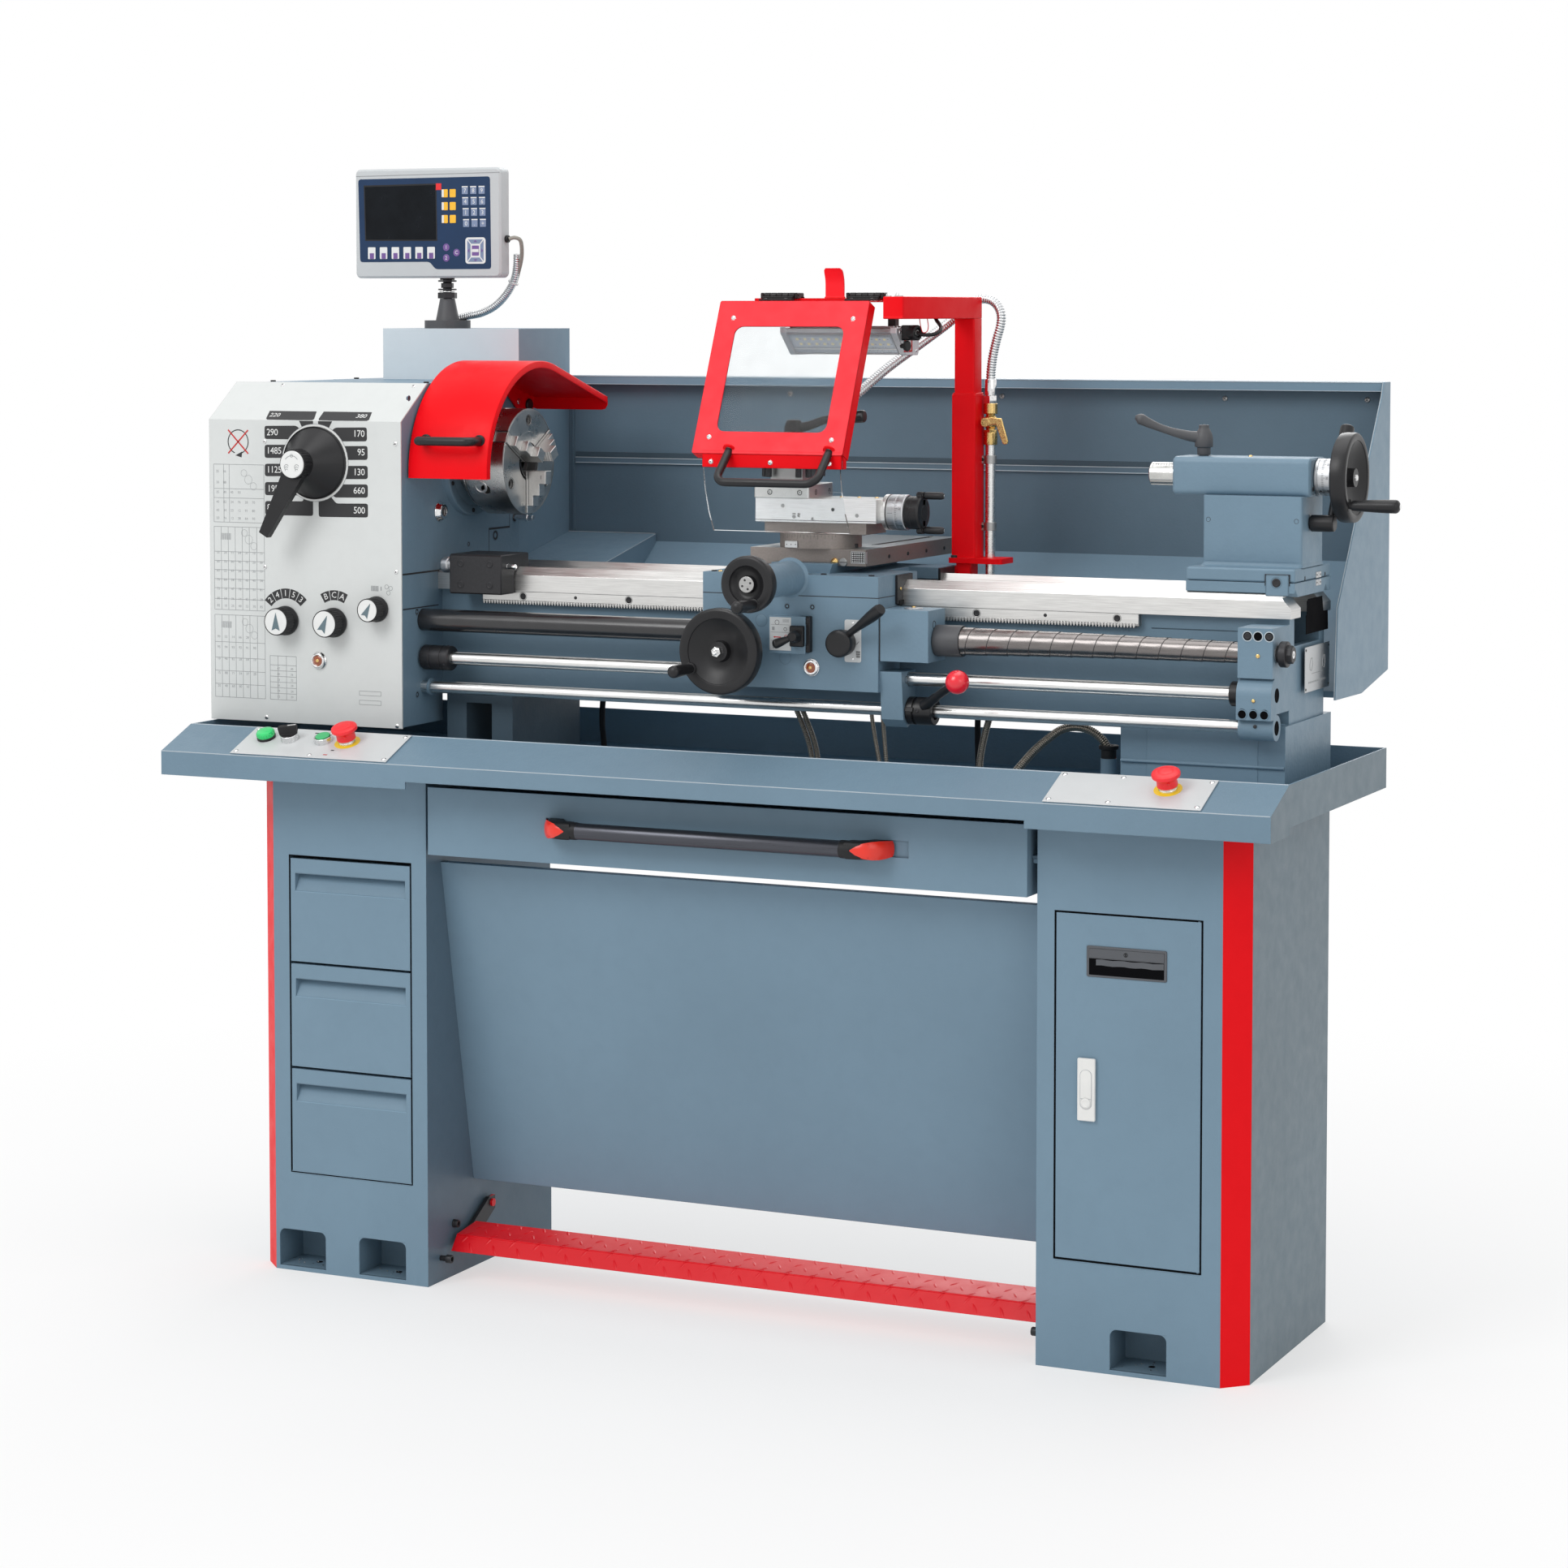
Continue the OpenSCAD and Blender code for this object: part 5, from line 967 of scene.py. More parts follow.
# ---------------------------------------------------------------- digital readout
g = G("readout_case", "readout", "readout_grey")
g.prism(rrect(-870, -600, 1514, 1690, 9, 6), 240.0, 270.0, 1, "grey_case", 3.2)
g.prism([(-868, 1678), (-602, 1681), (-602, 1682.4), (-868, 1679.4)], 239.96, 240.3, 1, "print_grey")
g.rev([(0, 0), (0, 7), (60, 7), (64.5, 7)], (-711, 262, 1449), ZP, "black_oxide", 20)
for z, r, h, m, k in ((1481.2, 16, 9.5, "black_oxide", 6), (1491, 13.5, 2.2, "chrome", 24),
                      (1494.5, 15, 2.4, "black_oxide", 24), (1498, 10.5, 8, "black_oxide", 6),
                      (1508, 15, 2.6, "black_oxide", 24), (1511, 12, 3.1, "black_oxide", 24)):
    g.rev([(0, 0), (0, r - 0.6), (0.6, r), (h - 0.6, r), (h, r - 0.6), (h, 0)], (-711, 262, z), ZP, m, k)
for i in range(9):
    g.rev([(0, 6.6), (0.7, 7.7), (1.4, 6.6)], (-711, 262, 1492 + 2.2 * i), ZP, "black_oxide", 20)
# back cover with vents, label field and gland
g.prism(rrect(-850, -620, 1530, 1674, 6), 269.8, 271.6, 1, "dark_grey", 0.6)
for i in range(8):
    g.box((-800 + 18 * i, 271.4, 1620), (-791 + 18 * i, 272.0, 1650), "black_matt", 0.2)
for x in (-862, -608):
    for z in (1522, 1682):
        g.cross_screw((x, 270, z), YP, 3, "black_oxide")
g.cyl((-607, 258, 1576), XP, 6, 12, "black", 18)
# printed front
navy = softened([(-864, 1674), (-619, 1675.5), (-617.5, 1528), (-720, 1528), (-731, 1540), (-861, 1540)], 5)
g.prism(navy, 239.86, 240.1, 1, "navy")
g.prism([(-853.5, 1664), (-717.5, 1665.5), (-716.5, 1573.5), (-851.5, 1574.5)], 239.7, 239.9, 1, "black_matt")
g.prism([(-851.5, 1661.5), (-719.5, 1663), (-718.5, 1575.5), (-849.5, 1576.5)], 239.62, 239.72, 1, "screen")
FRONT_Y = 239.84
patch(g, -718.5, -708.5, 1665.5, 1655, "red_plastic", FRONT_Y)
for i in range(3):
    z = 1649.5 - 20.6 * i
    for x, w in ((-702.2, 0), (-687.5, 1)):
        g.prism(rrect(x - 5.6, x + 5.6, z - 6.5, z + 6.5, 1.2, 2), FRONT_Y - 0.4, FRONT_Y, 1, "key_yellow")
        if not w:
            patch(g, x - 5.4, x - 1.6, z - 6, z + 6, "print_white", FRONT_Y - 0.36)
KEY = (("7", "8", "9"), ("4", "5", "6"), ("1", "2", "3"), ("0", ".", "+"))
for r in range(4):
    for k in range(3):
        x, z = -665 + 15.4 * k + 0.7 * r, 1654 - 17.5 * r
        g.prism(rrect(x - 5.5, x + 5.5, z - 6.3, z + 6.3, 0.8, 2), FRONT_Y - 0.35, FRONT_Y, 1, "key_blue")
        patch(g, x - 5.5, x + 5.5, z + 4.6, z + 6.4, "print_white", FRONT_Y - 0.33)
        g.text(KEY[r][k], 7, (x, FRONT_Y - 0.35, z - 1), "print_white", bold=0.01)
for i in range(6):
    x = -839 + 22.2 * i
    g.prism(rrect(x - 7, x + 7, 1545, 1564, 1.2, 2), FRONT_Y - 0.35, FRONT_Y, 1, "print_white")
    patch(g, x - 3.6, x + 4.2, 1545.2, 1554.5, "key_purple", FRONT_Y - 0.33)
for x, z, t in ((-700, 1563, "1"), (-681, 1554.5, "C"), (-700, 1546, "2")):
    g.rev([(0, 0), (0, 6), (0.35, 5.8), (0.36, 0)], (x, FRONT_Y, z), YM, "key_purple", 24)
    g.text(t, 6, (x, FRONT_Y - 0.36, z), "print_white", bold=0.01)
g.prism(rrect(-664.5, -627.5, 1536.5, 1578.5, 5), FRONT_Y - 0.3, FRONT_Y, 1, "print_white")
cx, cz = -646, 1557.5
for a, b in (((-1, 1), (1, 1)), ((1, 1), (1, -1)), ((1, -1), (-1, -1)), ((-1, -1), (-1, 1))):
    p = [(cx + s[0] * w, cz + s[1] * h) for s, w,
         h in ((a, 13.5, 16.5), (b, 13.5, 16.5), (b, 7.6, 9.6), (a, 7.6, 9.6))]
    m = Vector(((a[0] + b[0]) / 2, (a[1] + b[1]) / 2))
    flat(g, [tuple(Vector(q) + m * 1.4) for q in p], "key_blue", FRONT_Y - 0.3)
    e = Vector((cx, cz)) + Vector((m.x * 12.4, m.y * 15.2))
    s = Vector((m.y, m.x)) * 3.2
    flat(g, [tuple(e + m * 2), tuple(e + s - m * 1.4), tuple(e - s - m * 1.4)], "key_purple", FRONT_Y - 0.52)
g.prism(rrect(cx - 6.4, cx + 6.4, cz - 8, cz + 8, 1, 2), FRONT_Y - 0.7, FRONT_Y - 0.25, 1, "key_purple")
patch(g, cx - 6, cx + 6, cz - 2.4, cz + 2.4, "print_white", FRONT_Y - 0.7)
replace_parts(g.done(), "readout")

# signal cable from the readout's side and the conduit that takes it to the cabinet
READOUT_CABLE = smooth_path([(-595, 258, 1576), (-586, 262, 1578), (-579, 268, 1572), (-583, 278, 1548),
                             (-595, 288, 1522), (-604, 294, 1505)], 6)
g = G("readout_cable", "readout", "black_plastic")
g.tube(READOUT_CABLE, 3.2, "grey_cable", 10)
g.done()
READOUT_PIPE = smooth_path([(-594, 283, 1552), (-597, 286, 1530), (-605, 290, 1508), (-621, 294, 1487),
                            (-643, 297, 1469), (-668, 298, 1458), (-692, 296, 1453), (-712, 290, 1447),
                            (-724, 286, 1436)], 8)


def corrugated(g, path, r, m, pitch, seg=14, depth=0.12):
    """Ringed metal hose: the radius swells and narrows along the path."""
    pts = resample([Vector(q) for q in path], pitch / 3)
    g.tube(pts, r, m, seg, True, [r * (1 - depth * (i % 3 == 1)) for i in range(len(pts))])


g = G("readout_conduit", "readout", "chrome")
corrugated(g, READOUT_PIPE, 6.4, "conduit", 3.6)
g.rev([(0, 0), (0, 8.6), (2.4, 8.6), (2.4, 0)], (-605, 291, 1508), (-0.5, 0.1, -0.85), "print_white", 20)
g.done()

# ---------------------------------------------------------------- chuck, jaws, guard, headstock side


def turned_part(g, k0, R, at):
    """Turns the vertices that were added since index k0 about a point."""
    at = Vector(at)
    for i in range(k0, len(g.v)):
        g.v[i] = tuple(R @ (Vector(g.v[i]) - at) + at)


g = G("chuck_detail", "spindle", "ground_steel")
for i in range(3):
    R = Matrix.Rotation(math.radians(120 * i), 3, "X")
    k0 = len(g.v)
    # gaps beside the jaw, key socket, face screw
    for s in (-1, 1):
        g.box((CHUCK_X - 0.1, AXIS_Y + s * 9.55 - 0.5, AXIS_Z - 80.5),
              (CHUCK_X + 0.12, AXIS_Y + s * 9.55 + 0.5, AXIS_Z - 20), "print_black", 0.02)
        g.box((CHUCK_X - 19, AXIS_Y + s * 9.55 - 0.5, AXIS_Z - 81.62),
              (CHUCK_X, AXIS_Y + s * 9.55 + 0.5, AXIS_Z - 80), "print_black", 0.02)
    turned_part(g, k0, R, at_axis(0))
    k0 = len(g.v)
    R2 = Matrix.Rotation(math.radians(120 * i + 57), 3, "X")
    d = ZM
    g.rev([(-3, 10.6), (0.0, 10.6), (0.5, 10.2), (0.5, 8.6), (-0.2, 8.2), (-0.2, 6.6)],
          (-494, AXIS_Y, AXIS_Z - 81.5), d, "ground", 30)
    sq = [(4.6, 4.6), (-4.6, 4.6), (-4.6, -4.6), (4.6, -4.6)]
    ring = [(6.6 * math.cos(math.pi * (2 * q + 1) / 16),
             6.6 * math.sin(math.pi * (2 * q + 1) / 16)) for q in range(16)]
    vs = [(-494 + a, AXIS_Y + b, AXIS_Z - 81.3) for a,
          b in ring] + [(-494 + a, AXIS_Y + b, AXIS_Z - 81.3) for a,
                        b in sq] + [(-494 + a, AXIS_Y + b, AXIS_Z - 70) for a, b in sq]
    g.add(vs, [[q, (q + 1) % 16, 16 + ((q + 1) % 16) // 4 % 4] for q in range(16)] + [[16 + a, 16 + (a + 1) % 4,
            20 + (a + 1) % 4, 20 + a] for a in range(4)] + [[20, 21, 22, 23]], "black_oxide")
    turned_part(g, k0, R2, at_axis(0))
    k0 = len(g.v)
    R3 = Matrix.Rotation(math.radians(120 * i + 180), 3, "X")
    g.rev([(0.06, 9.2), (0.3, 8.6), (-0.2, 8.2), (-4, 7.8), (-4, 4.6), (-7, 4.4), (-7, 0)],
          (CHUCK_X, AXIS_Y, AXIS_Z - 63.5), XP, "chuck_dark", 24)
    turned_part(g, k0, R3, at_axis(0))
g.rev([(0, 80.9), (0.0, 79.4), (0.35, 79.2)], at_axis(CHUCK_X + 0.1), XP, "chuck", 72)
for r in (30, 46):
    g.rev([(0.08, r), (0.2, r + 0.25), (0.08, r + 0.5)], at_axis(CHUCK_X), XP, "chuck", 64)
# scroll plate and bore seen between the jaws
g.rev([(-14, 12), (-14, 21), (0.05, 24.5), (0.2, 25.5), (0.05, 26.2)], at_axis(CHUCK_X), XP, "chuck_dark", 40)
# camlock nose: cams round the flange, and its rim
for i in range(6):
    a = math.radians(60 * i + 20)
    p = (-531, AXIS_Y + 53.0 * math.cos(a), AXIS_Z + 53.0 * math.sin(a))
    g.rev([(0, 0), (0, 5.5), (0.6, 5.2), (0.6, 3), (-1, 2.6), (-1, 0)], (p[0] - 5, p[1], p[2]),
          (0, math.cos(a), math.sin(a)), "black_oxide", 16)
g.rev([(0, 72), (0, 71.6), (1.4, 71.6), (1.4, 70.2), (2.4, 70.2), (2.4, 71.6), (13.6, 71.6)], at_axis(-528), XP,
      "chuck", 72)
g.done()

# jaws: serrated grip, cut steps, worn edges
for i in range(3):
    g = G(f"jaw_{i + 1}_shape", f"jaw_{i + 1}", "ground_steel")
    prof = [(-20, -14)]
    for k in range(9):
        a = -2 + 4 * k
        prof += [(a + 0.5, -14.9), (a + 1.6, -14.0), (a + 2.8, -14.0)]
    prof += [(33.6, -14), (34, -14.6), (34, -33.2), (33.4, -34), (23, -34), (23, -35.2), (22.2, -35.2),
             (22.2, -36.2), (23, -36.2), (23, -51.2), (22.4, -52), (12, -52), (12, -53.2), (11.2, -53.2),
             (11.2, -54.2), (12, -54.2), (12, -67.2), (11.4, -68), (2, -68), (2, -79), (-20, -79)]
    g.prism([(CHUCK_X + px, AXIS_Z + pz) for px, pz in prof], AXIS_Y - 8.6, AXIS_Y + 8.6, 1, "ground_y", 0.5)
    for s in (-1, 1):
        g.box((CHUCK_X - 19.5, AXIS_Y + s * 8.2 - 0.8, AXIS_Z - 78.8),
              (CHUCK_X + 1.0, AXIS_Y + s * 8.2 + 0.8, AXIS_Z - 15), "ground_y", 0.2)
        g.box((CHUCK_X + 4.0, AXIS_Y + s * 8.55 - 0.12, AXIS_Z - 66),
              (CHUCK_X + 5.0, AXIS_Y + s * 8.55 + 0.12, AXIS_Z - 16), "chuck_dark", 0.05)
    g.text(str(i + 1), 6, (CHUCK_X + 26, AXIS_Y - 8.6, AXIS_Z - 24), "print_black")
    turned_part(g, 0, Matrix.Rotation(math.radians(120 * i), 3, "X"), at_axis(0))
    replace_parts(g.done(), f"jaw_{i + 1}")

# chuck guard: one folded sheet with inner flanges, rear flap, pull handle
GUARD_Y, GUARD_Z, GUARD_R = 42, 1216, 169
stations = []  # points of the sheet's outside and their normals inward
for i in range(41):
    a = math.radians(182 - i * (182 - 73.7) / 40)
    stations.append((Vector((0, GUARD_Y + GUARD_R * math.cos(a), GUARD_Z + GUARD_R * math.sin(a))),
                     Vector((0, -math.cos(a), -math.sin(a)))))
p0, n0 = stations[-1]
run = Vector((0, 261, 1326)) - p0
down = Vector((0, run.z, -run.y)).normalized()
for i in range(1, 9):
    stations.append((p0 + run * i / 8, n0.lerp(down, min(1.0, i / 2)).normalized()))
g = G("guard_shape", "chuck_guard", "paint_red")
sec = [(-555, 10.5), (-555, 1.6), (-554.5, 0.5), (-553.4, 0), (-420.6, 0), (-419.5, 0.5), (-419, 1.6),
       (-419, 10.5), (-421.2, 10.5), (-421.2, 2.4), (-552.8, 2.4), (-552.8, 10.5)]
vs, fs = [], []
m = len(sec)
for p, nn in stations:
    for x, w in sec:
        vs.append((x, p.y + nn.y * w, p.z + nn.z * w))
for j in range(len(stations) - 1):
    for k in range(m):
        l = (k + 1) % m
        fs.append([j * m + k, (j + 1) * m + k, (j + 1) * m + l, j * m + l])
fs.append(list(range(m))[::-1])
fs.append([(len(stations) - 1) * m + k for k in range(m)])
g.add(vs, fs, "red")
# rear flap bent down, with a rounded corner at each side
g.prism([(-555, 1326), (-419, 1326), (-419, 1313), (-423, 1306.5), (-429, 1305), (-545, 1305), (-551, 1306.5),
         (-555, 1313)], 258.4, 261, 1, "red", 0.4)
g.prism([(120, 1371), (260.5, 1325.6), (260.5, 1300), (252, 1294), (224, 1294)], -555, -552.4, 0, "red", 0.3)
g.rev([(0, 0), (0, 9), (1.5, 10), (3, 10), (4.5, 8.6), (4.5, 0)], (-552.4, 242, 1312), XP, "black_oxide", 24)
g.cyl((-569.9, 242, 1312), XP, 8, 17, "ground", 24)
# rivets inside, in a darker red as painted shade
for x in (-545, -429):
    for q in (6, 18, 30):
        p, nn = stations[q]
        g.rev([(0, 0), (0, 2.6), (0.8, 2.2), (1.2, 0)], (x, p.y + nn.y * 2.4, p.z + nn.z * 2.4), nn, "red_dark",
              12)
# pull handle: a bar bent round with radius PULL_R at both corners
PULL_X0, PULL_X1, PULL_Y, PULL_Z, PULL_R = -528, -436, -150, 1267, 12
root = GUARD_Y + GUARD_R * math.cos(math.radians(162.4))
bend = [(PULL_R - PULL_R * math.cos(t), PULL_Y + PULL_R - PULL_R * math.sin(t))
        for t in (math.radians(15 * k) for k in range(7))]
path = [(PULL_X0 + dx, y, PULL_Z) for dx, y in [(0, root + 3), (0, root - 4)] + bend]
path += [(PULL_X1 - dx, y, PULL_Z) for dx, y in bend[::-1] + [(0, root - 4), (0, root + 3)]]
g.tube(path, 6.8, "black", 18)
for x in (PULL_X0, PULL_X1):
    g.rev([(0, 0), (0, 9.4), (2.2, 9.4), (3.2, 8.6), (3.4, 6)], (x, root + 1.5, PULL_Z), YM, "black", 24)
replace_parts(g.done(), "chuck_guard")

# headstock side: bearing cover, plug, seams, screws
g = G("headstock_detail", "stand", "paint_blue")
HEAD_X = -558  # right face of the headstock
g.rev([(0, 84.6), (11.0, 84.6), (12.2, 83.4), (12.2, 70), (9.5, 69), (9.5, 56)], at_axis(HEAD_X), XP,
      "blue_dark", 64)
for i in range(6):
    a = math.radians(60 * i + 25)
    g.hexscrew((HEAD_X + 12.2, AXIS_Y + 77 * math.cos(a), AXIS_Z + 77 * math.sin(a)), XP, 3.4, "black_oxide",
               1.6)
# seams of the gearbox cover
seam = [((190, 1148), (190, 1121)), ((190, 1121), (124, 1119)), ((124, 1119), (124, 1067))]
for (ya, za), (yb, zb) in seam:
    g.box((HEAD_X - 0.2, min(ya, yb) - 0.6, min(za, zb) - 0.6),
          (HEAD_X + 0.25, max(ya, yb) + 0.6, max(za, zb) + 0.6), "print_black", 0.1)
g.box((HEAD_X - 0.2, -139.5, 1063.6), (HEAD_X + 0.4, 128, 1066.2), "print_black", 0.1)
g.rev([(0, 0), (0, 15.5), (2, 15.5), (5, 13), (8.5, 12), (9.5, 11), (9.5, 7.2), (5.5, 6.6), (5.5, 0)],
      (HEAD_X, -30, 1155), XP, "chrome", 30)
g.rev([(0, 0), (0, 6.6), (0.6, 6.2), (0.7, 0)], (HEAD_X + 5.5, -30, 1155), XP, "print_black", 20)
# holes: a darker rim and a black centre, painted shade in their depth
for y, z, r in ((144, 1109, 7.5), (206, 1134, 6.5), (209, 1315, 6.5), (-98, 880, 4.0), (-98, 1006, 4.5),
                (60, 1100, 3.2), (-118, 1330, 3.0)):
    g.rev([(0.0, r + 1.6), (0.6, r + 1.2), (0.4, r), (-3, r * 0.98)], (HEAD_X, y, z), XP, "blue_dark", 22)
    g.rev([(0.1, r), (0.2, r * 0.55), (-0.2, r * 0.5), (-0.2, 0)], (HEAD_X, y, z), XP, "print_black", 22)
g.cyl((HEAD_X, 206, 1134), XP, 4.2, 34, "chrome", 18)
g.cyl((HEAD_X + 20, 206, 1134), XP, 6.0, 5, "chrome", 18)
g.cyl((HEAD_X, 209, 1318), XP, 4.6, 8, "chrome", 18)
# lower gearbox casting lines
g.box((HEAD_X - 0.2, -139, 1011.2), (HEAD_X + 0.3, -33, 1013), "print_black", 0.1)
g.done()
g = G("head_top_detail", "stand", "paint_blue")
g.box((-853, -58, 1350), (-561, 214, 1351.4), "cast", 0.5)
for x in (-845, -570):
    for y in (-46, 200):
        g.hexscrew((x, y, 1351.4), ZP, 4.2, "black_oxide", 2.4)
g.rev([(0, 0), (0, 14), (4, 14), (7, 12), (7, 0)], (-620, 150, 1351), ZP, "black", 28)
g.rev([(0, 0), (0, 9), (2, 8.6), (2.4, 0)], (-620, 150, 1358), ZP, "black_matt", 6)
g.done()

# ---------------------------------------------------------------- wheels, levers and slides of the carriage


def grip(g, p, d, l, r0, r1, m="black", neck=4.0):
    """Turned handle: thin neck, swelling grip, domed end."""
    prof = [(0, 0), (0, r0 * 0.8), (neck, r0 * 0.8), (neck, r0 * 1.05), (neck + 1.5, r0 * 1.12)]
    for i in range(1, 9):
        t = i / 8
        prof.append((neck + 1.5 + (l - neck - r1 * 0.7 - 1.5) * t,
                     r0 * 1.12 + (r1 - r0 * 1.12) * math.sin(t * math.pi / 2) ** 1.2))
    for i in range(1, 7):
        a = math.radians(90 * i / 6)
        prof.append((l - r1 * 0.7 + r1 * 0.7 * math.sin(a), r1 * math.cos(a)))
    g.rev(prof, p, d, m, 24)


def ticks(g, c, axis, r, t0, n, short, mid, long, labels=True, size=3.4, w=0.25):
    """Engraved scale on a round collar: lines along the axis, every fifth longer, figures every tenth."""
    ax = Vector(axis).normalized()
    u = ax.orthogonal().normalized()
    v = ax.cross(u)
    c = Vector(c)
    for i in range(n):
        a = 2 * math.pi * i / n
        rad = u * math.cos(a) + v * math.sin(a)
        tan = v * math.cos(a) - u * math.sin(a)
        l = long if i % 10 == 0 else (mid if i % 5 == 0 else short)
        b = c + rad * (r + 0.06)
        g.add([b + ax * t0 - tan * w, b + ax * t0 + tan * w, b + ax * (t0 + l) + tan * w,
               b + ax * (t0 + l) - tan * w], [[0, 1, 2, 3]], "print_black")
        if labels and i % 10 == 0:
            g.text(str(i), size, b + ax * (t0 + l + size * 0.8), "print_black", tan, ax, 0.04)


def dish_wheel(g, c, axis, r, th, rim, hub, depth=None):
    """Handwheel: rounded rim, flat front ring, dished web, hub; c is the middle of its back face."""
    depth = depth or th * 0.55
    prof = [(0, hub), (0, r - 7), (0.8, r - 3.5), (3, r - 0.9), (th * 0.35, r), (th - 4, r),
            (th - 1.6, r - 0.8), (th - 0.3, r - 2.6), (th, r - 4.5), (th, r - rim + 1.2),
            (th - 0.4, r - rim + 0.3), (th - 1.8, r - rim)]
    for i in range(1, 7):
        t = i / 6
        prof.append((th - 1.8 - (depth - 1.8) * math.sin(t * math.pi / 2), r - rim - (r - rim - hub - 4) * t))
    prof += [(th - depth, hub + 1), (th - depth + 3, hub - 0.6), (th - 2.2, hub - 1), (th - 2.0, 0)]
    g.rev(prof, c, axis, "black", 72)


def hex_nut(g, p, d, r, h, m="chrome"):
    g.rev([(0, 0), (0, r * 1.32), (h * 0.18, r * 1.32), (h * 0.2, r * 1.25)], p, d, m, 30)
    q = Vector(p) + Vector(d).normalized() * h * 0.2
    g.rev([(0, r * 0.98), (0.5, r), (h * 0.75, r), (h * 0.95, r * 0.86), (h * 0.95, r * 0.5)], q, d, m, 6)
    g.rev([(0, r * 0.5), (h * 0.95, r * 0.5), (h * 1.5, r * 0.5), (h * 1.62, r * 0.38), (h * 1.62, r * 0.16),
           (h * 1.4, 0)], q, d, m, 24)


g = G("apron_wheel_shape", "apron_wheel", "black_plastic")
dish_wheel(g, (WHEEL_X, -162, WHEEL_Z), YM, 62.5, 24, 15, 15)
hex_nut(g, (WHEEL_X, -182, WHEEL_Z), YM, 8.5, 9)
g.rev([(0, 9), (12, 9), (12, 16), (46, 16), (46, 15), (55, 14)], (WHEEL_X, -107, WHEEL_Z), YM, "black_oxide",
      30)
grip(g, (-51, -182, 948), YM, 65, 6.0, 9.2)
g.rev([(0, 0), (0, 9.0), (2.5, 8.6), (3, 5)], (-51, -185.4, 948), YM, "black", 24)
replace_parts(g.done(), "apron_wheel")

g = G("cross_wheel_shape", "cross_wheel", "black_plastic")
dish_wheel(g, (CROSS_X, -242, CROSS_Z), YM, 40.5, 20, 14, 12, depth=9)
g.rev([(0, 0), (0, 11.5), (0.9, 11.5), (1.3, 11), (1.3, 0)], (CROSS_X, -260.4, CROSS_Z), YM, "dull_steel", 30)
for i in range(4):
    a = math.radians(90 * i + 20)
    g.rev([(0, 0), (0, 1.7), (0.15, 1.7), (0.16, 0)],
          (CROSS_X + 6.6 * math.cos(a), -261.7, CROSS_Z + 6.6 * math.sin(a)), YM, "print_black", 12)
g.rev([(0, 8), (163, 8)], (CROSS_X, -75, CROSS_Z), YM, "ground", 24)
g.rev([(0, 10), (0, 23.5), (1, 24), (7, 24), (8, 23.5), (8, 10)], (CROSS_X, -238.4, CROSS_Z), YM, "satin_alloy",
      40)
ticks(g, (CROSS_X, -238.6, CROSS_Z), YM, 24, 0.4, 80, short=2.2, mid=3.4, long=4.4, labels=False, w=0.18)
grip(g, (86, -258, 1050), YM, 65, 6.0, 9.0)
g.rev([(0, 0), (0, 9.0), (2.5, 8.6), (3, 5)], (86, -261.2, 1050), YM, "black", 24)
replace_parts(g.done(), "cross_wheel")

# automatic feed lever with its gate plate
g = G("feed_lever_shape", "feed_lever", "black_plastic")
g.rev([(0, 6), (13.8, 6)], (94, -121, 996), YM, "ground", 20)
g.box((83.5, -139, 981), (104.5, -130.6, 1011), "black", 1.2)
g.rev([(0, 0), (0, 9), (8, 9), (12, 7.5), (15.5, 7), (16.6, 5.6), (16.6, 0)], (94, -138, 996), YM, "black", 26)
grip(g, (94, -148, 996), (-24, -17, -11), 32, 4.2, 7.0, "black", 8)
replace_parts(g.done(), "feed_lever")
g = G("feed_gate", "carriage", "black_plastic")
g.box((92.5, -126, 972), (109.5, -115.2, 1024), "black_oxide", 1.0)
for z in (979, 1017):
    g.hexscrew((104.5, -126, z), YM, 4.2, "black_oxide", 1.2)
g.box((96, -126.6, 984), (100, -125.8, 1008), "print_black", 0.3)
g.done()

g = G("half_nut_shape", "half_nut_lever", "black_plastic")
g.rev([(0, 0), (0, 17.5), (1, 18.4), (15, 20), (21, 20), (24, 19.2), (25.6, 17.2), (26, 14), (26, 0)],
      (160, -116, 988), YM, "black", 48)
g.rev([(0, 9), (12, 9)], (160, -107, 988), YM, "ground", 24)
a, b = Vector((171, -131, 1000)), Vector((236, -160, 1042))
pts = [a + (b - a) * t for t in (0, 0.12, 0.3, 0.5, 0.7, 0.86, 0.95, 1.0)]
g.tube(pts, 6, "black", 20, True, [5.2, 5.0, 5.6, 7.2, 8.7, 9.2, 8.9, 7.6])
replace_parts(g.done(), "half_nut_lever")

# start lever on the control rod: slotted collar, cranked arm, red ball
g = G("shift_lever_shape", "shift_lever", "black_plastic")
g.rev([(0, 9.2), (0, 18.5), (1.2, 20), (10, 20), (10, 17.5), (14, 17.5), (14, 20), (38.5, 20), (39.7, 18.8),
       (39.7, 12), (36, 11), (36, 9.2)], (246.5, ROD_Y, CONTROL_Z), XP, "black", 44)
for i in range(3):
    a = math.radians(120 * i + 200)
    R = Matrix.Rotation(a, 3, "X")
    k0 = len(g.v)
    g.box((246.4, -83, 891 + 15), (259, -77, 891 + 20.3), "print_black", 0.3)
    turned_part(g, k0, R, (0, ROD_Y, CONTROL_Z))
g.hexscrew((266, -80 - 19.6, 893), (0, -1, 0.1), 2.6, "black_oxide", 1.0)
path = smooth_path([(274, -94, 900), (289, -103, 908), (310, -120, 921), (330, -135, 932),
                    (342, -144.5, 939.5)], 6)
n = len(path)
g.tube(path, 6, "black", 18, True, [5.4 + 2.4 * (1 - i / (n - 1)) if i < n * 0.4 else 6.0 for i in range(n)])
prof = [(-16.4, 0), (-16.4, 4)]
for i in range(1, 20):
    a = math.radians(-76 + 152 * i / 19.0)
    prof.append((17 * math.sin(a), 17 * math.cos(a)))
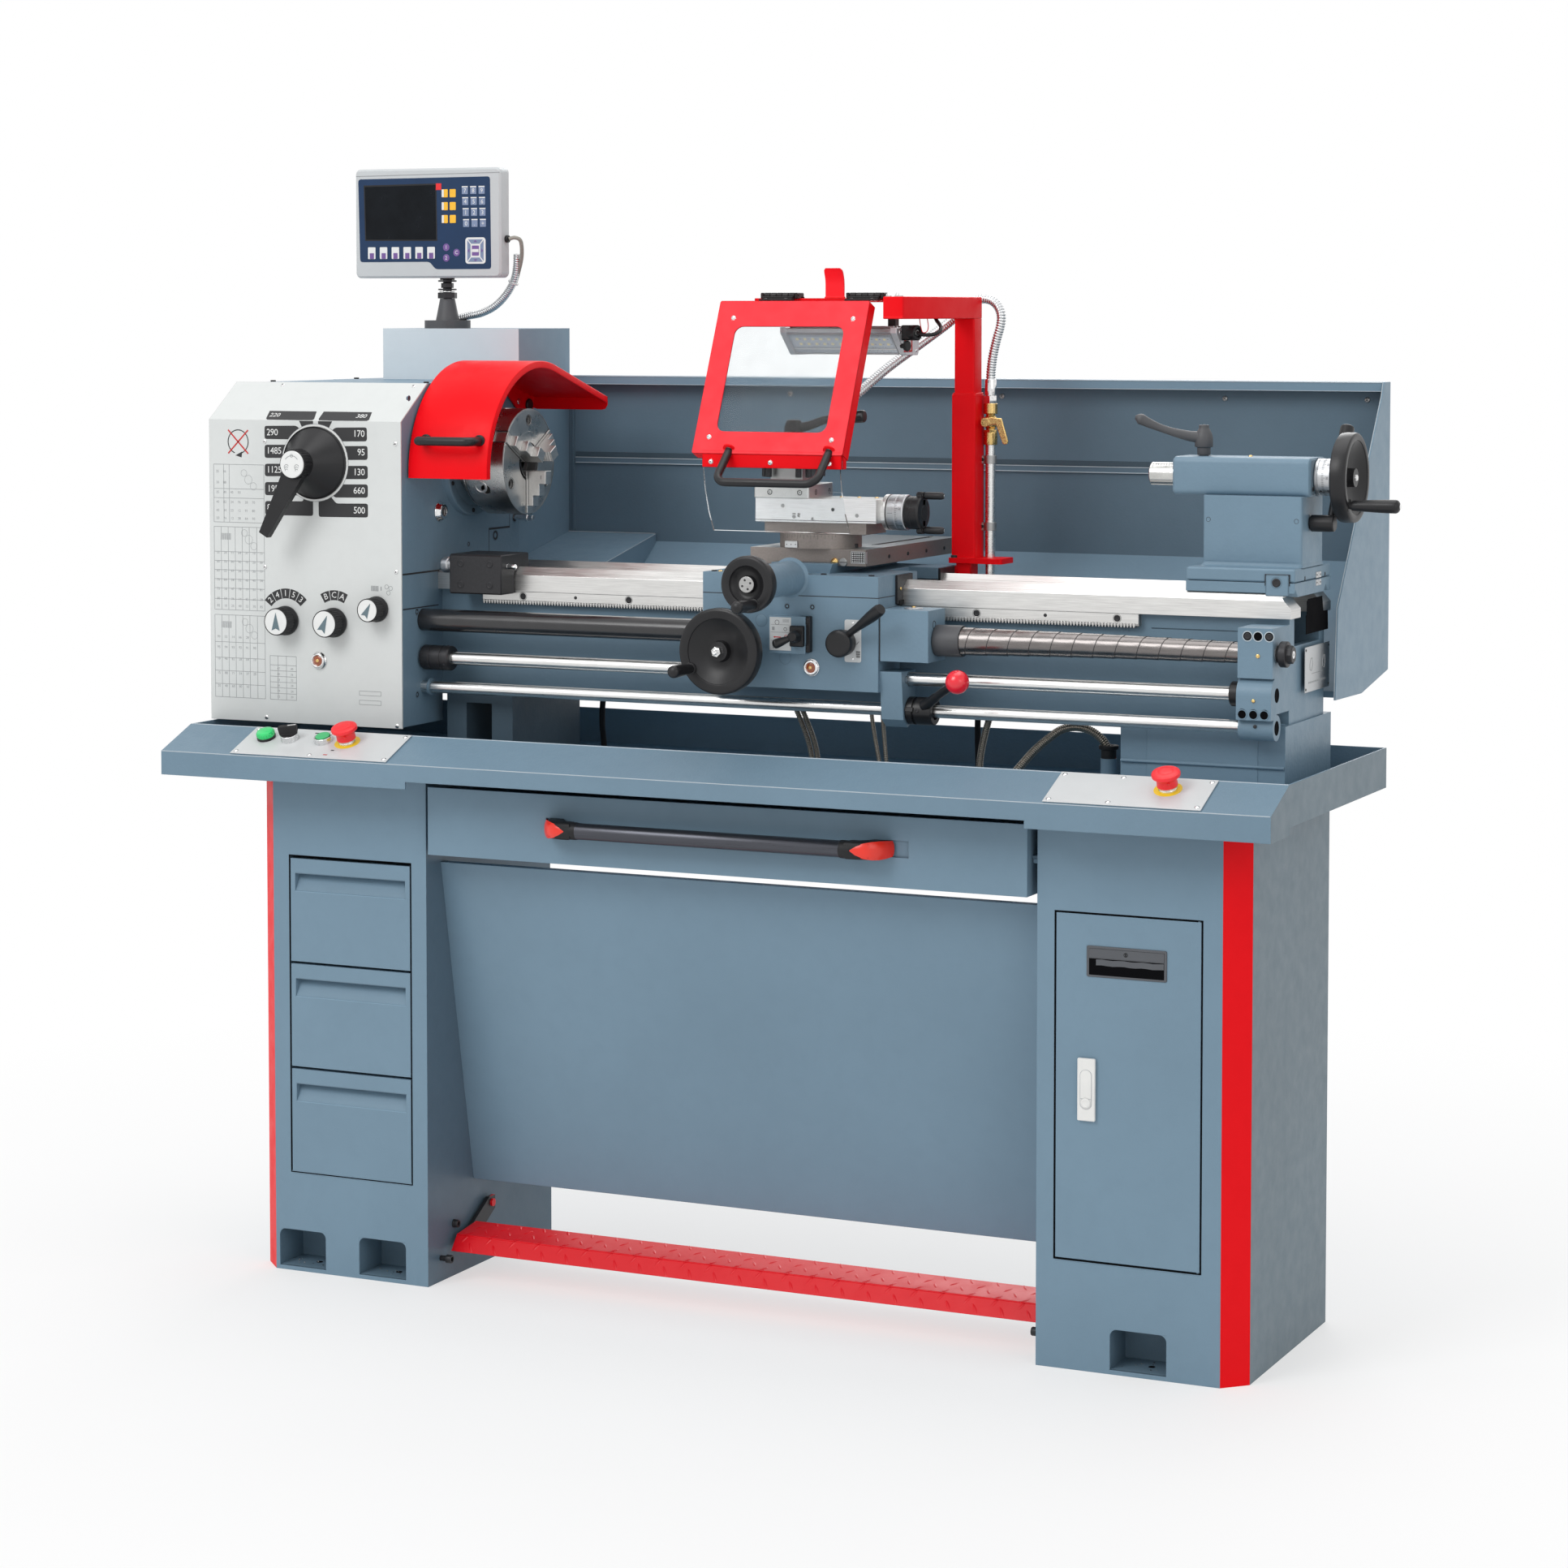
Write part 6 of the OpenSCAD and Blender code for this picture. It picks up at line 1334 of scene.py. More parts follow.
prof += [(16.4, 4), (16.4, 0)]
g.rev(prof, (348, -149, 942), (0.62, -0.62, 0.48), "ball_red", 40)
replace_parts(g.done(), "shift_lever")

# compound crank: graduated thimble, black hub with two turned handles
g = G("compound_crank_shape", "compound_crank", "black_plastic")
g.rev([(-36, 0), (-36, 6), (0, 6)], (186.5, TOP_Y, TOP_Z), XP, "ground", 20)
g.rev([(0, 0), (0, 23), (1, 25.5), (3, 26), (13.4, 26), (13.9, 25.4), (14.4, 26), (26, 26), (27.4, 25),
       (27.5, 20)], (186.5, TOP_Y, TOP_Z), XP, "satin_alloy", 64)
ticks(g, (200.9, TOP_Y, TOP_Z), XP, 26, 0.6, 60, size=3.0, short=3.0, mid=4.2, long=5.4)
ticks(g, (186.5, TOP_Y, TOP_Z), XP, 26, 4, 8, labels=False, short=8, mid=8, long=8)
g.rev([(0, 20), (0, 22), (1, 23.5), (3, 24), (9, 24), (9.5, 23.4), (10, 24), (21, 24), (23, 22.6), (23.8, 19),
       (23.8, 0)], (214, TOP_Y, TOP_Z), XP, "black", 48)
g.rev([(0, 0), (0, 12), (0.8, 11.6), (0.9, 0)], (237.4, TOP_Y, TOP_Z), XP, "black_matt", 28)
for s in (-1, 1):
    z = TOP_Z + s * 25
    g.box((227, -14, min(z - s * 22, z + s * 5.4)), (237.8, -2, max(z - s * 22, z + s * 5.4)), "black", 2.2)
    g.rev([(0, 0), (0, 5.4), (1, 5.5), (10, 5.5), (10, 0)], (228, TOP_Y, z), XP, "black", 22)
    g.rev([(0, 0), (0, 4.2), (1.2, 5.0), (5, 5.5), (24, 5.5), (28, 5.0), (30.2, 3.6), (31, 0)],
          (238.5, TOP_Y, z), XP, "black", 22)
    g.rev([(0, 0), (0, 2.2), (0.3, 2.0), (0.3, 0)], (269.3, TOP_Y, z), XP, "chrome", 14)
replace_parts(g.done(), "compound_crank")

# apron face: plugs, screws, plates, oil glass
g = G("apron_detail", "carriage", "paint_blue")
# dark rings round the plugs and screw heads: painted shade
ring_print(g, 28, 1015, 9.4, 0.7, "blue_dark", APRON_Y, n=28)
g.rev([(0.1, 8.7), (0.3, 8.2), (0.3, 0)], (28, APRON_Y, 1015), YM, "cast", 28)
ring_print(g, 66, 962, 9.4, 0.7, "blue_dark", APRON_Y, n=28)
for x, z in ((69, 1037), (109, 1037)):
    g.rev([(0.0, 4.6), (0.3, 4.2), (-0.6, 3.9)], (x, APRON_Y, z), YM, "blue_dark", 20)
    g.hexscrew((x, APRON_Y + 0.6, z), YM, 3.4, "black_oxide", 1.0)
g.box((-66.3, APRON_Y - 0.15, 1052.2), (212.2, APRON_Y + 0.3, 1053.4), "print_black", 0.1)
g.box((211.8, APRON_Y, 1052.2), (212.15, -55, 1053.4), "print_black", 0.1)
g.rev([(0, 12.5), (1.5, 12.5), (1.6, 11.6), (4.0, 11.6), (5.0, 10.6), (5.4, 9.4), (5.2, 7.8), (3.0, 7.2)],
      (108, APRON_Y, 950), YM, "chrome", 30)
g.rev([(0, 0), (0, 7.8), (3.4, 7.6), (4.4, 5.5), (4.9, 0)], (108, APRON_Y, 950), YM, "oil", 24)
g.rev([(0, 0), (0, 2.8), (5.6, 2.3), (5.8, 0)], (108, APRON_Y, 950), YM, "brass", 12)
# feed chart plate on the block
g.box((48, -129.8, 974), (82, -129.0, 1022), "plate_white", 0.3)
for z in (1011, 1000, 988):
    g.box((50, -129.95, z), (80, -129.75, z + 0.5), "print_grey", 0.1)
ring_print(g, 60, 1014.5, 3.6, 0.6, "print_black", -129.8, n=18, t=0.12)
ring_print(g, 73, 1005, 2.6, 0.6, "print_black", -129.8, n=18, t=0.12)
ring_print(g, 74, 994, 2.8, 0.7, "print_red", -129.8, n=18, t=0.12)
flat(g, [(54, 993.2), (56.5, 994.8), (56.5, 994), (66, 994), (66, 992.6), (56.5, 992.6), (56.5, 991.8)],
     "print_red", -129.8, 0.12)
for k in range(4):
    patch(g, 69, 79, 1015 + 1.2 * k, 1015.5 + 1.2 * k, "print_grey", -129.8, 0.12)
patch(g, 52, 56, 1003, 1008, "print_grey", -129.8, 0.1)
patch(g, 53, 56.5, 977, 985, "print_grey", -129.8, 0.1)
# half nut plate
g.prism(rrect(160, 186, 960, 1021, 3), -115.9, -115, 1, "plate_white", 0.2)
for z in (965, 1016):
    g.rev([(0, 0), (0, 1.7), (0.5, 1.2), (0.6, 0)], (173, -115.9, z), YM, "chrome", 14)
for k in range(5):
    patch(g, 178, 184.5, 967 + 2.0 * k, 968.2 + 2.0 * k, "print_black", -115.9, 0.1)
ring_print(g, 180, 1006, 3.4, 0.6, "print_grey", -115.9, n=16, t=0.12)
flat(g, [(178, 986), (183, 991), (183, 989.5), (179.3, 985.2)], "print_grey", -115.9, 0.1)
# thread dial on top of the housing, sleeve and screws
g.rev([(0, 0), (0, 13.5), (0.8, 13.5), (1.1, 13), (1.1, 3.4), (1.8, 3), (2.0, 1.8), (2.6, 1.6), (2.8, 0)],
      (252, -80, 1037), ZP, "satin_alloy", 36)
g.rev([(2.0, 3.2), (3.4, 2.9), (3.5, 0)], (252, -80, 1037), ZP, "brass", 14)
# one tick of 0.01 mm in the middle, under the cap
ticks(g, (252, -80, 1038.15), ZP, 0.01, 0, 1, labels=False, short=0.01, mid=0.01, long=0.01, w=0.01)
for i in range(12):
    a = math.radians(30 * i)
    d = Vector((math.cos(a), math.sin(a), 0))
    s = Vector((-d.y, d.x, 0)) * 0.22
    o = Vector((252, -80, 1038.2))
    g.add([o + d * 9 - s, o + d * 9 + s, o + d * 12.6 + s, o + d * 12.6 - s], [[0, 3, 2, 1]], "print_black")
g.rev([(0, 6.0), (0.4, 5.6), (0.2, 4.8), (-2, 4.6), (-2, 0)], (288, -90, 1016), XP, "black_oxide", 20)
g.box((212.2, -112.3, 962.8), (214.0, -50.5, 1037.2), "print_black", 0.2)
# bracket of the control rod
for y, z in ((-92, 936), (-72, 936)):
    g.rev([(0, 5.4), (0.4, 5.0), (0.0, 4.2), (-3, 4.0), (-3, 0)], (246, y, z), XP, "black_oxide", 20)
g.done()

# saddle: wipers, screws, collars of the cross feed screw
g = G("saddle_detail", "carriage", "paint_blue")
for x in (-66, 212):
    s = -1 if x < 0 else 1
    for y0 in (-50, 110):
        g.box((min(x, x + s * 4), y0 - 4, 1040), (max(x, x + s * 4), y0 + 52, 1082), "black_oxide", 0.8)
        g.box((min(x, x + s * 5.5), y0 + 1, 1038.4), (max(x, x + s * 5.5), y0 + 47, 1046), "rubber", 0.8)
        for dy in (8, 20, 40):
            g.cross_screw((x + s * 4, y0 + dy, 1062), (s, 0, 0), 2.6, "brass")
for x in (-55, -25, 120, 195):
    g.hexscrew((x, -100, 1083), ZP, 4.2, "black_oxide", 1.6)
g.rev([(0, 0), (0, 3.8), (1.2, 3.6), (2.0, 1.8), (2.1, 0)], (-45, -100, 1083), ZP, "brass", 16)
g.rev([(0, 25.4), (1.5, 25.4), (2.5, 24.8), (2.5, 20)], (CROSS_X, -236, CROSS_Z), YM, "satin_alloy", 40)
g.rev([(0, 24.6), (2, 26.8), (3.5, 29.5)], (CROSS_X, -118, CROSS_Z), YP, "cast", 40)
g.box((-20, -87, 1089), (3, -66, 1092.6), "ground", 0.4)
g.done()
g = G("cross_slide_detail", "cross_slide", "ground_steel")
# front gib screws, chequered scale plate, top slots, swivel scale
g.rev([(0, 0), (0, 5.8), (1.4, 5.6), (6.5, 1.2), (6.7, 0)], (117, -55, 1099), YM, "brass", 22)
g.rev([(0, 0), (0, 6.4), (1.6, 6.2), (2.2, 5.6), (2.2, 0)], (131, -55, 1098.5), YM, "dull_steel", 24)
g.box((125, -57.4, 1097.9), (137, -57.1, 1099.1), "print_black", 0.05)
g.box((143, -55.8, 1097), (165.6, -55, 1114.5), "plate", 0.3)
g.box((144.3, -56.0, 1098.2), (164.4, -55.8, 1113.4), "print_black", 0.05)
for r in range(5):
    for k in range(7):
        c = Vector((146.0 + 2.8 * k, -56.1, 1099.7 + 3.0 * r))
        g.add([c + Vector((1.1, 0, 0)), c + Vector((0, 0, 1.2)), c - Vector((1.1, 0, 0)),
               c - Vector((0, 0, 1.2))], [[0, 1, 2, 3]], "print_white")
g.box((166.0, -54, 1097), (166.6, -50, 1114), "plate", 0.1)
for y in (30, 100, 170, 240):
    g.cross_screw((166, y, 1103), XP, 3.0, "black_oxide")
for x in (22, 126):
    g.box((x - 1.2, 60, 1116.7), (x + 1.2, 290, 1117.25), "print_black", 0.1)
for i in range(-9, 10):
    a = math.radians(-90 + 5 * i)
    d = Vector((math.cos(a), math.sin(a), 0))
    s = Vector((-d.y, d.x, 0)) * 0.2
    o = Vector((74, -8, 1138)) + d * 60.1
    h = 7 if i % 2 == 0 else 4
    g.add([o - s, o + s, o + s - Vector((0, 0, h)), o - s - Vector((0, 0, h))], [[0, 3, 2, 1]], "print_black")
g.box((44, -69.2, 1118.4), (64, -66.0, 1128), "plate", 0.3)
for x in (47, 54, 61):
    g.rev([(0, 0), (0, 0.9), (0.2, 0.8), (0.2, 0)], (x, -69.2, 1123), YM, "print_black", 10)
for x in (18, 130):
    g.hexscrew((x, -14, 1117), ZP, 6, "black_oxide", 6)
g.done()
g = G("compound_detail", "compound_slide", "ground_steel")
for x, z, m in ((32, 1178, "dull_steel"), (50, 1163, "dull_steel"), (112, 1174, "print_black"),
                (150, 1166, "dull_steel")):
    g.rev([(0.05, 2.9), (0.3, 2.5), (-1.0, 2.3)], (x, -50, z), YM, "dull_steel", 18)
    g.rev([(0, 0), (0, 2.4), (0.12, 2.4), (0.13, 0)], (x, -50, z), YM, m, 18)
for x in (100, 128, 156):
    g.rev([(0, 0), (0, 3.2), (0.8, 3.0), (1.6, 1.4), (1.7, 0)], (x, 8, 1189), ZP, "brass", 16)
g.box((-12, -50.2, 1157.4), (180, -49.9, 1158.2), "print_black", 0.05)
g.done()

# ---------------------------------------------------------------- chip shield, its post, lamp, coolant
POST, PIPE = (226, 187), (257, 200)  # axes of the shield's post and the coolant riser, x and y
TILT_SIN, TILT_COS = 0.40306, 0.91518  # of the shield, against the vertical


def on_shield(u, v, w):
    """Point of the tilted frame: u along x, v up from the lower edge line's top, w into the frame."""
    return Vector((u, -80 + w * TILT_COS + v * TILT_SIN, 1476 - w * TILT_SIN + v * TILT_COS))


def ring_plate(g, outer, inner, at, w0, w1, m):
    """Flat plate with a hole; both outlines have the same number of points."""
    n = len(outer)
    vs = [at(p[0], p[1], w) for w in (w0, w1) for loop in (outer, inner) for p in loop]
    fs = []
    for i in range(n):
        j = (i + 1) % n
        fs += [[i, j, n + j, n + i], [2 * n + i, 3 * n + i, 3 * n + j, 2 * n + j], [i, 2 * n + i, 2 * n + j, j],
               [n + i, n + j, 3 * n + j, 3 * n + i]]
    g.add(vs, fs, m)


g = G("chip_shield_shape", "chip_shield", "paint_red")
# shield frame: front face in a lighter red as painted highlight, back layer in a darker red as painted shade
ring_plate(g, rrect(-54, 183, -238.2, 0, 3.0, 6), rrect(-22, 151, -204.2, -40, 13, 6), on_shield, 0, 1.0,
           "red_face")
ring_plate(g, rrect(-53.7, 182.7, -237.9, -0.3, 3.0, 6), rrect(-22, 151, -204.2, -40, 13, 6), on_shield, 1.0,
           2.2, "red_dark")
RS = Matrix.Rotation(-math.atan2(96, 218), 3, "X")
O = Vector((0, -80, 1476))
for lo, hi in (((-54, 1, -237.6), (-52, 22, -0.6)), ((181, 1, -237.6), (183, 22, -0.6)),
               ((-53, 1, -238.2), (182, 20, -236.4))):
    g.box(Vector(lo) + O, Vector(hi) + O, "red", 0.6, RS, O)
g.box((-53, -80, 1474), (182, -23, 1476.1), "red", 0.6)
g.box((-38, -174.2, 1238), (181, -171.2, 1262), "red", 0.6)
g.box((181, -171.2, 1238), (182.4, -160, 1262), "red", 0.4)
for u, v in ((-28, -27), (162, -28), (-31, -213), (162, -215)):
    p = on_shield(u, v, 0)
    g.rev([(0, 0), (0, 3.9), (0.8, 3.7), (1.9, 2.6), (2.3, 1.0), (2.35, 0)], p, (0, -TILT_COS, TILT_SIN),
          "chrome", 18)
    for a in (0, 90):
        k0 = len(g.v)
        g.box(p + Vector((-1.7, -2.5, -0.3)), p + Vector((1.7, -2.2, 0.3)), "print_black", 0.05)
        turned_part(g, k0, Matrix.Rotation(math.radians(a + 20), 3, "Y"), p)
for x in (-24, 70, 162):
    g.rev([(0, 0), (0, 3.9), (0.8, 3.7), (1.9, 2.6), (2.3, 1.0), (2.35, 0)], (x, -174.2, 1246), YM, "chrome",
          18)
    k0 = len(g.v)
    g.box((x - 1.7, -176.7, 1245.7), (x + 1.7, -176.3, 1246.3), "print_black", 0.05)
    g.box((x - 0.3, -176.7, 1244.3), (x + 0.3, -176.3, 1247.7), "print_black", 0.05)
    turned_part(g, k0, Matrix.Rotation(math.radians(35), 3, "Y"), (x, -174, 1246))
g.tube(arc_path([(4, -170, 1264), (4, -219, 1219), (161, -219, 1219), (161, -170, 1264)], 17, 8), 6, "black",
       20)
for x in (4, 161):
    g.rev([(0, 9), (2.0, 9), (2.6, 8), (2.6, 5)], (x, -171.5, 1265.3), (0, -0.74, -0.67), "red", 24)
for x in (13, 150):
    g.box((x - 25, -40, 1476), (x + 25, -23.5, 1478.8), "black_matt", 0.7)
    for dx in (-16, 16):
        g.cross_screw((x + dx, -34, 1478.8), ZP, 2.6, "black_oxide")
    for k in range(5):
        a = x - 24 + 9.7 * k
        g.rev([(0, 2.2), (0, 3.6), (0.5, 4.1), (8.7, 4.1), (9.2, 3.6), (9.2, 2.2)], (a, -19, 1484), XP,
              "black_matt" if k % 2 == 0 else "black", 24)
    g.box((x - 24, -29, 1476.5), (x + 24, -20, 1482.6), "black_matt", 0.8)
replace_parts(g.done(), "chip_shield")

# post, arm, hinge bar and tab
g = G("shield_post_shape", "carriage", "paint_red")
g.prism(square(*POST, 19, 3.0), 1093, 1337.6, 2, "red", 1.2)
g.prism(square(*POST, 16, 3.0), 1337, 1450, 2, "red", 0.3)
# welded joint between sleeve and tube
W = square(*POST, 17.2, 3.5, 8)
wp = [Vector((p[0], p[1], 1338.2 + 0.5 * math.sin(i * 2.1))) for i, p in enumerate(W)]
g.tube(wp + [wp[0]], 1.5, "red", 8, False)
# arm: plate sides, round front corner, closed end
g.prism([(242, 201), (240.5, 203), (211.5, 203), (210, 201), (210, -94), (211, -96), (236, -96), (240, -94.5),
         (242, -91)], 1450, 1482, 2, "red", 1.0)
g.prism([(-98, 1451), (-90, 1451), (-90, 1458)], 211, 241, 0, "red", 0.2)
g.box((-30, -16, 1474), (211, 14, 1480), "red", 0.8)
for x, y in ((214, -84), (222, -70), (232, -84)):
    g.rev([(0, 4.8), (1.0, 4.8), (1.2, 4.2)], (x, y, 1482), ZP, "dull_steel", 20)
    g.rev([(1.0, 0), (1.0, 3.9), (3.8, 3.7), (4.2, 2.4), (5.6, 2.0), (5.8, 0)], (x, y, 1482), ZP, "chrome", 6)
for x in (13, 150):
    for s in (-1, 1):
        g.box((x + s * 27.3 - 2.7, -23, 1479), (x + s * 27.3 + 2.7, 0, 1488), "black_matt", 1.2)
    g.box((x - 30, -12, 1479.8), (x + 30, 2, 1482.2), "black_matt", 0.6)
    for dx in (-18, 18):
        g.cross_screw((x + dx, -5, 1482.2), ZP, 2.8, "black_oxide")
    g.cyl((x - 30, -19, 1484), XP, 2, 60, "dull_steel")
# bent tab, in the lighter red as painted highlight
prof = [(5, 1478), (5, 1500), (4.4, 1506), (3.0, 1511), (1.0, 1516), (-1.6, 1520.5), (-3.6, 1523.6),
        (-1.7, 1523.9), (0.9, 1520.9), (3.1, 1516.9), (5.1, 1512), (6.9, 1506.6), (7.6, 1500), (7.6, 1478)]
n = len(prof) // 2
vs, fs = [], []
for (fy, fz), (by, bz) in zip(prof[:n], prof[:n - 1:-1]):
    t = max(0.0, (fz - 1517) / 6.6)
    h = 14.8 - 3.4 * (1 - math.sqrt(max(0.0, 1 - t * t)))
    vs += [(89.8 - h, fy, fz), (89.8 + h, fy, fz), (89.8 + h, by, bz), (89.8 - h, by, bz)]
for i in range(n - 1):
    a, b = 4 * i, 4 * i + 4
    fs += [[a, a + 1, b + 1, b], [a + 1, a + 2, b + 2, b + 1], [a + 2, a + 3, b + 3, b + 2],
           [a + 3, a, b, b + 3]]
fs += [[3, 2, 1, 0], [4 * n - 4, 4 * n - 3, 4 * n - 2, 4 * n - 1]]
g.add(vs, fs, "red_face")
g.tube([(74, 5.5, 1480.6), (106, 5.5, 1480.6)], 1.7, "red", 8)
# foot of the post
foot = rrect(204, 290, 163, 213, 4, 8)
hole = []
for p in foot:
    d = Vector((p[0] - PIPE[0], p[1] - PIPE[1])).normalized()
    hole.append((PIPE[0] + 7.9 * d.x, PIPE[1] + 7.9 * d.y))
ring_plate(g, foot, hole, lambda u, v, w: Vector((u, v, w)), 1094, 1086, "red")
g.box((214, 170, 1046), (238, 199, 1086.5), "red", 1.2)
g.box((150, 170, 1046), (214.5, 178, 1082), "red", 1.0)
for y in (168, 208):
    g.hexscrew((212, y, 1094), ZP, 5, "black_oxide", 4)
for x in (165, 196):
    g.hexscrew((x, 178, 1064), YP, 5, "black_oxide", 4)
# clips on the outer side that hold the coolant tube
for z in (1140, 1240):
    g.box((243, 196, z - 6), (250.5, 198, z + 6), "dull_steel", 0.4)
    g.rev([(0, 7.6), (0, 9.2), (12, 9.2), (12, 7.6)], (*PIPE, z - 6), ZP, "dull_steel", 28)
    g.hexscrew((246, 196, z), YM, 2.4, "black_oxide", 1.6)
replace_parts(g.done(), "shield_post")

# lamp
g = G("work_lamp_shape", "carriage", "lamp_alloy")
LP = [(-34, 1436), (-34, 1430.5), (-32, 1428), (0, 1399.2), (3, 1398), (44, 1398), (46.5, 1400), (50, 1430),
      (50, 1436)]
g.prism(LP, 29, 196, 0, "satin_alloy", 0.2)
for k in range(6):
    g.box((30, -22 + 12 * k, 1436), (195, -18 + 12 * k, 1439.5), "satin_alloy", 0.5)
cap = [(-34.6, 1437.5), (-34.6, 1429.6), (-32.2, 1426.8), (-0.4, 1398.3), (2.6, 1397.2), (44.6, 1397.2),
       (47.4, 1399.6), (50.6, 1430), (50.6, 1437.5)]
for a, b in ((20, 30), (195, 205)):
    g.prism(cap, a, b, 0, "lamp_alloy2", 0.8)
sl = Vector((0, 32, -28.8)).normalized()
nn = Vector((0, -28.8, -32)).normalized()


def lamp_pt(x, s, off):
    return Vector((x, -32, 1428)) + sl * s + nn * off


def lamp_quad(x0, x1, s0, s1, off, m):
    g.add([lamp_pt(x0, s0, off), lamp_pt(x0, s1, off), lamp_pt(x1, s1, off), lamp_pt(x1, s0, off)],
          [[0, 1, 2, 3]], m)


lamp_quad(31, 194, 2, 41, 0.15, "lamp_pan")
lamp_quad(31, 194, 31.5, 33.5, 0.35, "print_white")
lamp_quad(34, 191, 6.5, 27.5, 0.3, "lamp_board")
for r in range(2):
    for i in range(12):
        x = 43 + 12.6 * i + (3 if r else 0)
        lamp_quad(x - 2.2, x + 2.2, 9.0 + 10.5 * r, 13.4 + 10.5 * r, 0.6, "lamp_led")
        lamp_quad(x + 4.0, x + 6.2, 10.4 + 10.5 * r, 11.4 + 10.5 * r, 0.5, "print_grey")
for s0, s1 in ((-0.5, 1.6), (41, 43.2)):
    g.add([lamp_pt(30, s0, 1.2), lamp_pt(30, s1, 1.2), lamp_pt(195, s1, 1.2), lamp_pt(195, s0, 1.2),
           lamp_pt(30, s0, -0.5), lamp_pt(195, s0, -0.5), lamp_pt(30, s1, -0.5), lamp_pt(195, s1, -0.5)],
          [[0, 1, 2, 3], [0, 3, 5, 4], [1, 6, 7, 2]], "satin_alloy")
for y, z in ((-22, 1431), (40, 1431), (38, 1404), (8, 1404)):
    g.cross_screw((205, y, z), XP, 2.6, "chrome")
    g.cross_screw((20, y, z), XM, 2.6, "chrome")
g.box((100, -4, 1436), (112, 10, 1474.2), "black_oxide", 0.8)
g.box((178, -4, 1436), (190, 10, 1474.2), "black_oxide", 0.8)
for x in (106, 184):
    g.rev([(0, 5.4), (3, 5.2), (3.4, 4.6), (3.4, 0)], (x, -4, 1462), YM, "black_oxide", 6)
# black elbow gland and knob on the end
g.box((203, -16, 1419), (219, 4, 1441), "black_matt", 2.2)
g.rev([(0, 11), (2, 11.2), (14, 11.2), (15, 10.2), (15, 7.4), (12, 6.8), (12, 4)], (214, -6, 1430),
      (0.96, -0.28, 0), "black_matt", 26)
g.rev([(11.8, 7.4), (11.8, 4), (14, 4), (14, 3)], (214, -6, 1430), (0.96, -0.28, 0), "dull_steel", 22)
g.rev([(0, 3.4), (8, 3.4), (8, 7.5), (12, 8), (13, 7), (13, 0)], (203.5, -14, 1411), (1, -0.2, 0), "black_matt",
      8)
g.box((204, -6, 1402), (206.2, 22, 1424), "print_red", 0.3)
g.box((206, 0, 1405), (206.5, 16, 1421), "print_white", 0.2)
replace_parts(g.done(), "work_lamp")
g = G("lamp_cable", "carriage", "black_plastic")
LAMP_CABLE = smooth_path([(227, -10, 1430), (238, -9, 1427), (249, 1, 1428), (252, 16, 1433), (246, 31, 1440),
                          (236, 42, 1447), (230, 50, 1452)], 6)
g.tube(LAMP_CABLE, 2.8, "black_matt", 12)
g.done()
g = G("lamp_wire", "carriage", "paint_red")
LAMP_WIRE = smooth_path([(228, -4, 1451), (229.5, -5, 1444), (232, -7, 1436), (236, -9.5, 1430.2),
                         (241, -6.8, 1432), (241, -2, 1439), (238, 3, 1446), (236, 6, 1451)], 5)
g.tube(LAMP_WIRE, 0.7, "red_plastic", 8)
g.done()

# coolant: riser tube, valve, hose over the post to the nozzle
g = G("coolant_pipe_shape", "carriage", "ground_steel")
g.rev([(1068, 5.5), (1068, 7.5), (1266, 7.5)], (*PIPE, 0), ZP, "rod_steel", 32)
g.rev([(1060, 6), (1060, 8.4), (1062, 9), (1066, 9), (1067, 8)], (*PIPE, 0), ZP, "rubber", 24)
g.rev([(1262, 7.5), (1262, 9.6), (1263.4, 10.2), (1280, 10.2), (1281, 9.4)], (*PIPE, 0), ZP, "brass", 32)
g.rev([(1280.6, 8.0), (1280.6, 11.0), (1284.4, 11.0), (1284.8, 8.0)], (*PIPE, 0), ZP, "brass", 6)
g.rev([(1284, 7.0), (1286, 6.6), (1288.4, 8.2), (1290.6, 10.4), (1293, 11.7), (1296, 12.2), (1299, 11.7),
       (1301.4, 10.4), (1303.6, 8.2), (1306, 6.6), (1308, 7)], (*PIPE, 0), ZP, "brass", 32)
g.rev([(1307.6, 7), (1308, 9.4), (1309, 10.3), (1323, 10.3), (1324, 9.6), (1324, 7)], (*PIPE, 0), ZP, "brass",
      32)
g.rev([(0, 5), (12.5, 5), (12.5, 6), (15, 6), (15, 4.6), (18, 4.4), (19.5, 3), (19.6, 0)], (*PIPE, 1296),
      (-1, 0.05, 0), "brass", 24)
g.rev([(1324, 8), (1324, 10.4), (1325, 10.8), (1334, 10.8), (1335, 10.2), (1335, 8)], (*PIPE, 0), ZP, "chrome",
      6)
g.rev([(1334, 6), (1335, 7.4), (1336, 8.6), (1337.5, 8.9), (1358, 8.7), (1360, 8.0), (1360, 6.4)], (*PIPE, 0),
      ZP, "chrome", 32)
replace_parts(g.done(), "coolant_pipe")
g = G("valve_lever_shape", "valve_lever", "brass")
g.rev([(0, 4.4), (10, 4.4), (10, 6.4), (13, 6.4), (13, 4.2)], (257, 190, 1296), YM, "brass", 28)
g.rev([(0, 6.0), (4, 6.0), (4.6, 5.2), (4.6, 0)], (257, 182.5, 1296), YM, "brass", 6)
g.prism([(250.5, 1291), (249, 1296), (250.5, 1301), (255, 1303.5), (262, 1303), (281.5, 1302.5), (283, 1301),
         (293.4, 1268), (292, 1264.4), (288, 1263.4), (284.8, 1265), (274, 1292.6), (262, 1291.4),
         (256, 1288.6)], 178, 182, 1, "brass", 0.9)
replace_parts(g.done(), "valve_lever")
g = G("coolant_hose", "carriage", "ground_steel")
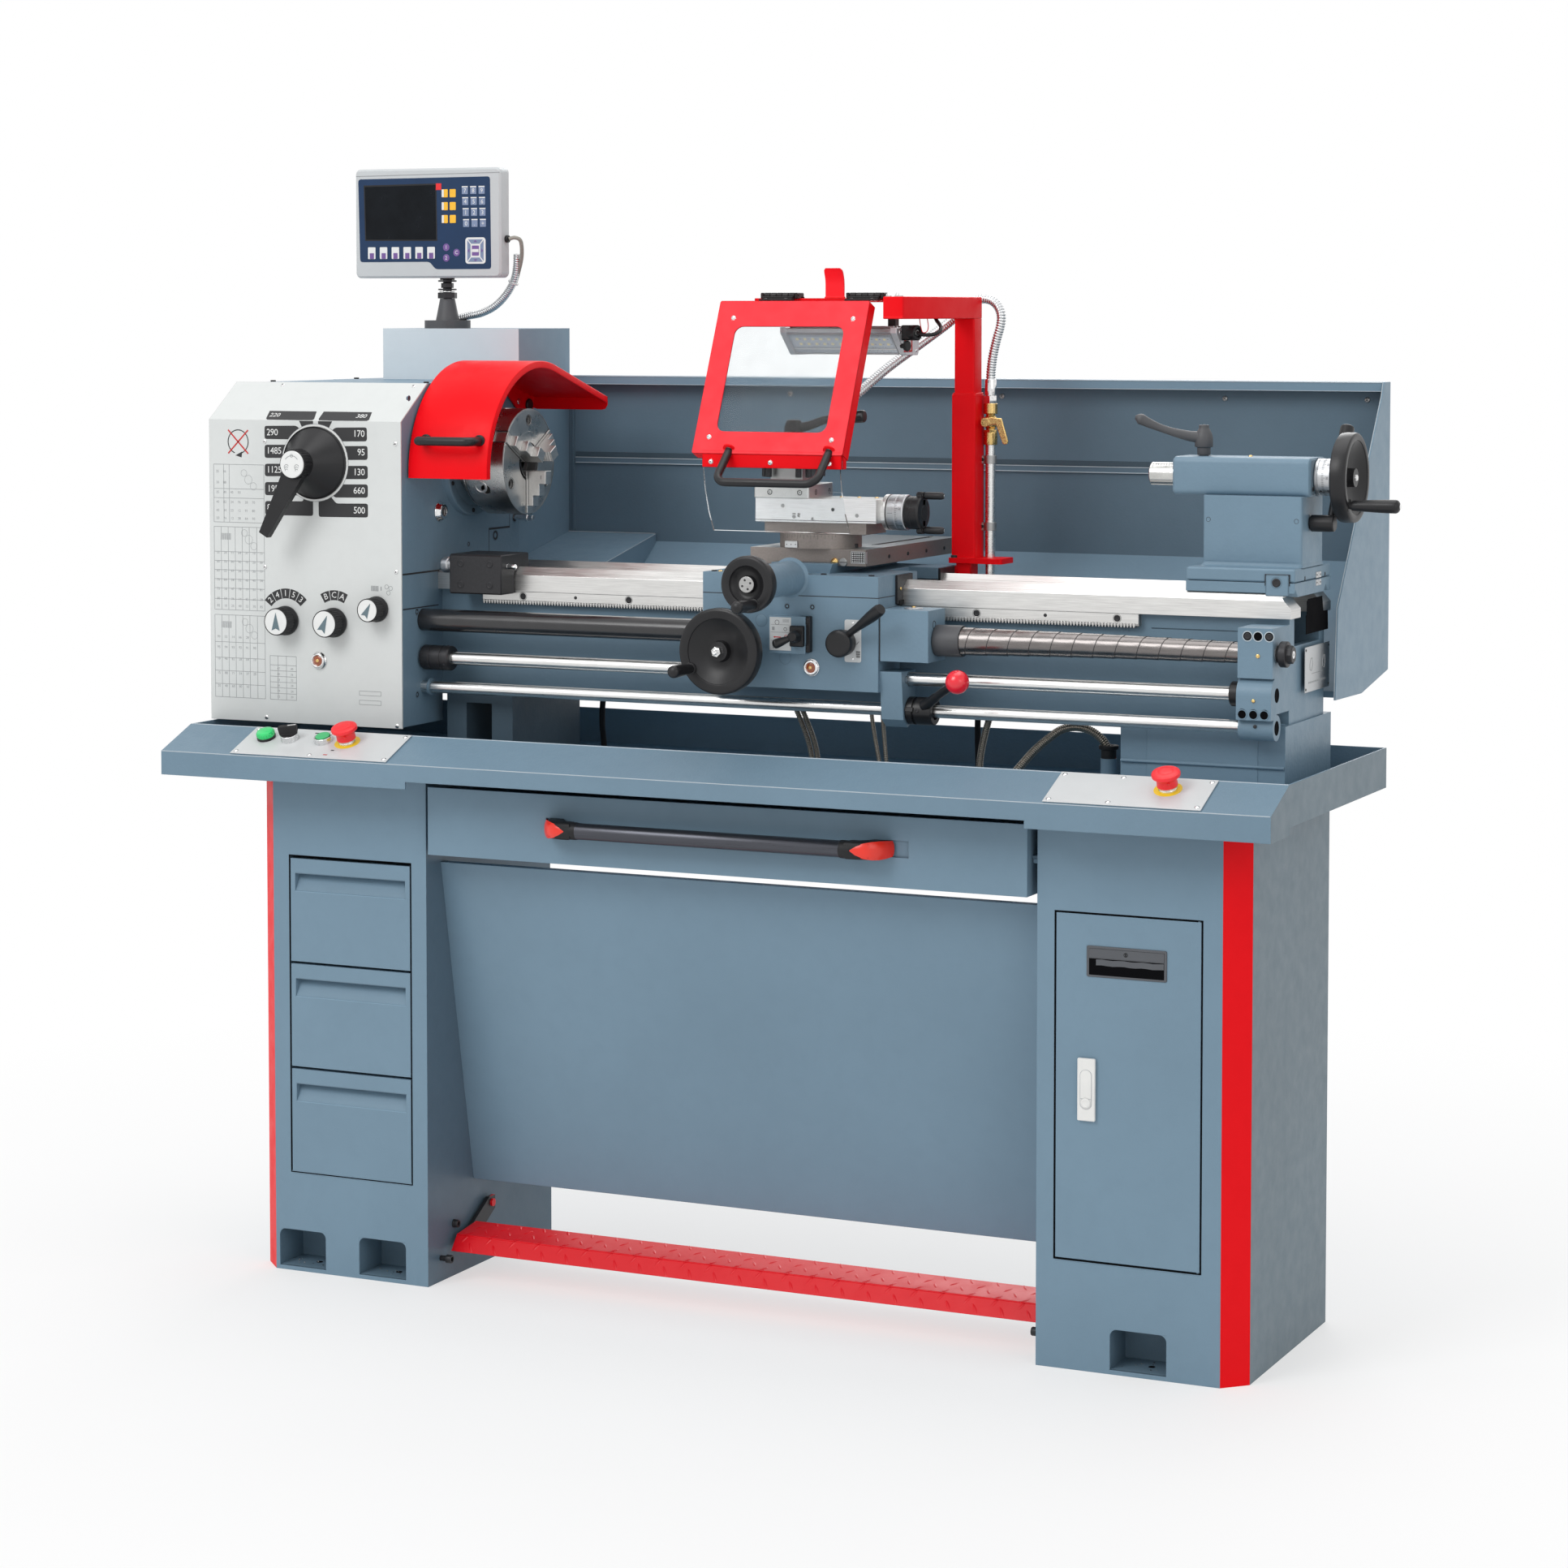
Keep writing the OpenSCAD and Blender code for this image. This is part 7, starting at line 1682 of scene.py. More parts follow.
HOSE = smooth_path([(257, 200, 1352), (257.4, 200.4, 1372), (260, 202, 1396), (265, 204, 1420),
                    (270, 206, 1440), (270, 208, 1456), (263, 210, 1470), (251, 211, 1478), (236, 211, 1479),
                    (221, 210, 1471), (206, 205, 1458), (188, 184, 1438), (163, 152, 1412), (130, 110, 1378),
                    (99, 72, 1341), (84, 58, 1324)], 8)
corrugated(g, HOSE, 7.2, "conduit", 3.9, 18, 0.13)
p = g.done()
g = G("coolant_nozzle", "carriage", "black_plastic")
g.rev([(0, 7.0), (0, 8.8), (12, 8.8), (13, 8.0), (16, 6.2), (30, 4.4), (30, 3.0), (20, 2.6)], (86, 60, 1326),
      (-0.56, -0.48, -0.67), "black_matt", 24)
g.done()

# ---------------------------------------------------------------- tailstock
g = G("tailstock_shape", "tailstock", "paint_blue")
g.prism(rrect(22, 98, 1203, 1257, 8.5, 6), 604, 806, 0, "cast", 3.0)
g.prism(rrect(654, 798, 10, 110, 4.0, 4), 1112, 1204, 2, "cast", 0.0)
for k in range(5):
    a0, a1 = math.radians(18 * k), math.radians(18 * (k + 1))
    e0, z0 = 7 * (1 - math.sin(a0)), 1105 + 7 * (1 - math.cos(a0))
    e1, z1 = 7 * (1 - math.sin(a1)), 1105 + 7 * (1 - math.cos(a1))
    lo, hi = rrect(654 - e0, 798 + min(e0, 0.9), 10 - e0, 110 + e0, 4 + e0, 4), rrect(654 - e1,
            798 + min(e1, 0.9), 10 - e1, 110 + e1, 4 + e1, 4)
    n = len(lo)
    g.add([Vector((p[0], p[1], z0)) for p in lo] + [Vector((p[0], p[1], z1)) for p in hi],
          [[i, (i + 1) % n, n + (i + 1) % n, n + i] for i in range(n)], "cast")
g.prism([(-24.5, 1071.5), (-24.5, 1086), (145, 1086), (145, 1066.3), (134, 1066.3), (123.5, 1076.5),
         (113, 1066.3), (-9, 1066.3), (-19.5, 1076.5)], 641, 799, 0, "cast", 0.8)
g.prism(rrect(641.2, 798.8, -23.5, 144.5, 2.0, 3), 1086.6, 1105.2, 2, "cast", 2.2)
g.box((645, -20.5, 1085.8), (795, 141, 1086.9), "print_black", 0.1)
g.box((690, 12, 1023), (750, 108, 1035), "dull_steel", 1.0)
g.box((690, 12.5, 1035), (750, 107.5, 1066.4), "dull_steel", 1.0)
# key block in its notch with a cap screw
g.box((756, -25.2, 1082.2), (757, -22, 1098), "print_black", 0.1)
g.box((791, -25.2, 1082.2), (792, -22, 1098), "print_black", 0.1)
g.box((756, -25.2, 1097.4), (792, -22, 1098.2), "print_black", 0.1)
g.box((757.4, -26.0, 1068), (790.6, -22, 1097.2), "cast", 0.9)
# darker rim round the key block's screw: painted shade
g.rev([(0.15, 8.2), (0.2, 7.2), (-2, 7.0)], (773, -26.0, 1086.5), YM, "blue_dark", 28)
g.hexscrew((773, -25.6, 1086.5), YM, 6.2, "black_oxide", 1.2)
for x in (662, 790):
    g.rev([(0.1, 3.4), (0.25, 2.9), (-3, 2.7), (-3, 0)], (x, 10, 1170), YM, "print_black", 18)
for y in (23, 118):
    g.box((798.6, y - 1.4, 1087.6), (799.4, y + 1.4, 1093.2), "print_black", 0.1)
for z0, z1 in ((1076.5, 1085.2), (1087.4, 1095.8)):
    g.box((798.7, 74, z0), (799.7, 98, z1), "plate", 0.3)
    for y in (78, 94):
        g.rev([(0, 0), (0, 1.5), (0.4, 1.2), (0.5, 0)], (799.7, y, (z0 + z1) / 2), XP, "print_black", 12)
    g.box((799.7, 85.7, z0 + 0.5), (799.8, 86.3, z1 - 0.5), "print_black", 0.02)
# darker ring round the barrel's bore: painted shade
g.rev([(0, 24.6), (0.2, 26.4), (-1.0, 27.4)], at_axis(806.1), XP, "blue_dark", 56)
g.rev([(0, 0), (0, 3.0), (1.2, 2.8), (2.0, 1.4), (2.1, 0)], (707, 60, 1257), ZP, "brass", 16)
g.rev([(0, 18.2), (0.6, 17.4), (0.6, 17.1), (-3, 17.1)], at_axis(604), XM, "print_black", 48)
for x, y in ((805.9, 34), (805.9, 86)):
    g.hexscrew((x, y, 1214), XP, 3.4, "black_oxide", 1.0)
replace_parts(g.done(), "tailstock")

g = G("quill_shape", "quill", "ground_steel")
g.rev([(70, 0), (70, 6.5), (0.6, 9.2), (0, 9.8), (0, 15.6), (1.4, 17), (199, 17), (199, 8.6), (130, 8.6),
       (130, 0)], at_axis(561), XP, "quill", 56)
for k in range(26):
    x = 566 + 4 * k
    h = 26 if k % 5 == 0 else 15
    n = 6
    pts, fs = [], []
    for i in range(n + 1):
        a = math.radians(118 + (i / n) * h)
        for dx in (-0.3, 0.3):
            pts.append(Vector((x + dx, 60 + 17.06 * math.cos(a), 1230 + 17.06 * math.sin(a))))
    for i in range(n):
        fs.append([2 * i, 2 * i + 1, 2 * i + 3, 2 * i + 2])
    g.add(pts, fs, "print_black")
for k in range(4):
    a = math.radians(112)
    g.text(str(10 * k), 4.4, (571 + 20 * k, 60 + 17.1 * math.cos(a), 1230 + 17.1 * math.sin(a)), "print_black",
           XP, (0, math.sin(a), math.cos(a)), 0.02)
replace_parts(g.done(), "quill")

g = G("tail_wheel_shape", "tail_wheel", "black_plastic")
dish_wheel(g, at_axis(838), XP, 63, 24, 11, 14, depth=17)
g.rev([(0, 14), (22, 14)], at_axis(818), XP, "black", 32)
hex_nut(g, at_axis(846), XP, 9.0, 9)
g.rev([(0, 20), (0, 25.4), (0.6, 26), (4.4, 26), (4.6, 25.5), (5.0, 25.5), (5.2, 26), (24.4, 26), (25.4, 25),
       (25.4, 12)], at_axis(806.4), XP, "satin_alloy", 64)
ticks(g, at_axis(811.8), XP, 26, 5.6, 80, size=3.2, short=3.2, mid=4.4, long=5.6)
g.rev([(0, 0), (0, 1.6), (0.1, 1.6), (0.12, 0)], (815, 42, 1211.3), (0, -0.69, -0.72), "print_black", 12)
g.cyl(at_axis(705), XP, 8, 103, "dull_steel")
grip(g, (862, 23, 1193), XP, 72, 6.4, 9.6)
g.rev([(0, 6.5), (3, 9.6), (4, 9.2)], (858, 23, 1193), XP, "black", 24)
g.rev([(0, 0), (0, 3.4), (0.4, 3.2), (0.4, 0)], (933.8, 23, 1193), XP, "chrome", 18)
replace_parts(g.done(), "tail_wheel")

g = G("quill_lock_shape", "quill_lock", "black_plastic")
g.rev([(-9.6, 0), (-9.6, 6.9), (1, 6.9), (1, 9.0), (2, 9.4), (11, 9.4), (12, 10.2), (12.4, 12.2), (13.4, 12.8),
       (25, 12.8), (31, 11.4), (37, 8.6), (38.4, 7.6), (40, 7.2), (43, 7.2), (43.6, 6.6), (43.6, 4),
       (41.5, 3.6), (41.5, 0)], (638, 60, 1257), ZP, "dark_grey", 40)
g.rev([(0, 0), (0, 3.6), (2.4, 3.4), (2.6, 2.0), (1.6, 1.8), (1.6, 0)], (638, 60, 1298.6), ZP, "black_oxide",
      18)
arm = smooth_path([(632, 58, 1283), (618, 53, 1285), (600, 46.5, 1289.5), (582, 40, 1295.5), (568, 35, 1301.5),
                   (558, 31.5, 1306.5), (551, 29, 1310), (546.5, 27.4, 1311)], 4)
n = len(arm)
rad = []
for i in range(n):
    t = i / (n - 1)
    swell = 2.6 * max(0, (t - 0.45) / 0.35) if t < 0.8 else 2.6 - 5.6 * (t - 0.8) / 0.2
    rad.append(8.6 - 3.2 * min(1, i / (n * 0.35)) + swell)
g.tube(arm, 6, "dark_grey", 18, True, rad)
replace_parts(g.done(), "quill_lock")

g = G("clamp_lever_shape", "clamp_lever", "black_plastic")
g.rev([(0, 0), (0, 8), (20, 8), (20, 11), (21, 11.8), (48, 11.8), (53, 11.2), (54, 10), (54, 0)],
      (780, 48, 1166), XP, "black", 40)
g.tube([(827, 48, 1166), (827, 60, 1187), (828, 84, 1230), (828.5, 106, 1269)], 5.2, "black_oxide", 16)
g.rev([(0, 6), (1, 9.4), (3, 10.2), (30, 10.2), (34, 9.8), (35.2, 8.6), (35.2, 0)], (828.5, 106, 1268),
      (0, 0.5, 0.866), "black", 32)
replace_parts(g.done(), "clamp_lever")

# ---------------------------------------------------------------- bed, rods, bracket, covers
g = G("bed_detail", "stand", "paint_blue")
# rack: teeth and cap screws on its face
g.box((-480, -33.4, 1023), (575, -32.6, 1037), "ground", 0.3)
vs, fs = [], []
TOOTH = 4.71
for i in range(int(1055 / TOOTH)):
    x = -479.5 + TOOTH * i
    k = len(vs)
    vs += [Vector((x + dx, y, z)) for y in (-33.4, -22)
           for dx, z in ((0, 1023), (0.9, 1017.4), (2.5, 1017.4), (3.4, 1023))]
    fs += [[k, k + 3, k + 2, k + 1], [k, k + 1, k + 5, k + 4], [k + 1, k + 2, k + 6, k + 5],
           [k + 2, k + 3, k + 7, k + 6]]
g.add(vs, fs, "ground")
for x in (-410, -230, -60, 120, 330, 543):
    g.rev([(0.1, 6.6), (0.3, 5.6), (-0.2, 5.2)], (x, -33.4, 1030), YM, "dull_steel", 24)
    g.hexscrew((x, -33.0, 1030), YM, 4.9, "black_oxide", 0.9)
for x in (-320, 30, 435):
    g.rev([(0.1, 2.6), (0.2, 2.2), (0.1, 0)], (x, -33.4, 1030.5), YM, "print_black", 16)
# dark joint under the front way
g.box((590, -22.4, 1016.6), (742, -21.2, 1017.8), "blue_dark", 0.3)
# window in the right end, a near-black sheet as painted shade of the hollow behind it; number plate
g.prism([(36, 1011), (36, 1037), (40, 1038.5), (40, 1057), (46, 1060), (112, 1060), (114, 1052), (118, 1038.5),
         (139, 1038), (141, 1011)], 796.6, 797.25, 0, "void_black", 0.05)
g.box((797.0, 30, 929), (798.0, 146, 993), "plate", 0.3)
for y in (34, 142):
    for z in (933.5, 988.5):
        g.rev([(0, 0), (0, 2.0), (0.7, 1.4), (0.8, 0)], (798, y, z), XP, "print_black", 14)
for y0 in (52, 112):
    for a, b in (((y0, 968), (y0 + 5, 976)), ((y0 + 5, 976), (y0 + 11, 976)), ((y0 + 11, 976), (y0 + 13, 966)),
                 ((y0 + 13, 966), (y0 + 8, 958)), ((y0 + 8, 958), (y0 + 1, 960)), ((y0 + 1, 960), (y0, 968))):
        g.tube([(798.1, a[0], a[1]), (798.1, b[0], b[1])], 0.4, "print_grey", 6)
g.box((797.9, 60, 953.6), (798.15, 116, 954.4), "print_grey", 0.05)
for k in range(14):
    g.box((797.9, 46 + 6 * k, 941), (798.1, 50 + 6 * k, 943.4), "print_grey", 0.05)
g.done()

g = G("bracket_detail", "stand", "paint_blue")
BRACKET_Y = -100.2  # front of its upper part
# counterbores: painted highlight on the rim, near-black disc as painted shade in the hole
for x, kind in ((756, 1), (771, 0), (787, 1)):
    g.rev([(0.15, 7.4), (0.35, 6.8), (0.3, 6.0)], (x, BRACKET_Y, 1018), YM, "edge_light", 26)
    g.rev([(0.3, 6.0), (0.16, 5.8), (0.16, 0)], (x, BRACKET_Y, 1018), YM, "void_black", 26)
    if kind:
        g.hexscrew((x, BRACKET_Y - 0.1, 1018), YM, 4.6, "black_oxide", 0.8)
g.rev([(0, 0), (0, 3.0), (0.8, 2.8), (1.2, 1.4), (0.8, 0)], (771, BRACKET_Y, 991), YM, "brass", 18)
# near-black discs: painted shade in the holes
for x in (751, 767, 782.5):
    g.rev([(0.5, 6.8), (0.75, 6.2), (0.6, 5.8)], (x, -106.4, 911), YM, "blue", 26)
    g.rev([(0.6, 5.8), (0.55, 5.6), (0.55, 0)], (x, -106.4, 911), YM, "void_black", 26)
for z, m in ((930, "brass"), (894, "print_black")):
    g.rev([(0, 0), (0, 2.6), (0.8, 2.4), (1.2, 1.2), (0.8, 0)], (767, -106.8 if z > 900 else -98.6, z), YM, m,
          16)
# near-black discs: painted shade in the rods' holes
for z in (FEED_Z, CONTROL_Z):
    g.rev([(0.1, 10.2), (0.3, 9.2), (0.2, 8.9), (0.2, 0)], (792, ROD_Y, z), XP, "void_black", 30)
g.done()

g = G("rod_ends", "stand", "black_plastic")
g.rev([(0, 9.8), (0, 16.4), (1, 17.4), (12, 17.4), (13, 16.6), (13, 9.8)], (728, ROD_Y, FEED_Z), XP, "black",
      44)
g.rev([(0, 9.2), (0, 13), (4, 13.4), (4, 9.2)], (-545, ROD_Y, CONTROL_Z), XP, "blue_dark", 36)
g.done()
g = G("lead_screw_shape", "lead_screw", "ground_steel")
g.rev([(0, 0), (0, 11), (1396, 11), (1396, 0)], (ROD_X0, ROD_Y, LEAD_Z), XP, "rod_steel", 40)
g.rev([(0, 11), (0, 12), (4.5, 12), (4.5, 17.2), (5.5, 18), (14, 18), (15, 17), (15, 0)], (793, ROD_Y, LEAD_Z),
      XP, "black_oxide", 44)
g.rev([(0, 0), (0, 13.2), (8, 12.6), (9, 11.6), (9, 0)], (806.5, ROD_Y, LEAD_Z), XP, "black_oxide", 8)
g.rev([(0, 0), (0, 5.4), (0.5, 5), (0.3, 2.2), (-1, 2), (-1, 0)], (815.4, ROD_Y, LEAD_Z), XP, "chrome", 22)
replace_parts(g.done(), "lead_screw")
g = G("feed_rod_shape", "feed_rod", "ground_steel")
g.rev([(0, 0), (0, 9.5), (1376, 9.5), (1376, 0)], (ROD_X0, ROD_Y, FEED_Z), XP, "rod_steel", 40)
g.box((-500, ROD_Y - 2.6, 944.0), (725, ROD_Y + 2.6, 945.8), "dull_steel", 0.3)
g.rev([(0, 9.6), (0, 17.6), (1.2, 18.8), (15, 18.8), (15.6, 17.8), (17.6, 17.8), (18.2, 18.8), (34, 18.8),
       (34.6, 17.6), (37, 17.6), (37.6, 18.8), (47, 18.8), (49, 17.4), (49, 9.6)], (-555, ROD_Y, FEED_Z), XP,
      "black_oxide", 48)
for a in range(3):
    ang = math.radians(120 * a + 215)
    g.hexscrew((-513, ROD_Y + 18.2 * math.cos(ang), FEED_Z + 18.2 * math.sin(ang)),
               (0, math.cos(ang), math.sin(ang)), 2.6, "black_oxide", 1.0)
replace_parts(g.done(), "feed_rod")
g = G("control_rod_shape", "control_rod", "ground_steel")
g.rev([(0, 0), (0, 9), (1376, 9), (1376, 0)], (ROD_X0, ROD_Y, CONTROL_Z), XP, "rod_steel", 40)
g.box((-500, ROD_Y - 2.2, 898.6), (725, ROD_Y + 2.2, 900.3), "dull_steel", 0.3)
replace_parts(g.done(), "control_rod")

# telescopic covers of the lead screw: smooth tube on the left, coiled strip on the right
g = G("cover_left", "stand", "black_plastic")
prof = [(0, 14)] + [(i * 19.6, 17) for i in range(25)]
prof += [(471, 17), (471.2, 19.4), (472.4, 20), (489, 20), (490.4, 19.2), (490.4, 12.6), (0, 12.6)]
g.rev(prof, (-557.6, ROD_Y, LEAD_Z), XP, "cover_black", 48)
p = g.done(ride=False)
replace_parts(p, "screw_covers")
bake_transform(p)
g = G("cover_cup", "carriage", "black_plastic")
g.rev([(0, 13), (0, 22), (1, 22.6), (38, 22.6), (40, 22), (40, 20.6), (36, 20.2)], (289, ROD_Y, LEAD_Z), XP,
      "dark_grey", 52)
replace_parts(g.done(), "screw_covers")
g = G("cover_right", "stand", "ground_steel")
SEG, TURNS, STEPS = 56, 13, 6  # points round, turns, rings in a turn


def coil(f, a, proud):
    """Point of the coiled strip at share f of its length and angle a; it sags a little in the middle."""
    r = 20.2 - 5.6 * f ** 0.8 + proud
    return Vector((326 + 415.5 * f, ROD_Y + r * math.cos(a),
                   LEAD_Z + r * math.sin(a) + 1.2 * math.sin(f * math.pi)))


vs, fs = [], []
for i in range(TURNS * STEPS + 1):
    f = i / (TURNS * STEPS)
    for k in range(SEG):
        ph = (f * TURNS + k / SEG) % 1.0
        vs.append(coil(f, 2 * math.pi * k / SEG, 0.55 * (ph - 0.5) - (0.5 if ph > 0.93 else 0.0)))
for i in range(TURNS * STEPS):
    for k in range(SEG):
        j = (k + 1) % SEG
        fs.append([i * SEG + k, i * SEG + j, (i + 1) * SEG + j, (i + 1) * SEG + k])
g.add(vs, fs, "coil_steel")
for q in range(TURNS):
    edge = [((q + 0.96 - k / SEG) / TURNS, 2 * math.pi * k / SEG) for k in range(SEG + 1)]
    g.tube([coil(f, a, 0.12) for f, a in edge if 0.0 <= f <= 1.0], 0.42, "print_black", 5)
p = g.done(ride=False)
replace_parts(p, "screw_covers")
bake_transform(p)

# bed stop with its thimble
g = G("bed_stop_shape", "stand", "black_plastic")
g.prism([(-76, 1036), (-76, 1091), (-73, 1094), (9, 1094), (10.4, 1092.6), (10.4, 1066.4), (-33.8, 1066.4),
         (-33.8, 1036), (-36, 1034), (-74, 1034)], -514, -424, 0, "black_oxide", 1.6)
for x in (-494, -444):
    for z in (1048, 1080):
        g.hexscrew((x, -76, z), YM, 5.4, "black_oxide", 1.0)
g.rev([(0, 9.0), (0, 11.6), (1, 12.4), (10, 12.4), (12, 11), (21, 11), (21, 0)], (-535, -55, 1076), XP,
      "satin_alloy", 40)
ticks(g, (-524, -55, 1076), XP, 11, 1.0, 40, labels=False, short=2.4, mid=3.6, long=5.0)
g.rev([(0, 0), (0, 9.0), (0.6, 8.6), (0.6, 0)], (-535, -55, 1076), XM, "dull_steel", 30)
g.rev([(0, 4), (14, 4), (15.5, 2.6), (15.5, 0)], (-425, -55, 1076), XP, "chrome", 22)
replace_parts(g.done(), "bed_stop")

# ---------------------------------------------------------------- stand: pockets, drawers, door, foot bar


def cad_copy(node, keep, name, body, cut_z=None):
    """A copy of a CAD node's mesh without the faces that fail keep(centre mm), split at height cut_z first."""
    me = NODES[node].data.copy()
    bm = bmesh.new()
    bm.from_mesh(me)
    if cut_z is not None:
        bmesh.ops.bisect_plane(bm, geom=bm.verts[:] + bm.edges[:] + bm.faces[:], plane_co=(0, 0, cut_z / 1000),
                               plane_no=ZP)
    drop = [f for f in bm.faces if not keep(f.calc_center_median() * 1000)]
    bmesh.ops.delete(bm, geom=drop, context="FACES")
    bm.to_mesh(me)
    bm.free()
    ob = bpy.data.objects.new(name, me)
    SCENE.collection.objects.link(ob)
    ob.matrix_world = NODES[node].matrix_world.copy()
    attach(ob, body)
    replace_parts(ob, node)


# the drawer runner's sheet stops above the first foot pocket
cad_copy("left_pedestal", lambda c: not (-731 < c.x < -727 and c.z < 66), "left_pedestal_shape", "stand",
         66)
g = G("pockets", "stand", "paint_blue")
for xc in (-707.5, -566.5, 637):
    x0, x1, z0, z1, yb = xc - 41, xc + 41, 6.2, 63, -128
    s = [(x0 - 1, -192.5), (x0 - 1, yb), (x1 + 1, yb), (x1 + 1, -192.5), (x1 + 3, -192.5), (x1 + 3, yb),
         (x1 + 3, yb + 2), (x0 - 3, yb + 2), (x0 - 3, -192.5)]
    g.prism(s, z0, z1 + 2, 2, "pocket")
    g.box((x0 - 3, -192.6, z1 + 0.2), (x1 + 3, yb, z1 + 2.2), "pocket", 0.2)
    g.box((x0 - 1, -192.6, z0), (x1 + 1, yb, z0 + 0.8), "pocket", 0.2)
    for sx, xe in ((1, x0), (-1, x1)):
        arc = [(xe + sx * (10 - 10 * math.cos(a)),
                z1 - 10 + 10 * math.sin(a)) for a in [math.radians(15 * k) for k in range(7)]]
        g.prism([(xe - sx * 0.2, z1 + 0.2), (xe - sx * 0.2, z1 - 10)] + arc + [(xe + sx * 10, z1 + 0.2)],
                -194.9, -192.4, 1, "blue")
    # near-black disc: painted shade in the screw hole
    g.rev([(0, 0), (0, 4.2), (0.3, 5.0), (0.3, 0)], (xc + 8, -160, z0 + 0.8), ZP, "void_black", 20)
    for _ in range(9):  # swarf
        bx, by = RND.uniform(x0 + 6, x1 - 6), RND.uniform(-180, -136)
        q = RND.uniform(1.0, 2.2)
        g.box((bx, by, z0 + 0.8), (bx + q, by + q * 0.8, z0 + 0.8 + q * 0.7),
              RND.choice(["ground", "dull_steel", "pull_grey"]), 0.3)
g.done()

for i in range(3):
    z1 = 154 + 161 * i + 157
    g = G(f"drawer_pull_{i + 1}", f"drawer_{i + 1}", "paint_blue")
    g.prism([(-194.6, z1 - 50.2), (-192.6, z1 - 50.2), (-178.4, z1 - 24), (-178.4, z1 - 21.6),
             (-181, z1 - 23.4)], -620 - 96.6, -620 + 96.6, 0, "blue", 0.2)
    # painted highlight along the recess's lower edge, painted shade under its upper edge
    g.tube([(-620 - 96.2, -194.2, z1 - 50), (-620 + 96.2, -194.2, z1 - 50)], 1.0, "blue_light", 10)
    g.tube([(-620 - 96.2, -193.9, z1 - 21.9), (-620 + 96.2, -193.9, z1 - 21.9)], 1.2, "blue_dark", 10)
    g.done()

# wide drawer: black tube with red end caps
cad_copy("wide_drawer", lambda c: c.y > -207.6, "wide_drawer_shape", "wide_drawer")
g = G("drawer_handle", "wide_drawer", "black_plastic")
g.tube([(-219, -239, 710), (-206, -239, 710), (-205, -239, 710), (208, -239, 710), (209, -239, 710),
        (222, -239, 710)], 12, "tube_black", 28, True, [12.6, 12.6, 12, 12, 12.6, 12.6])
for sx in (1, -1):
    def X(x):
        """The same place at the handle's other end for the second one."""
        return x if sx > 0 else 3 - x

    g.prism([(X(a), b) for a, b in ((218, -250.6), (236, -250.4), (254, -245), (266, -233), (272, -220),
                                    (275.5, -207), (247, -207), (242, -217), (233, -225), (218, -227.2))],
            697.6, 722.4, 2, "black_matt", 3.2)
    g.rev([(0, 0), (0, 12.5), (4, 12.9), (16, 12.7), (18, 12.2)], (X(209), -239, 710), (sx, 0, 0), "black_matt",
          28)
    path = [Vector(p) for p in ((225, -250.2), (236, -250), (248, -247.3), (258, -241.6), (266, -233),
                                (271, -223), (274, -214), (275.6, -207.2))]
    vs, fs, N = [], [], 9
    for i, p in enumerate(path):
        a, b = path[max(i - 1, 0)], path[min(i + 1, len(path) - 1)]
        t = (b - a).normalized()
        nrm = Vector((t.y, -t.x))
        h = (0.3, 7.6, 11.0, 12.8, 13.2, 12.6, 11.8, 11.2)[i]
        for k in range(N):
            s = 2 * k / (N - 1) - 1
            q = p + nrm * (3.0 * (1 - abs(s) ** 2.4) * min(1, i * 0.5 + 0.2) - 0.6)
            vs.append((X(q.x), q.y, 710 + h * s))
    for i in range(len(path) - 1):
        for k in range(N - 1):
            q = [i * N + k, (i + 1) * N + k, (i + 1) * N + k + 1, i * N + k + 1]
            fs.append(q if sx > 0 else q[::-1])
    g.add(vs, fs, "end_cap")
g.done(50)

# door: recessed pull and a flush swing latch
g = G("door_pull", "door", "black_plastic")
x0, x1, z0, z1 = 560.2, 676, 550, 593
g.prism(rrect(x0, x1, z0, z1, 2.5), -196.6, -194.6, 1, "pull_grey", 0.5)
g.box((x0 + 3.4, -196.9, z1 - 16.5), (x1 - 3.4, -196.3, z1 - 3.4), "pull_grey", 0.25)
# near black inside the recess: painted shade
g.prism([(x0 + 3.6, z0 + 3.0), (x1 - 3.6, z0 + 3.0), (x1 - 3.6, z1 - 17.2), (x0 + 3.6, z1 - 17.2)], -196.85,
        -196.5, 1, "void_black", 0.1)
# grey band across the top of the dark recess: painted reflection
xs = [x0 + 14 + (x1 - x0 - 18) * k / 12 for k in range(13)]
vs = []
for k, x in enumerate(xs):
    for a, z in ((0, z1 - 18.4), (0.15, z1 - 22), (0.1, z1 - 26.5)):
        vs.append((x, -197.0 - a, z + 0.5 * math.sin(k * 1.7)))
g.add(vs, [[3 * k + j, 3 * k + 3 + j, 3 * k + 4 + j, 3 * k + 1 + j][::-1] for k in range(12) for j in range(2)],
      "pull_grey")
g.rev([(0, 2.2), (0.25, 3.0), (0.5, 3.0), (0.5, 2.1)], ((x0 + x1) / 2 - 1, -196.8, z1 - 9.6), YM, "black_matt",
      20)
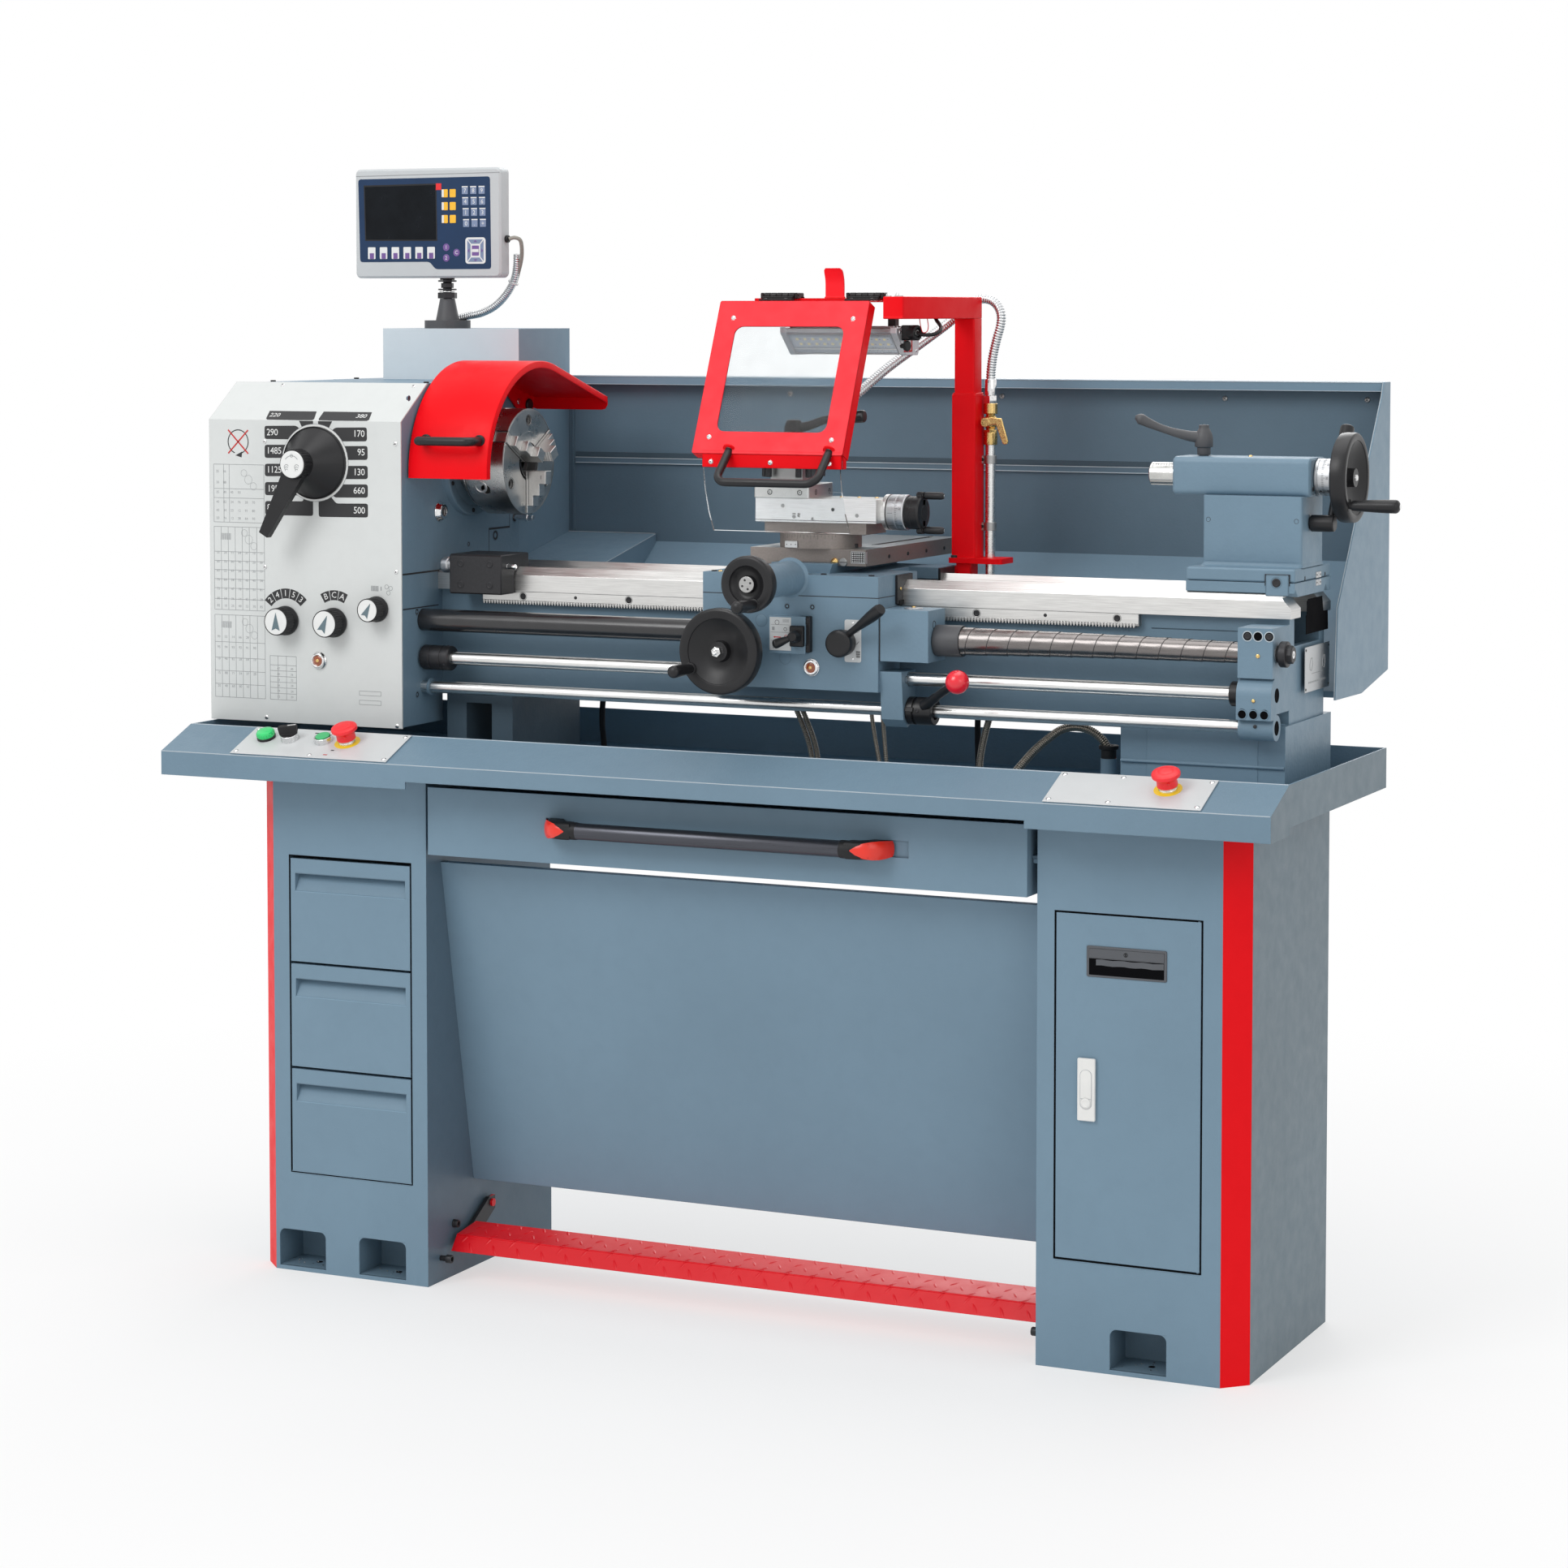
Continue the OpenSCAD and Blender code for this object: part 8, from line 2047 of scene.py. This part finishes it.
# dark slot of the keyhole: painted shade
g.box(((x0 + x1) / 2 - 1.6, -197.2, z1 - 11.4), ((x0 + x1) / 2 - 0.4, -196.8, z1 - 7.8), "void_black", 0.1)
g.done()
g = G("latch_shape", "latch", "white_plastic")
g.prism(rrect(548.6, 574.4, 350, 437, 2.0), -200.6, -195.5, 1, "white", 1.0)
oval = rrect(553.4, 569.6, 367, 421, 7.9, 8)
g.prism([(x + (x - 561.5) * 0.08, z + (z - 394) * 0.022) for x, z in oval], -200.75, -200.55, 1, "white_grey")
g.prism(oval, -201.6, -200.5, 1, "white", 0.5)
g.box((553.5, -201.75, 380.6), (569.5, -201.5, 381.4), "white_grey", 0.05)
g.rev([(0, 0), (1.2, 5.0), (0.6, 6.8), (-0.4, 7.4)], (561.5, -202.2, 375.2), YM, "white", 24)
g.rev([(0, 0), (0, 5.8), (6.3, 5.8), (6.3, 0)], (561.5, -196, 395), YP, "white", 20)
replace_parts(g.done(), "latch")

# foot bar: pressed channel with raised bars, screws at its ends
g = G("foot_bar_tread", "foot_bar", "paint_red")


def lens(c, u, v, n, l, w, h, m, skew):
    """Raised bar of a chequered plate: centre c on the plane of u and v, turned by skew."""
    c, u, v, n = Vector(c), Vector(u), Vector(v), Vector(n)
    a = u * math.cos(skew) + v * math.sin(skew)
    b = n.cross(a)
    vs = [c + a * (l / 2), c - a * (l / 2)]
    for k in (-0.62, -0.25, 0.25, 0.62):
        ww = w / 2 * (1 - (k / 1.05) ** 2)
        vs += [c + a * (k * l / 2) + b * ww, c + a * (k * l / 2) + n * h * (1 - k * k * 0.5),
               c + a * (k * l / 2) - b * ww]
    fs = [[0, 11, 12], [0, 12, 13], [1, 3, 2], [1, 4, 3]]
    for i in range(3):
        p = 2 + 3 * i
        fs += [[p, p + 1, p + 4, p + 3], [p + 1, p + 2, p + 5, p + 4]]
    fs = [f[::-1] for f in fs]
    g.add(vs, fs, m)


def foot_face(p, q, off, rows, m):
    """Rows of bars on the face that runs from p to q in [y, z], raised to the outside."""
    d = (Vector((0, q[0], q[1])) - Vector((0, p[0], p[1])))
    v = d.normalized()
    u = Vector(XP)
    n = u.cross(v)
    for t, sgn, ph in rows:
        x = -462 + ph
        while x < 466:
            lens(Vector((x, p[0], p[1])) + d * t + n * off, u, v, n, 19, 4.4, 1.0, m, sgn * math.radians(58))
            x += 41.0


foot_face((-142, 44), (-124, 66), 0.0, [(0.32, -1, 14), (0.78, 1, 0)], "foot_red")
foot_face((-124, 66), (-70, 74), 0.0, [(0.1, 1, 2), (0.36, -1, 22), (0.62, 1, 6), (0.88, -1, 26)], "foot_red")
g.tube([(-477.6, -124.2, 65.2), (477.6, -124.2, 65.2)], 1.5, "foot_red", 12)
for sx in (-1, 1):
    g.hexscrew((sx * 482.5, -88, 63), (-sx, 0, 0), 5.4, "black_oxide", 6)
g.done(60)
g = G("foot_screws", "stand", "black_plastic")
for sx in (-1, 1):
    g.cyl((sx * 487, -158, 36), (-sx, 0, 0), 4.2, 12, "black_oxide", 18)
    g.hexscrew((sx * 476, -158, 36), (-sx, 0, 0), 6.4, "black_oxide", 9)
    g.rev([(0, 0), (0, 6.5), (2, 6.3), (2, 0)], (sx * 487, -118, 80), (-sx, 0, 0), "black_oxide", 20)
    g.hexscrew((sx * 485.5, -118, 80), (-sx, 0, 0), 6.0, "black_oxide", 7)
g.done()
# dark joints round the door and the small drawers, and a painted highlight along the sheet's edge under each of
# them
g = G("gap_lines", "stand", "black_plastic")
for x0, x1, z0, z1 in ((514.2, 725.8, 154.2, 636.8), (-725.8, -514.2, 153.2, 636.8)):
    w = 1.6
    for lo, hi in (((x0 - w, z0), (x0, z1)), ((x1, z0), (x1 + w, z1)), ((x0 - w, z1), (x1 + w, z1 + w)),
                   ((x0 - w, z0 - w), (x1 + w, z0))):
        g.box((lo[0], -195.25, lo[1]), (hi[0], -193.6, hi[1]), "void_black", 0.1)
    g.box((x0 + 1, -195.35, z0 - w - 1.3), (x1 - 1, -194.6, z0 - w), "blue_light", 0.1)
g.done()

# ---------------------------------------------------------------- control plates, buttons
FRONT_TILT = math.atan2(33, 80)
OUT, UP = Vector((0, -math.sin(FRONT_TILT), math.cos(FRONT_TILT))), Vector((0, math.cos(FRONT_TILT),
        math.sin(FRONT_TILT)))


def slope(x, s, o=0.0):
    return Vector((x, -280, 797)) + UP * s + OUT * o


g = G("control_plates", "stand", "paint_white")
for x0, x1 in ((-776.5, -505.5), (525.5, 750.5)):
    c, w, h = (x0 + x1) / 2, (x1 - x0) / 2, 41.0
    sm = 43.3
    vs = []
    for o in (1.4, 2.3, 2.6):
        i = 0.0 if o < 2.5 else 0.3
        vs += [slope(c - w + i, sm - h + i, o), slope(c + w - i, sm - h + i, o),
               slope(c + w - i, sm + h - i, o), slope(c - w + i, sm + h - i, o)]
    g.add(vs, [[3, 2, 1, 0], [0, 1, 5, 4], [1, 2, 6, 5], [2, 3, 7, 6], [3, 0, 4, 7], [4, 5, 9, 8],
               [5, 6, 10, 9], [6, 7, 11, 10], [7, 4, 8, 11], [8, 9, 10, 11]], "plate_white")
    xs = (x0 + 7, (x0 + x1) / 2, x1 - 7) if x0 < 0 else (x0 + 7, x0 + 92, x1 - 7)
    for x in xs:
        for s in (sm - h + 7, sm + h - 7):
            g.rev([(0, 0), (0, 3.2), (0.9, 2.7), (1.5, 1.5), (1.7, 0)], slope(x, s, 2.5), OUT, "chrome", 18)
            g.rev([(0, 3.3), (0.06, 4.0), (0.1, 3.4)], slope(x, s, 2.56), OUT, "print_grey", 18)
# marks by the buttons
for x, s, m, w, h in ((-664, 74, "print_black", 7, 2.4), (-655, 73, "print_black", 5, 2),
                      (-610, 26, "print_black", 5, 2.6), (-615, 12, "print_red", 7, 2.2),
                      (-722, 74, "stop_yellow", 3, 4), (-618, 66, "print_grey", 3, 2.5)):
    p = slope(x, s, 2.75)
    g.box((p.x - w / 2, p.y - h / 2, p.z - 0.1), (p.x + w / 2, p.y + h / 2, p.z + 0.1), m, 0.05,
          Matrix.Rotation(FRONT_TILT, 3, "X"), p)
# pilot lamp
o = slope(-741, BUTTON_S)
g.rev([(2.5, 11), (2.5, 14.2), (6.0, 14.4), (6.6, 13.6), (6.6, 11)], o, OUT, "black", 40)
g.rev([(6.0, 10), (6.0, 13.2), (8, 13.6), (13.2, 13.4), (15.0, 12.4), (15.9, 9.6), (16.4, 5), (16.5, 0)], o,
      OUT, "lamp_green", 44)
for k in range(20):
    a = math.radians(18 * k)
    q = o + Vector((math.cos(a), 0, 0)) * 13.5 + UP * (math.sin(a) * 13.5) + OUT * 10.4
    g.cyl(q - OUT * 2.6, OUT, 0.7, 5.2, "lamp_green", 8, 0.3)
# yellow discs and collars under the stop buttons, rings round the others
for x in (-599, 689):
    g.rev([(2.5, 0), (2.5, 19.6), (3.1, 19.6), (3.4, 19.0), (3.4, 0)], slope(x, BUTTON_S), OUT, "stop_yellow",
          48)
    g.rev([(3.3, 11.2), (3.3, 12.4), (5.0, 13.0), (5.8, 12.4), (9.4, 12.2), (9.8, 11.6), (9.8, 11.2)],
          slope(x, BUTTON_S), OUT, "bezel", 40)
for x in (-699, -640):
    g.rev([(2.5, 11.2), (2.5, 13.6), (3.2, 14.1), (11.2 if x < -650 else 10.6, 13.7),
           (12 if x < -650 else 11.3, 13.0), (11.6 if x < -650 else 10.9, 11.6), (9, 11.2)], slope(x, BUTTON_S),
          OUT, "bezel", 44)
g.done()

for n, x in (("estop_left", -599), ("estop_right", 689)):
    g = G(n + "_shape", n, "paint_red")
    o = slope(x, BUTTON_S)
    g.rev([(-12, 0), (-12, 10.6), (8.6, 10.6), (8.6, 13.4), (9.4, 14.4), (18.5, 14.0), (21.2, 15.2),
           (23.2, 18.4), (24.2, 19.7), (26.4, 20.0), (28.8, 19.1), (30.4, 16.1), (31.2, 11.6), (31.1, 11.0),
           (31.6, 10.4), (31.9, 5), (32, 0)], o, OUT, "stop_red", 56)
    for k in range(2):
        a = math.radians(150 * k - 62)
        d = Vector((math.cos(a), 0, 0)) + UP * math.sin(a)
        g.tube([o + OUT * 17 + d * 13, o + OUT * 18.5 + d * 17.2, o + OUT * 21 + d * 18.0], 1.3, "stop_red", 10)
    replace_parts(g.done(40), n)
g = G("start_button_shape", "start_button", "green_plastic")
o = slope(-640, BUTTON_S)
g.rev([(-12, 0), (-12, 10.6), (11.0, 10.6), (11.8, 11.2), (12.5, 10.6), (12.7, 9.0), (12.75, 0)], o, OUT,
      "button_green", 44)
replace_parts(g.done(), "start_button")
g = G("selector_shape", "selector", "black_plastic")
o = slope(-699, BUTTON_S)
g.rev([(-12, 0), (-12, 10.6), (11.6, 10.6), (11.6, 12.8), (12.6, 13.2), (13.6, 12.6), (13.6, 0)], o, OUT,
      "black_matt", 44)
along = Vector(XP).lerp(UP, 0.25).normalized()
across = OUT.cross(along)
vs = []
for t, hw, hl in ((13.2, 5.6, 13.0), (15.0, 4.9, 13.6), (24.6, 4.3, 14.3), (26.0, 3.4, 13.6)):
    for sx, sy in ((-1, -1), (1, -1), (1, 1), (-1, 1)):
        vs.append(o + OUT * t + along * (sx * hl) + across * (sy * hw))
fs = [[3, 2, 1, 0], [12, 13, 14, 15]]
for k in range(3):
    for i in range(4):
        j = (i + 1) % 4
        fs.append([4 * k + i, 4 * k + j, 4 * k + 4 + j, 4 * k + 4 + i])
g.add(vs, fs, "black_matt")
vs = [o + OUT * 26.15 + along * a + across * b for a, b in ((0.5, -1.0), (13.4, -1.0), (13.4, 1.0), (0.5, 1.0))]
g.add(vs + [v - OUT * 0.4 for v in vs],
      [[0, 1, 2, 3], [7, 6, 5, 4], [0, 4, 5, 1], [1, 5, 6, 2], [2, 6, 7, 3], [3, 7, 4, 0]], "print_white")
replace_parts(g.done(), "selector")

# ---------------------------------------------------------------- tray: foot cover, glands, conduits
g = G("foot_cover", "stand", "paint_blue")
g.prism(rrect(594, 756, 789.5, 892, 2), -50.6, -48.9, 1, "cast", 0.5)
# painted highlight along the cover's top edge
g.tube([(556, -49.8, 893), (794, -49.8, 893)], 0.7, "blue_light", 8)
g.tube([(556, -52.2, 832.5), (794, -52.2, 832.5)], 2.2, "cast", 10)
g.done()


def flex(name, body, path, d):
    """Corrugated conduit of d mm along a path."""
    c = G(name, body, "black_plastic")
    pts = resample(path, 1.0)
    c.tube(pts, d / 2, "flex", 14, True, [d / 2 * (1 - 0.2 * (i % 3 == 0)) for i in range(len(pts))])
    return c.done(70)


def flat_arc(cx, cz, r, a0, a1, y):
    """Points of an arc in the plane at y."""
    angles = [math.radians(a0 + (a1 - a0) * k / 9) for k in range(10)]
    return [(cx + r * math.cos(a), y, cz + r * math.sin(a)) for a in angles]


CONDUITS = [("conduit_a", [(8, 24, 905), (16, 24, 880), (27, 24, 855), (38, 24, 828), (44, 24, 804),
                           (46, 24, 776)], 8.0), ("conduit_b", [(17, 26, 905), (25, 26, 880), (36, 26, 855),
        (47, 26, 828), (53, 26, 804), (55, 26, 776)], 8.0), ("conduit_c", [(139, 22, 905), (141, 22, 880),
        (145, 22, 850), (151, 22, 818), (155, 22, 796), (156, 22, 776)], 6.4), ("conduit_d", [(159, 20, 905),
        (160, 20, 880), (162, 20, 850), (165, 20, 818), (167, 20, 796), (168, 20, 776)], 6.4), ("conduit_e",
        [(331, 20, 905), (330, 20, 880), (322, 20, 850), (316, 20, 822), (314, 20, 800), (315, 20, 776)], 10.4),
            ("conduit_f", [(352, 20, 776), (364, 20, 791), (378, 20, 807), (394, 20, 825),
                           (411, 20, 841)] + flat_arc(463, 812, 55, 130, 30, 20), 12.4),]
g = G("gland", "stand", "black_plastic")
g.rev([(0, 0), (0, 11.6), (50, 11.6), (50, 0)], (512, 20, 774.6), ZP, "cast", 30)
g.rev([(0, 0), (0, 10.6), (2, 11), (14, 11), (15, 14), (19, 14.4), (20.5, 13.4), (20.5, 7.4), (17, 7)],
      (512, 20, 823), ZP, "black_matt", 32)
glands = g.done()
g = G("cable_rings", "stand", "black_plastic")
for x, y, r in ((46, 24, 6.4), (55.5, 26, 6.4), (156, 22, 5.4), (168, 20, 5.4), (315, 20, 8.6), (352, 20, 9.6),
                (-374, 160, 8), (259, 152, 8)):
    g.rev([(0, r - 1.6), (0, r), (5, r), (6, r - 1), (6, r - 1.6)], (x, y, 774.8), ZP, "black_matt", 24)
g.done()
for n, p, d in CONDUITS:
    path = smooth_path(p, 8)
    flex(n, "stand", path, d)
for n, p, d in (("cable_a", [(-352, 120, 905), (-356, 128, 880), (-366, 140, 850), (-372, 150, 818),
                             (-374, 158, 796), (-374, 160, 776)], 9.0), ("cable_b", [(268, 130, 905),
        (266, 134, 880), (262, 140, 850), (260, 146, 818), (259, 150, 796), (259, 152, 776)], 9.0)):
    path = smooth_path(p, 8)
    c = G(n, "stand", "black_plastic")
    c.tube(path, d / 2, "rubber", 14)
    c.done()

# ---------------------------------------------------------------- splash guard, tray edges
g = G("splash_detail", "stand", "paint_blue")
# folded joint half way up the back sheet: a band in the sheet's painted shade, a near-black groove above it as
# deeper painted shade, thin beads along its edges as painted highlights
g.box((-545, 385.6, 1215.2), (811.8, 389.2, 1223.8), "blue_shade", 0.3)
for z in (1215.0, 1223.6):
    g.tube([(-544, 385.6, z), (811, 385.6, z)], 0.8, "edge_light", 8)
g.box((-545, 388.0, 1224.4), (811.8, 389.2, 1232.5), "blue_deep", 0.1)
# painted highlight lines along the top of the sheet
g.tube([(-556, 359.9, 1356.2), (811, 359.9, 1356.2)], 0.7, "edge_light", 8)
g.tube([(-556, 359.9, 1343.4), (811, 359.9, 1343.4)], 0.5, "edge_light", 8)
# painted highlight lines along the edges of the chute plate and the right wing
for pts in ([(-398.2, 385.6, 1102), (-398.2, 200.4, 1064)], [(-398.2, 200.2, 1063), (-398.2, 200.2, 946)],
            [(-557, 200.2, 1064.2), (-399, 200.2, 1064.2)], [(-557, 385, 1102.6), (-399, 385, 1102.6)],
            [(811.8, 350, 1336), (811.8, 134, 1041)], [(811.8, 134, 1041), (811.8, 124, 911)],
            [(811.8, 350, 1336), (811.8, 359.6, 1356)]):
    g.tube(pts, 0.7, "edge_light", 8)
g.box((-549, 384.4, 1104), (-546, 389.2, 1343), "blue_dark", 0.4)
for x in (-520, -160, 200, 560, 780):
    g.cross_screw((x, 389.0, 1330), YM, 4.2, "dull_steel")
for z in (980, 1060, 1140, 1220, 1300):
    g.cross_screw((811.7, 372, z), XM, 3.6, "dull_steel")
g.done()

g = G("tray_edges", "stand", "paint_blue")
# painted highlight lines along the tray's rim and fold
g.tube([(-898, -199.9, 829.7), (847, -199.9, 829.7)], 0.9, "edge_light", 8)
g.tube([(-898, -279.6, 796.8), (847, -279.6, 796.8)], 0.75, "edge_light", 8)
g.done()

# ---------------------------------------------------------------- tool post
g = G("tool_post_shape", "tool_post", "ground_steel")
TX, TY = 30, -8  # its axis
g.prism(square(TX, TY, 44, 3, 3), 1189, 1209.4, 2, "ground_y", 0.8)
g.prism(square(TX, TY, 26, 2, 3), 1209, 1234, 2, "dull_steel", 0.3)
g.prism(square(TX, TY, 44, 3, 3), 1233, 1255, 2, "ground_y", 0.8)
for a in range(4):
    R = Matrix.Rotation(math.pi / 2 * a, 3, "Z")
    for i in (-1, 1):
        q = R @ Vector((35, i * 24, 0))
        p = (TX + q.x, TY + q.y)
        g.rev([(0, 4.6), (0.2, 6.4), (0.6, 6.4), (0.8, 4.6)], (*p, 1254.8), ZP, "dull_steel", 20)
        g.cyl((*p, 1219), ZP, 4.6, 37, "black_oxide", 16)
        g.rev([(0, 0), (0, 4.9), (8.6, 4.9), (9.4, 4.2), (9.4, 2.7), (6, 2.4), (6, 0)], (*p, 1255.6), ZP,
              "black_oxide", 20)
    # scale of the block's index and a maker's plain groove on each side
    q0, q1 = R @ Vector((44.05, -38, 0)), R @ Vector((44.05, 38, 0))
    g.tube([(TX + q0.x, TY + q0.y, 1236.2), (TX + q1.x, TY + q1.y, 1236.2)], 0.5, "dull_steel", 8)
    q0, q1 = R @ Vector((44.0, 30, 0)), R @ Vector((44.0, -18, 0))
    for q in (q0, q1):
        g.rev([(0, 3.2), (0.2, 4.0), (0.3, 3.0), (-0.1, 2.6), (0.05, 0)], (TX + q.x, TY + q.y, 1197.5),
              tuple(R @ Vector(XP)), "void_black", 18)
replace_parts(g.done(), "tool_post")
g = G("post_lever_shape", "post_lever", "black_plastic")
g.rev([(0, 0), (0, 8.9), (41, 8.9), (41, 0)], (TX, TY, 1215), ZP, "black_oxide", 24)
g.rev([(0, 0), (0, 15.5), (6, 15.5), (7, 14.6), (12, 14.8), (28, 14.2), (38, 12.6), (43.5, 11.2), (45.5, 9.8),
       (46.2, 6), (46.2, 0)], (TX, TY, 1256), ZP, "black_matt", 40)
for k in range(12):
    a = math.radians(30 * k + 8)
    d = Vector((math.cos(a), math.sin(a), 0))
    g.tube([Vector((TX, TY, 1270)) + d * 14.3, Vector((TX, TY, 1285)) + d * 13.7,
            Vector((TX, TY, 1296)) + d * 12.1], 0.8, "black", 6)
arm = smooth_path([(TX + 8, TY, 1290), (TX + 26, TY, 1294), (TX + 46, TY, 1301), (TX + 66, TY, 1305),
                   (TX + 78, TY, 1306)], 5)
g.tube(arm, 5.4, "black_matt", 16, True, [7.2 - 2.0 * i / (len(arm) - 1) for i in range(len(arm))])
g.rev([(0, 0), (0, 6.4), (3, 8.0), (14, 8.8), (34, 9.4), (38, 9.0), (40, 7.4), (40.6, 0)],
      (TX + 74, TY, 1305.5), (0.995, 0, 0.08), "black", 32)
hex_nut(g, (TX + 24, TY - 16, 1255.4), ZP, 9, 10, "chrome")
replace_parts(g.done(), "post_lever")

# ---------------------------------------------------------------- floor
bpy.ops.mesh.primitive_plane_add(size=60, location=(0, 0, 0))
floor = bpy.context.object
floor.name = "floor"
sh = Shader("floor", (0.86, 0.86, 0.86), 0.7)
grey = sh.ramp(sh.noise(1.5, 4.0, 0.6), [(0.3, (0.85, 0.85, 0.85)), (0.7, (0.87, 0.87, 0.87))])
away = sh.new("ShaderNodeVectorMath", operation="LENGTH")
sh.link(sh.obj, away.inputs[0])
far = sh.map(away.outputs["Value"], 0.9, 2.4, 0.55, 1.0)
rays = sh.new("ShaderNodeLightPath").outputs
seen = sh.math("MAXIMUM", sh.math("MAXIMUM", rays["Is Camera Ray"], rays["Is Glossy Ray"]),
               rays["Is Transmission Ray"])
white = sh.new("ShaderNodeEmission")
white.inputs["Color"].default_value = (1, 1, 1, 1)
white.inputs["Strength"].default_value = 1.0
pick = sh.new("ShaderNodeMixShader")
for a, b in ((sh.math("MULTIPLY", far, seen), pick.inputs[0]), (sh.b.outputs[0], pick.inputs[1]),
             (white.outputs[0], pick.inputs[2]), (pick.outputs[0], sh.out.inputs["Surface"])):
    sh.link(a, b)
sh.finish(grey)
floor.data.materials.append(M["floor"])
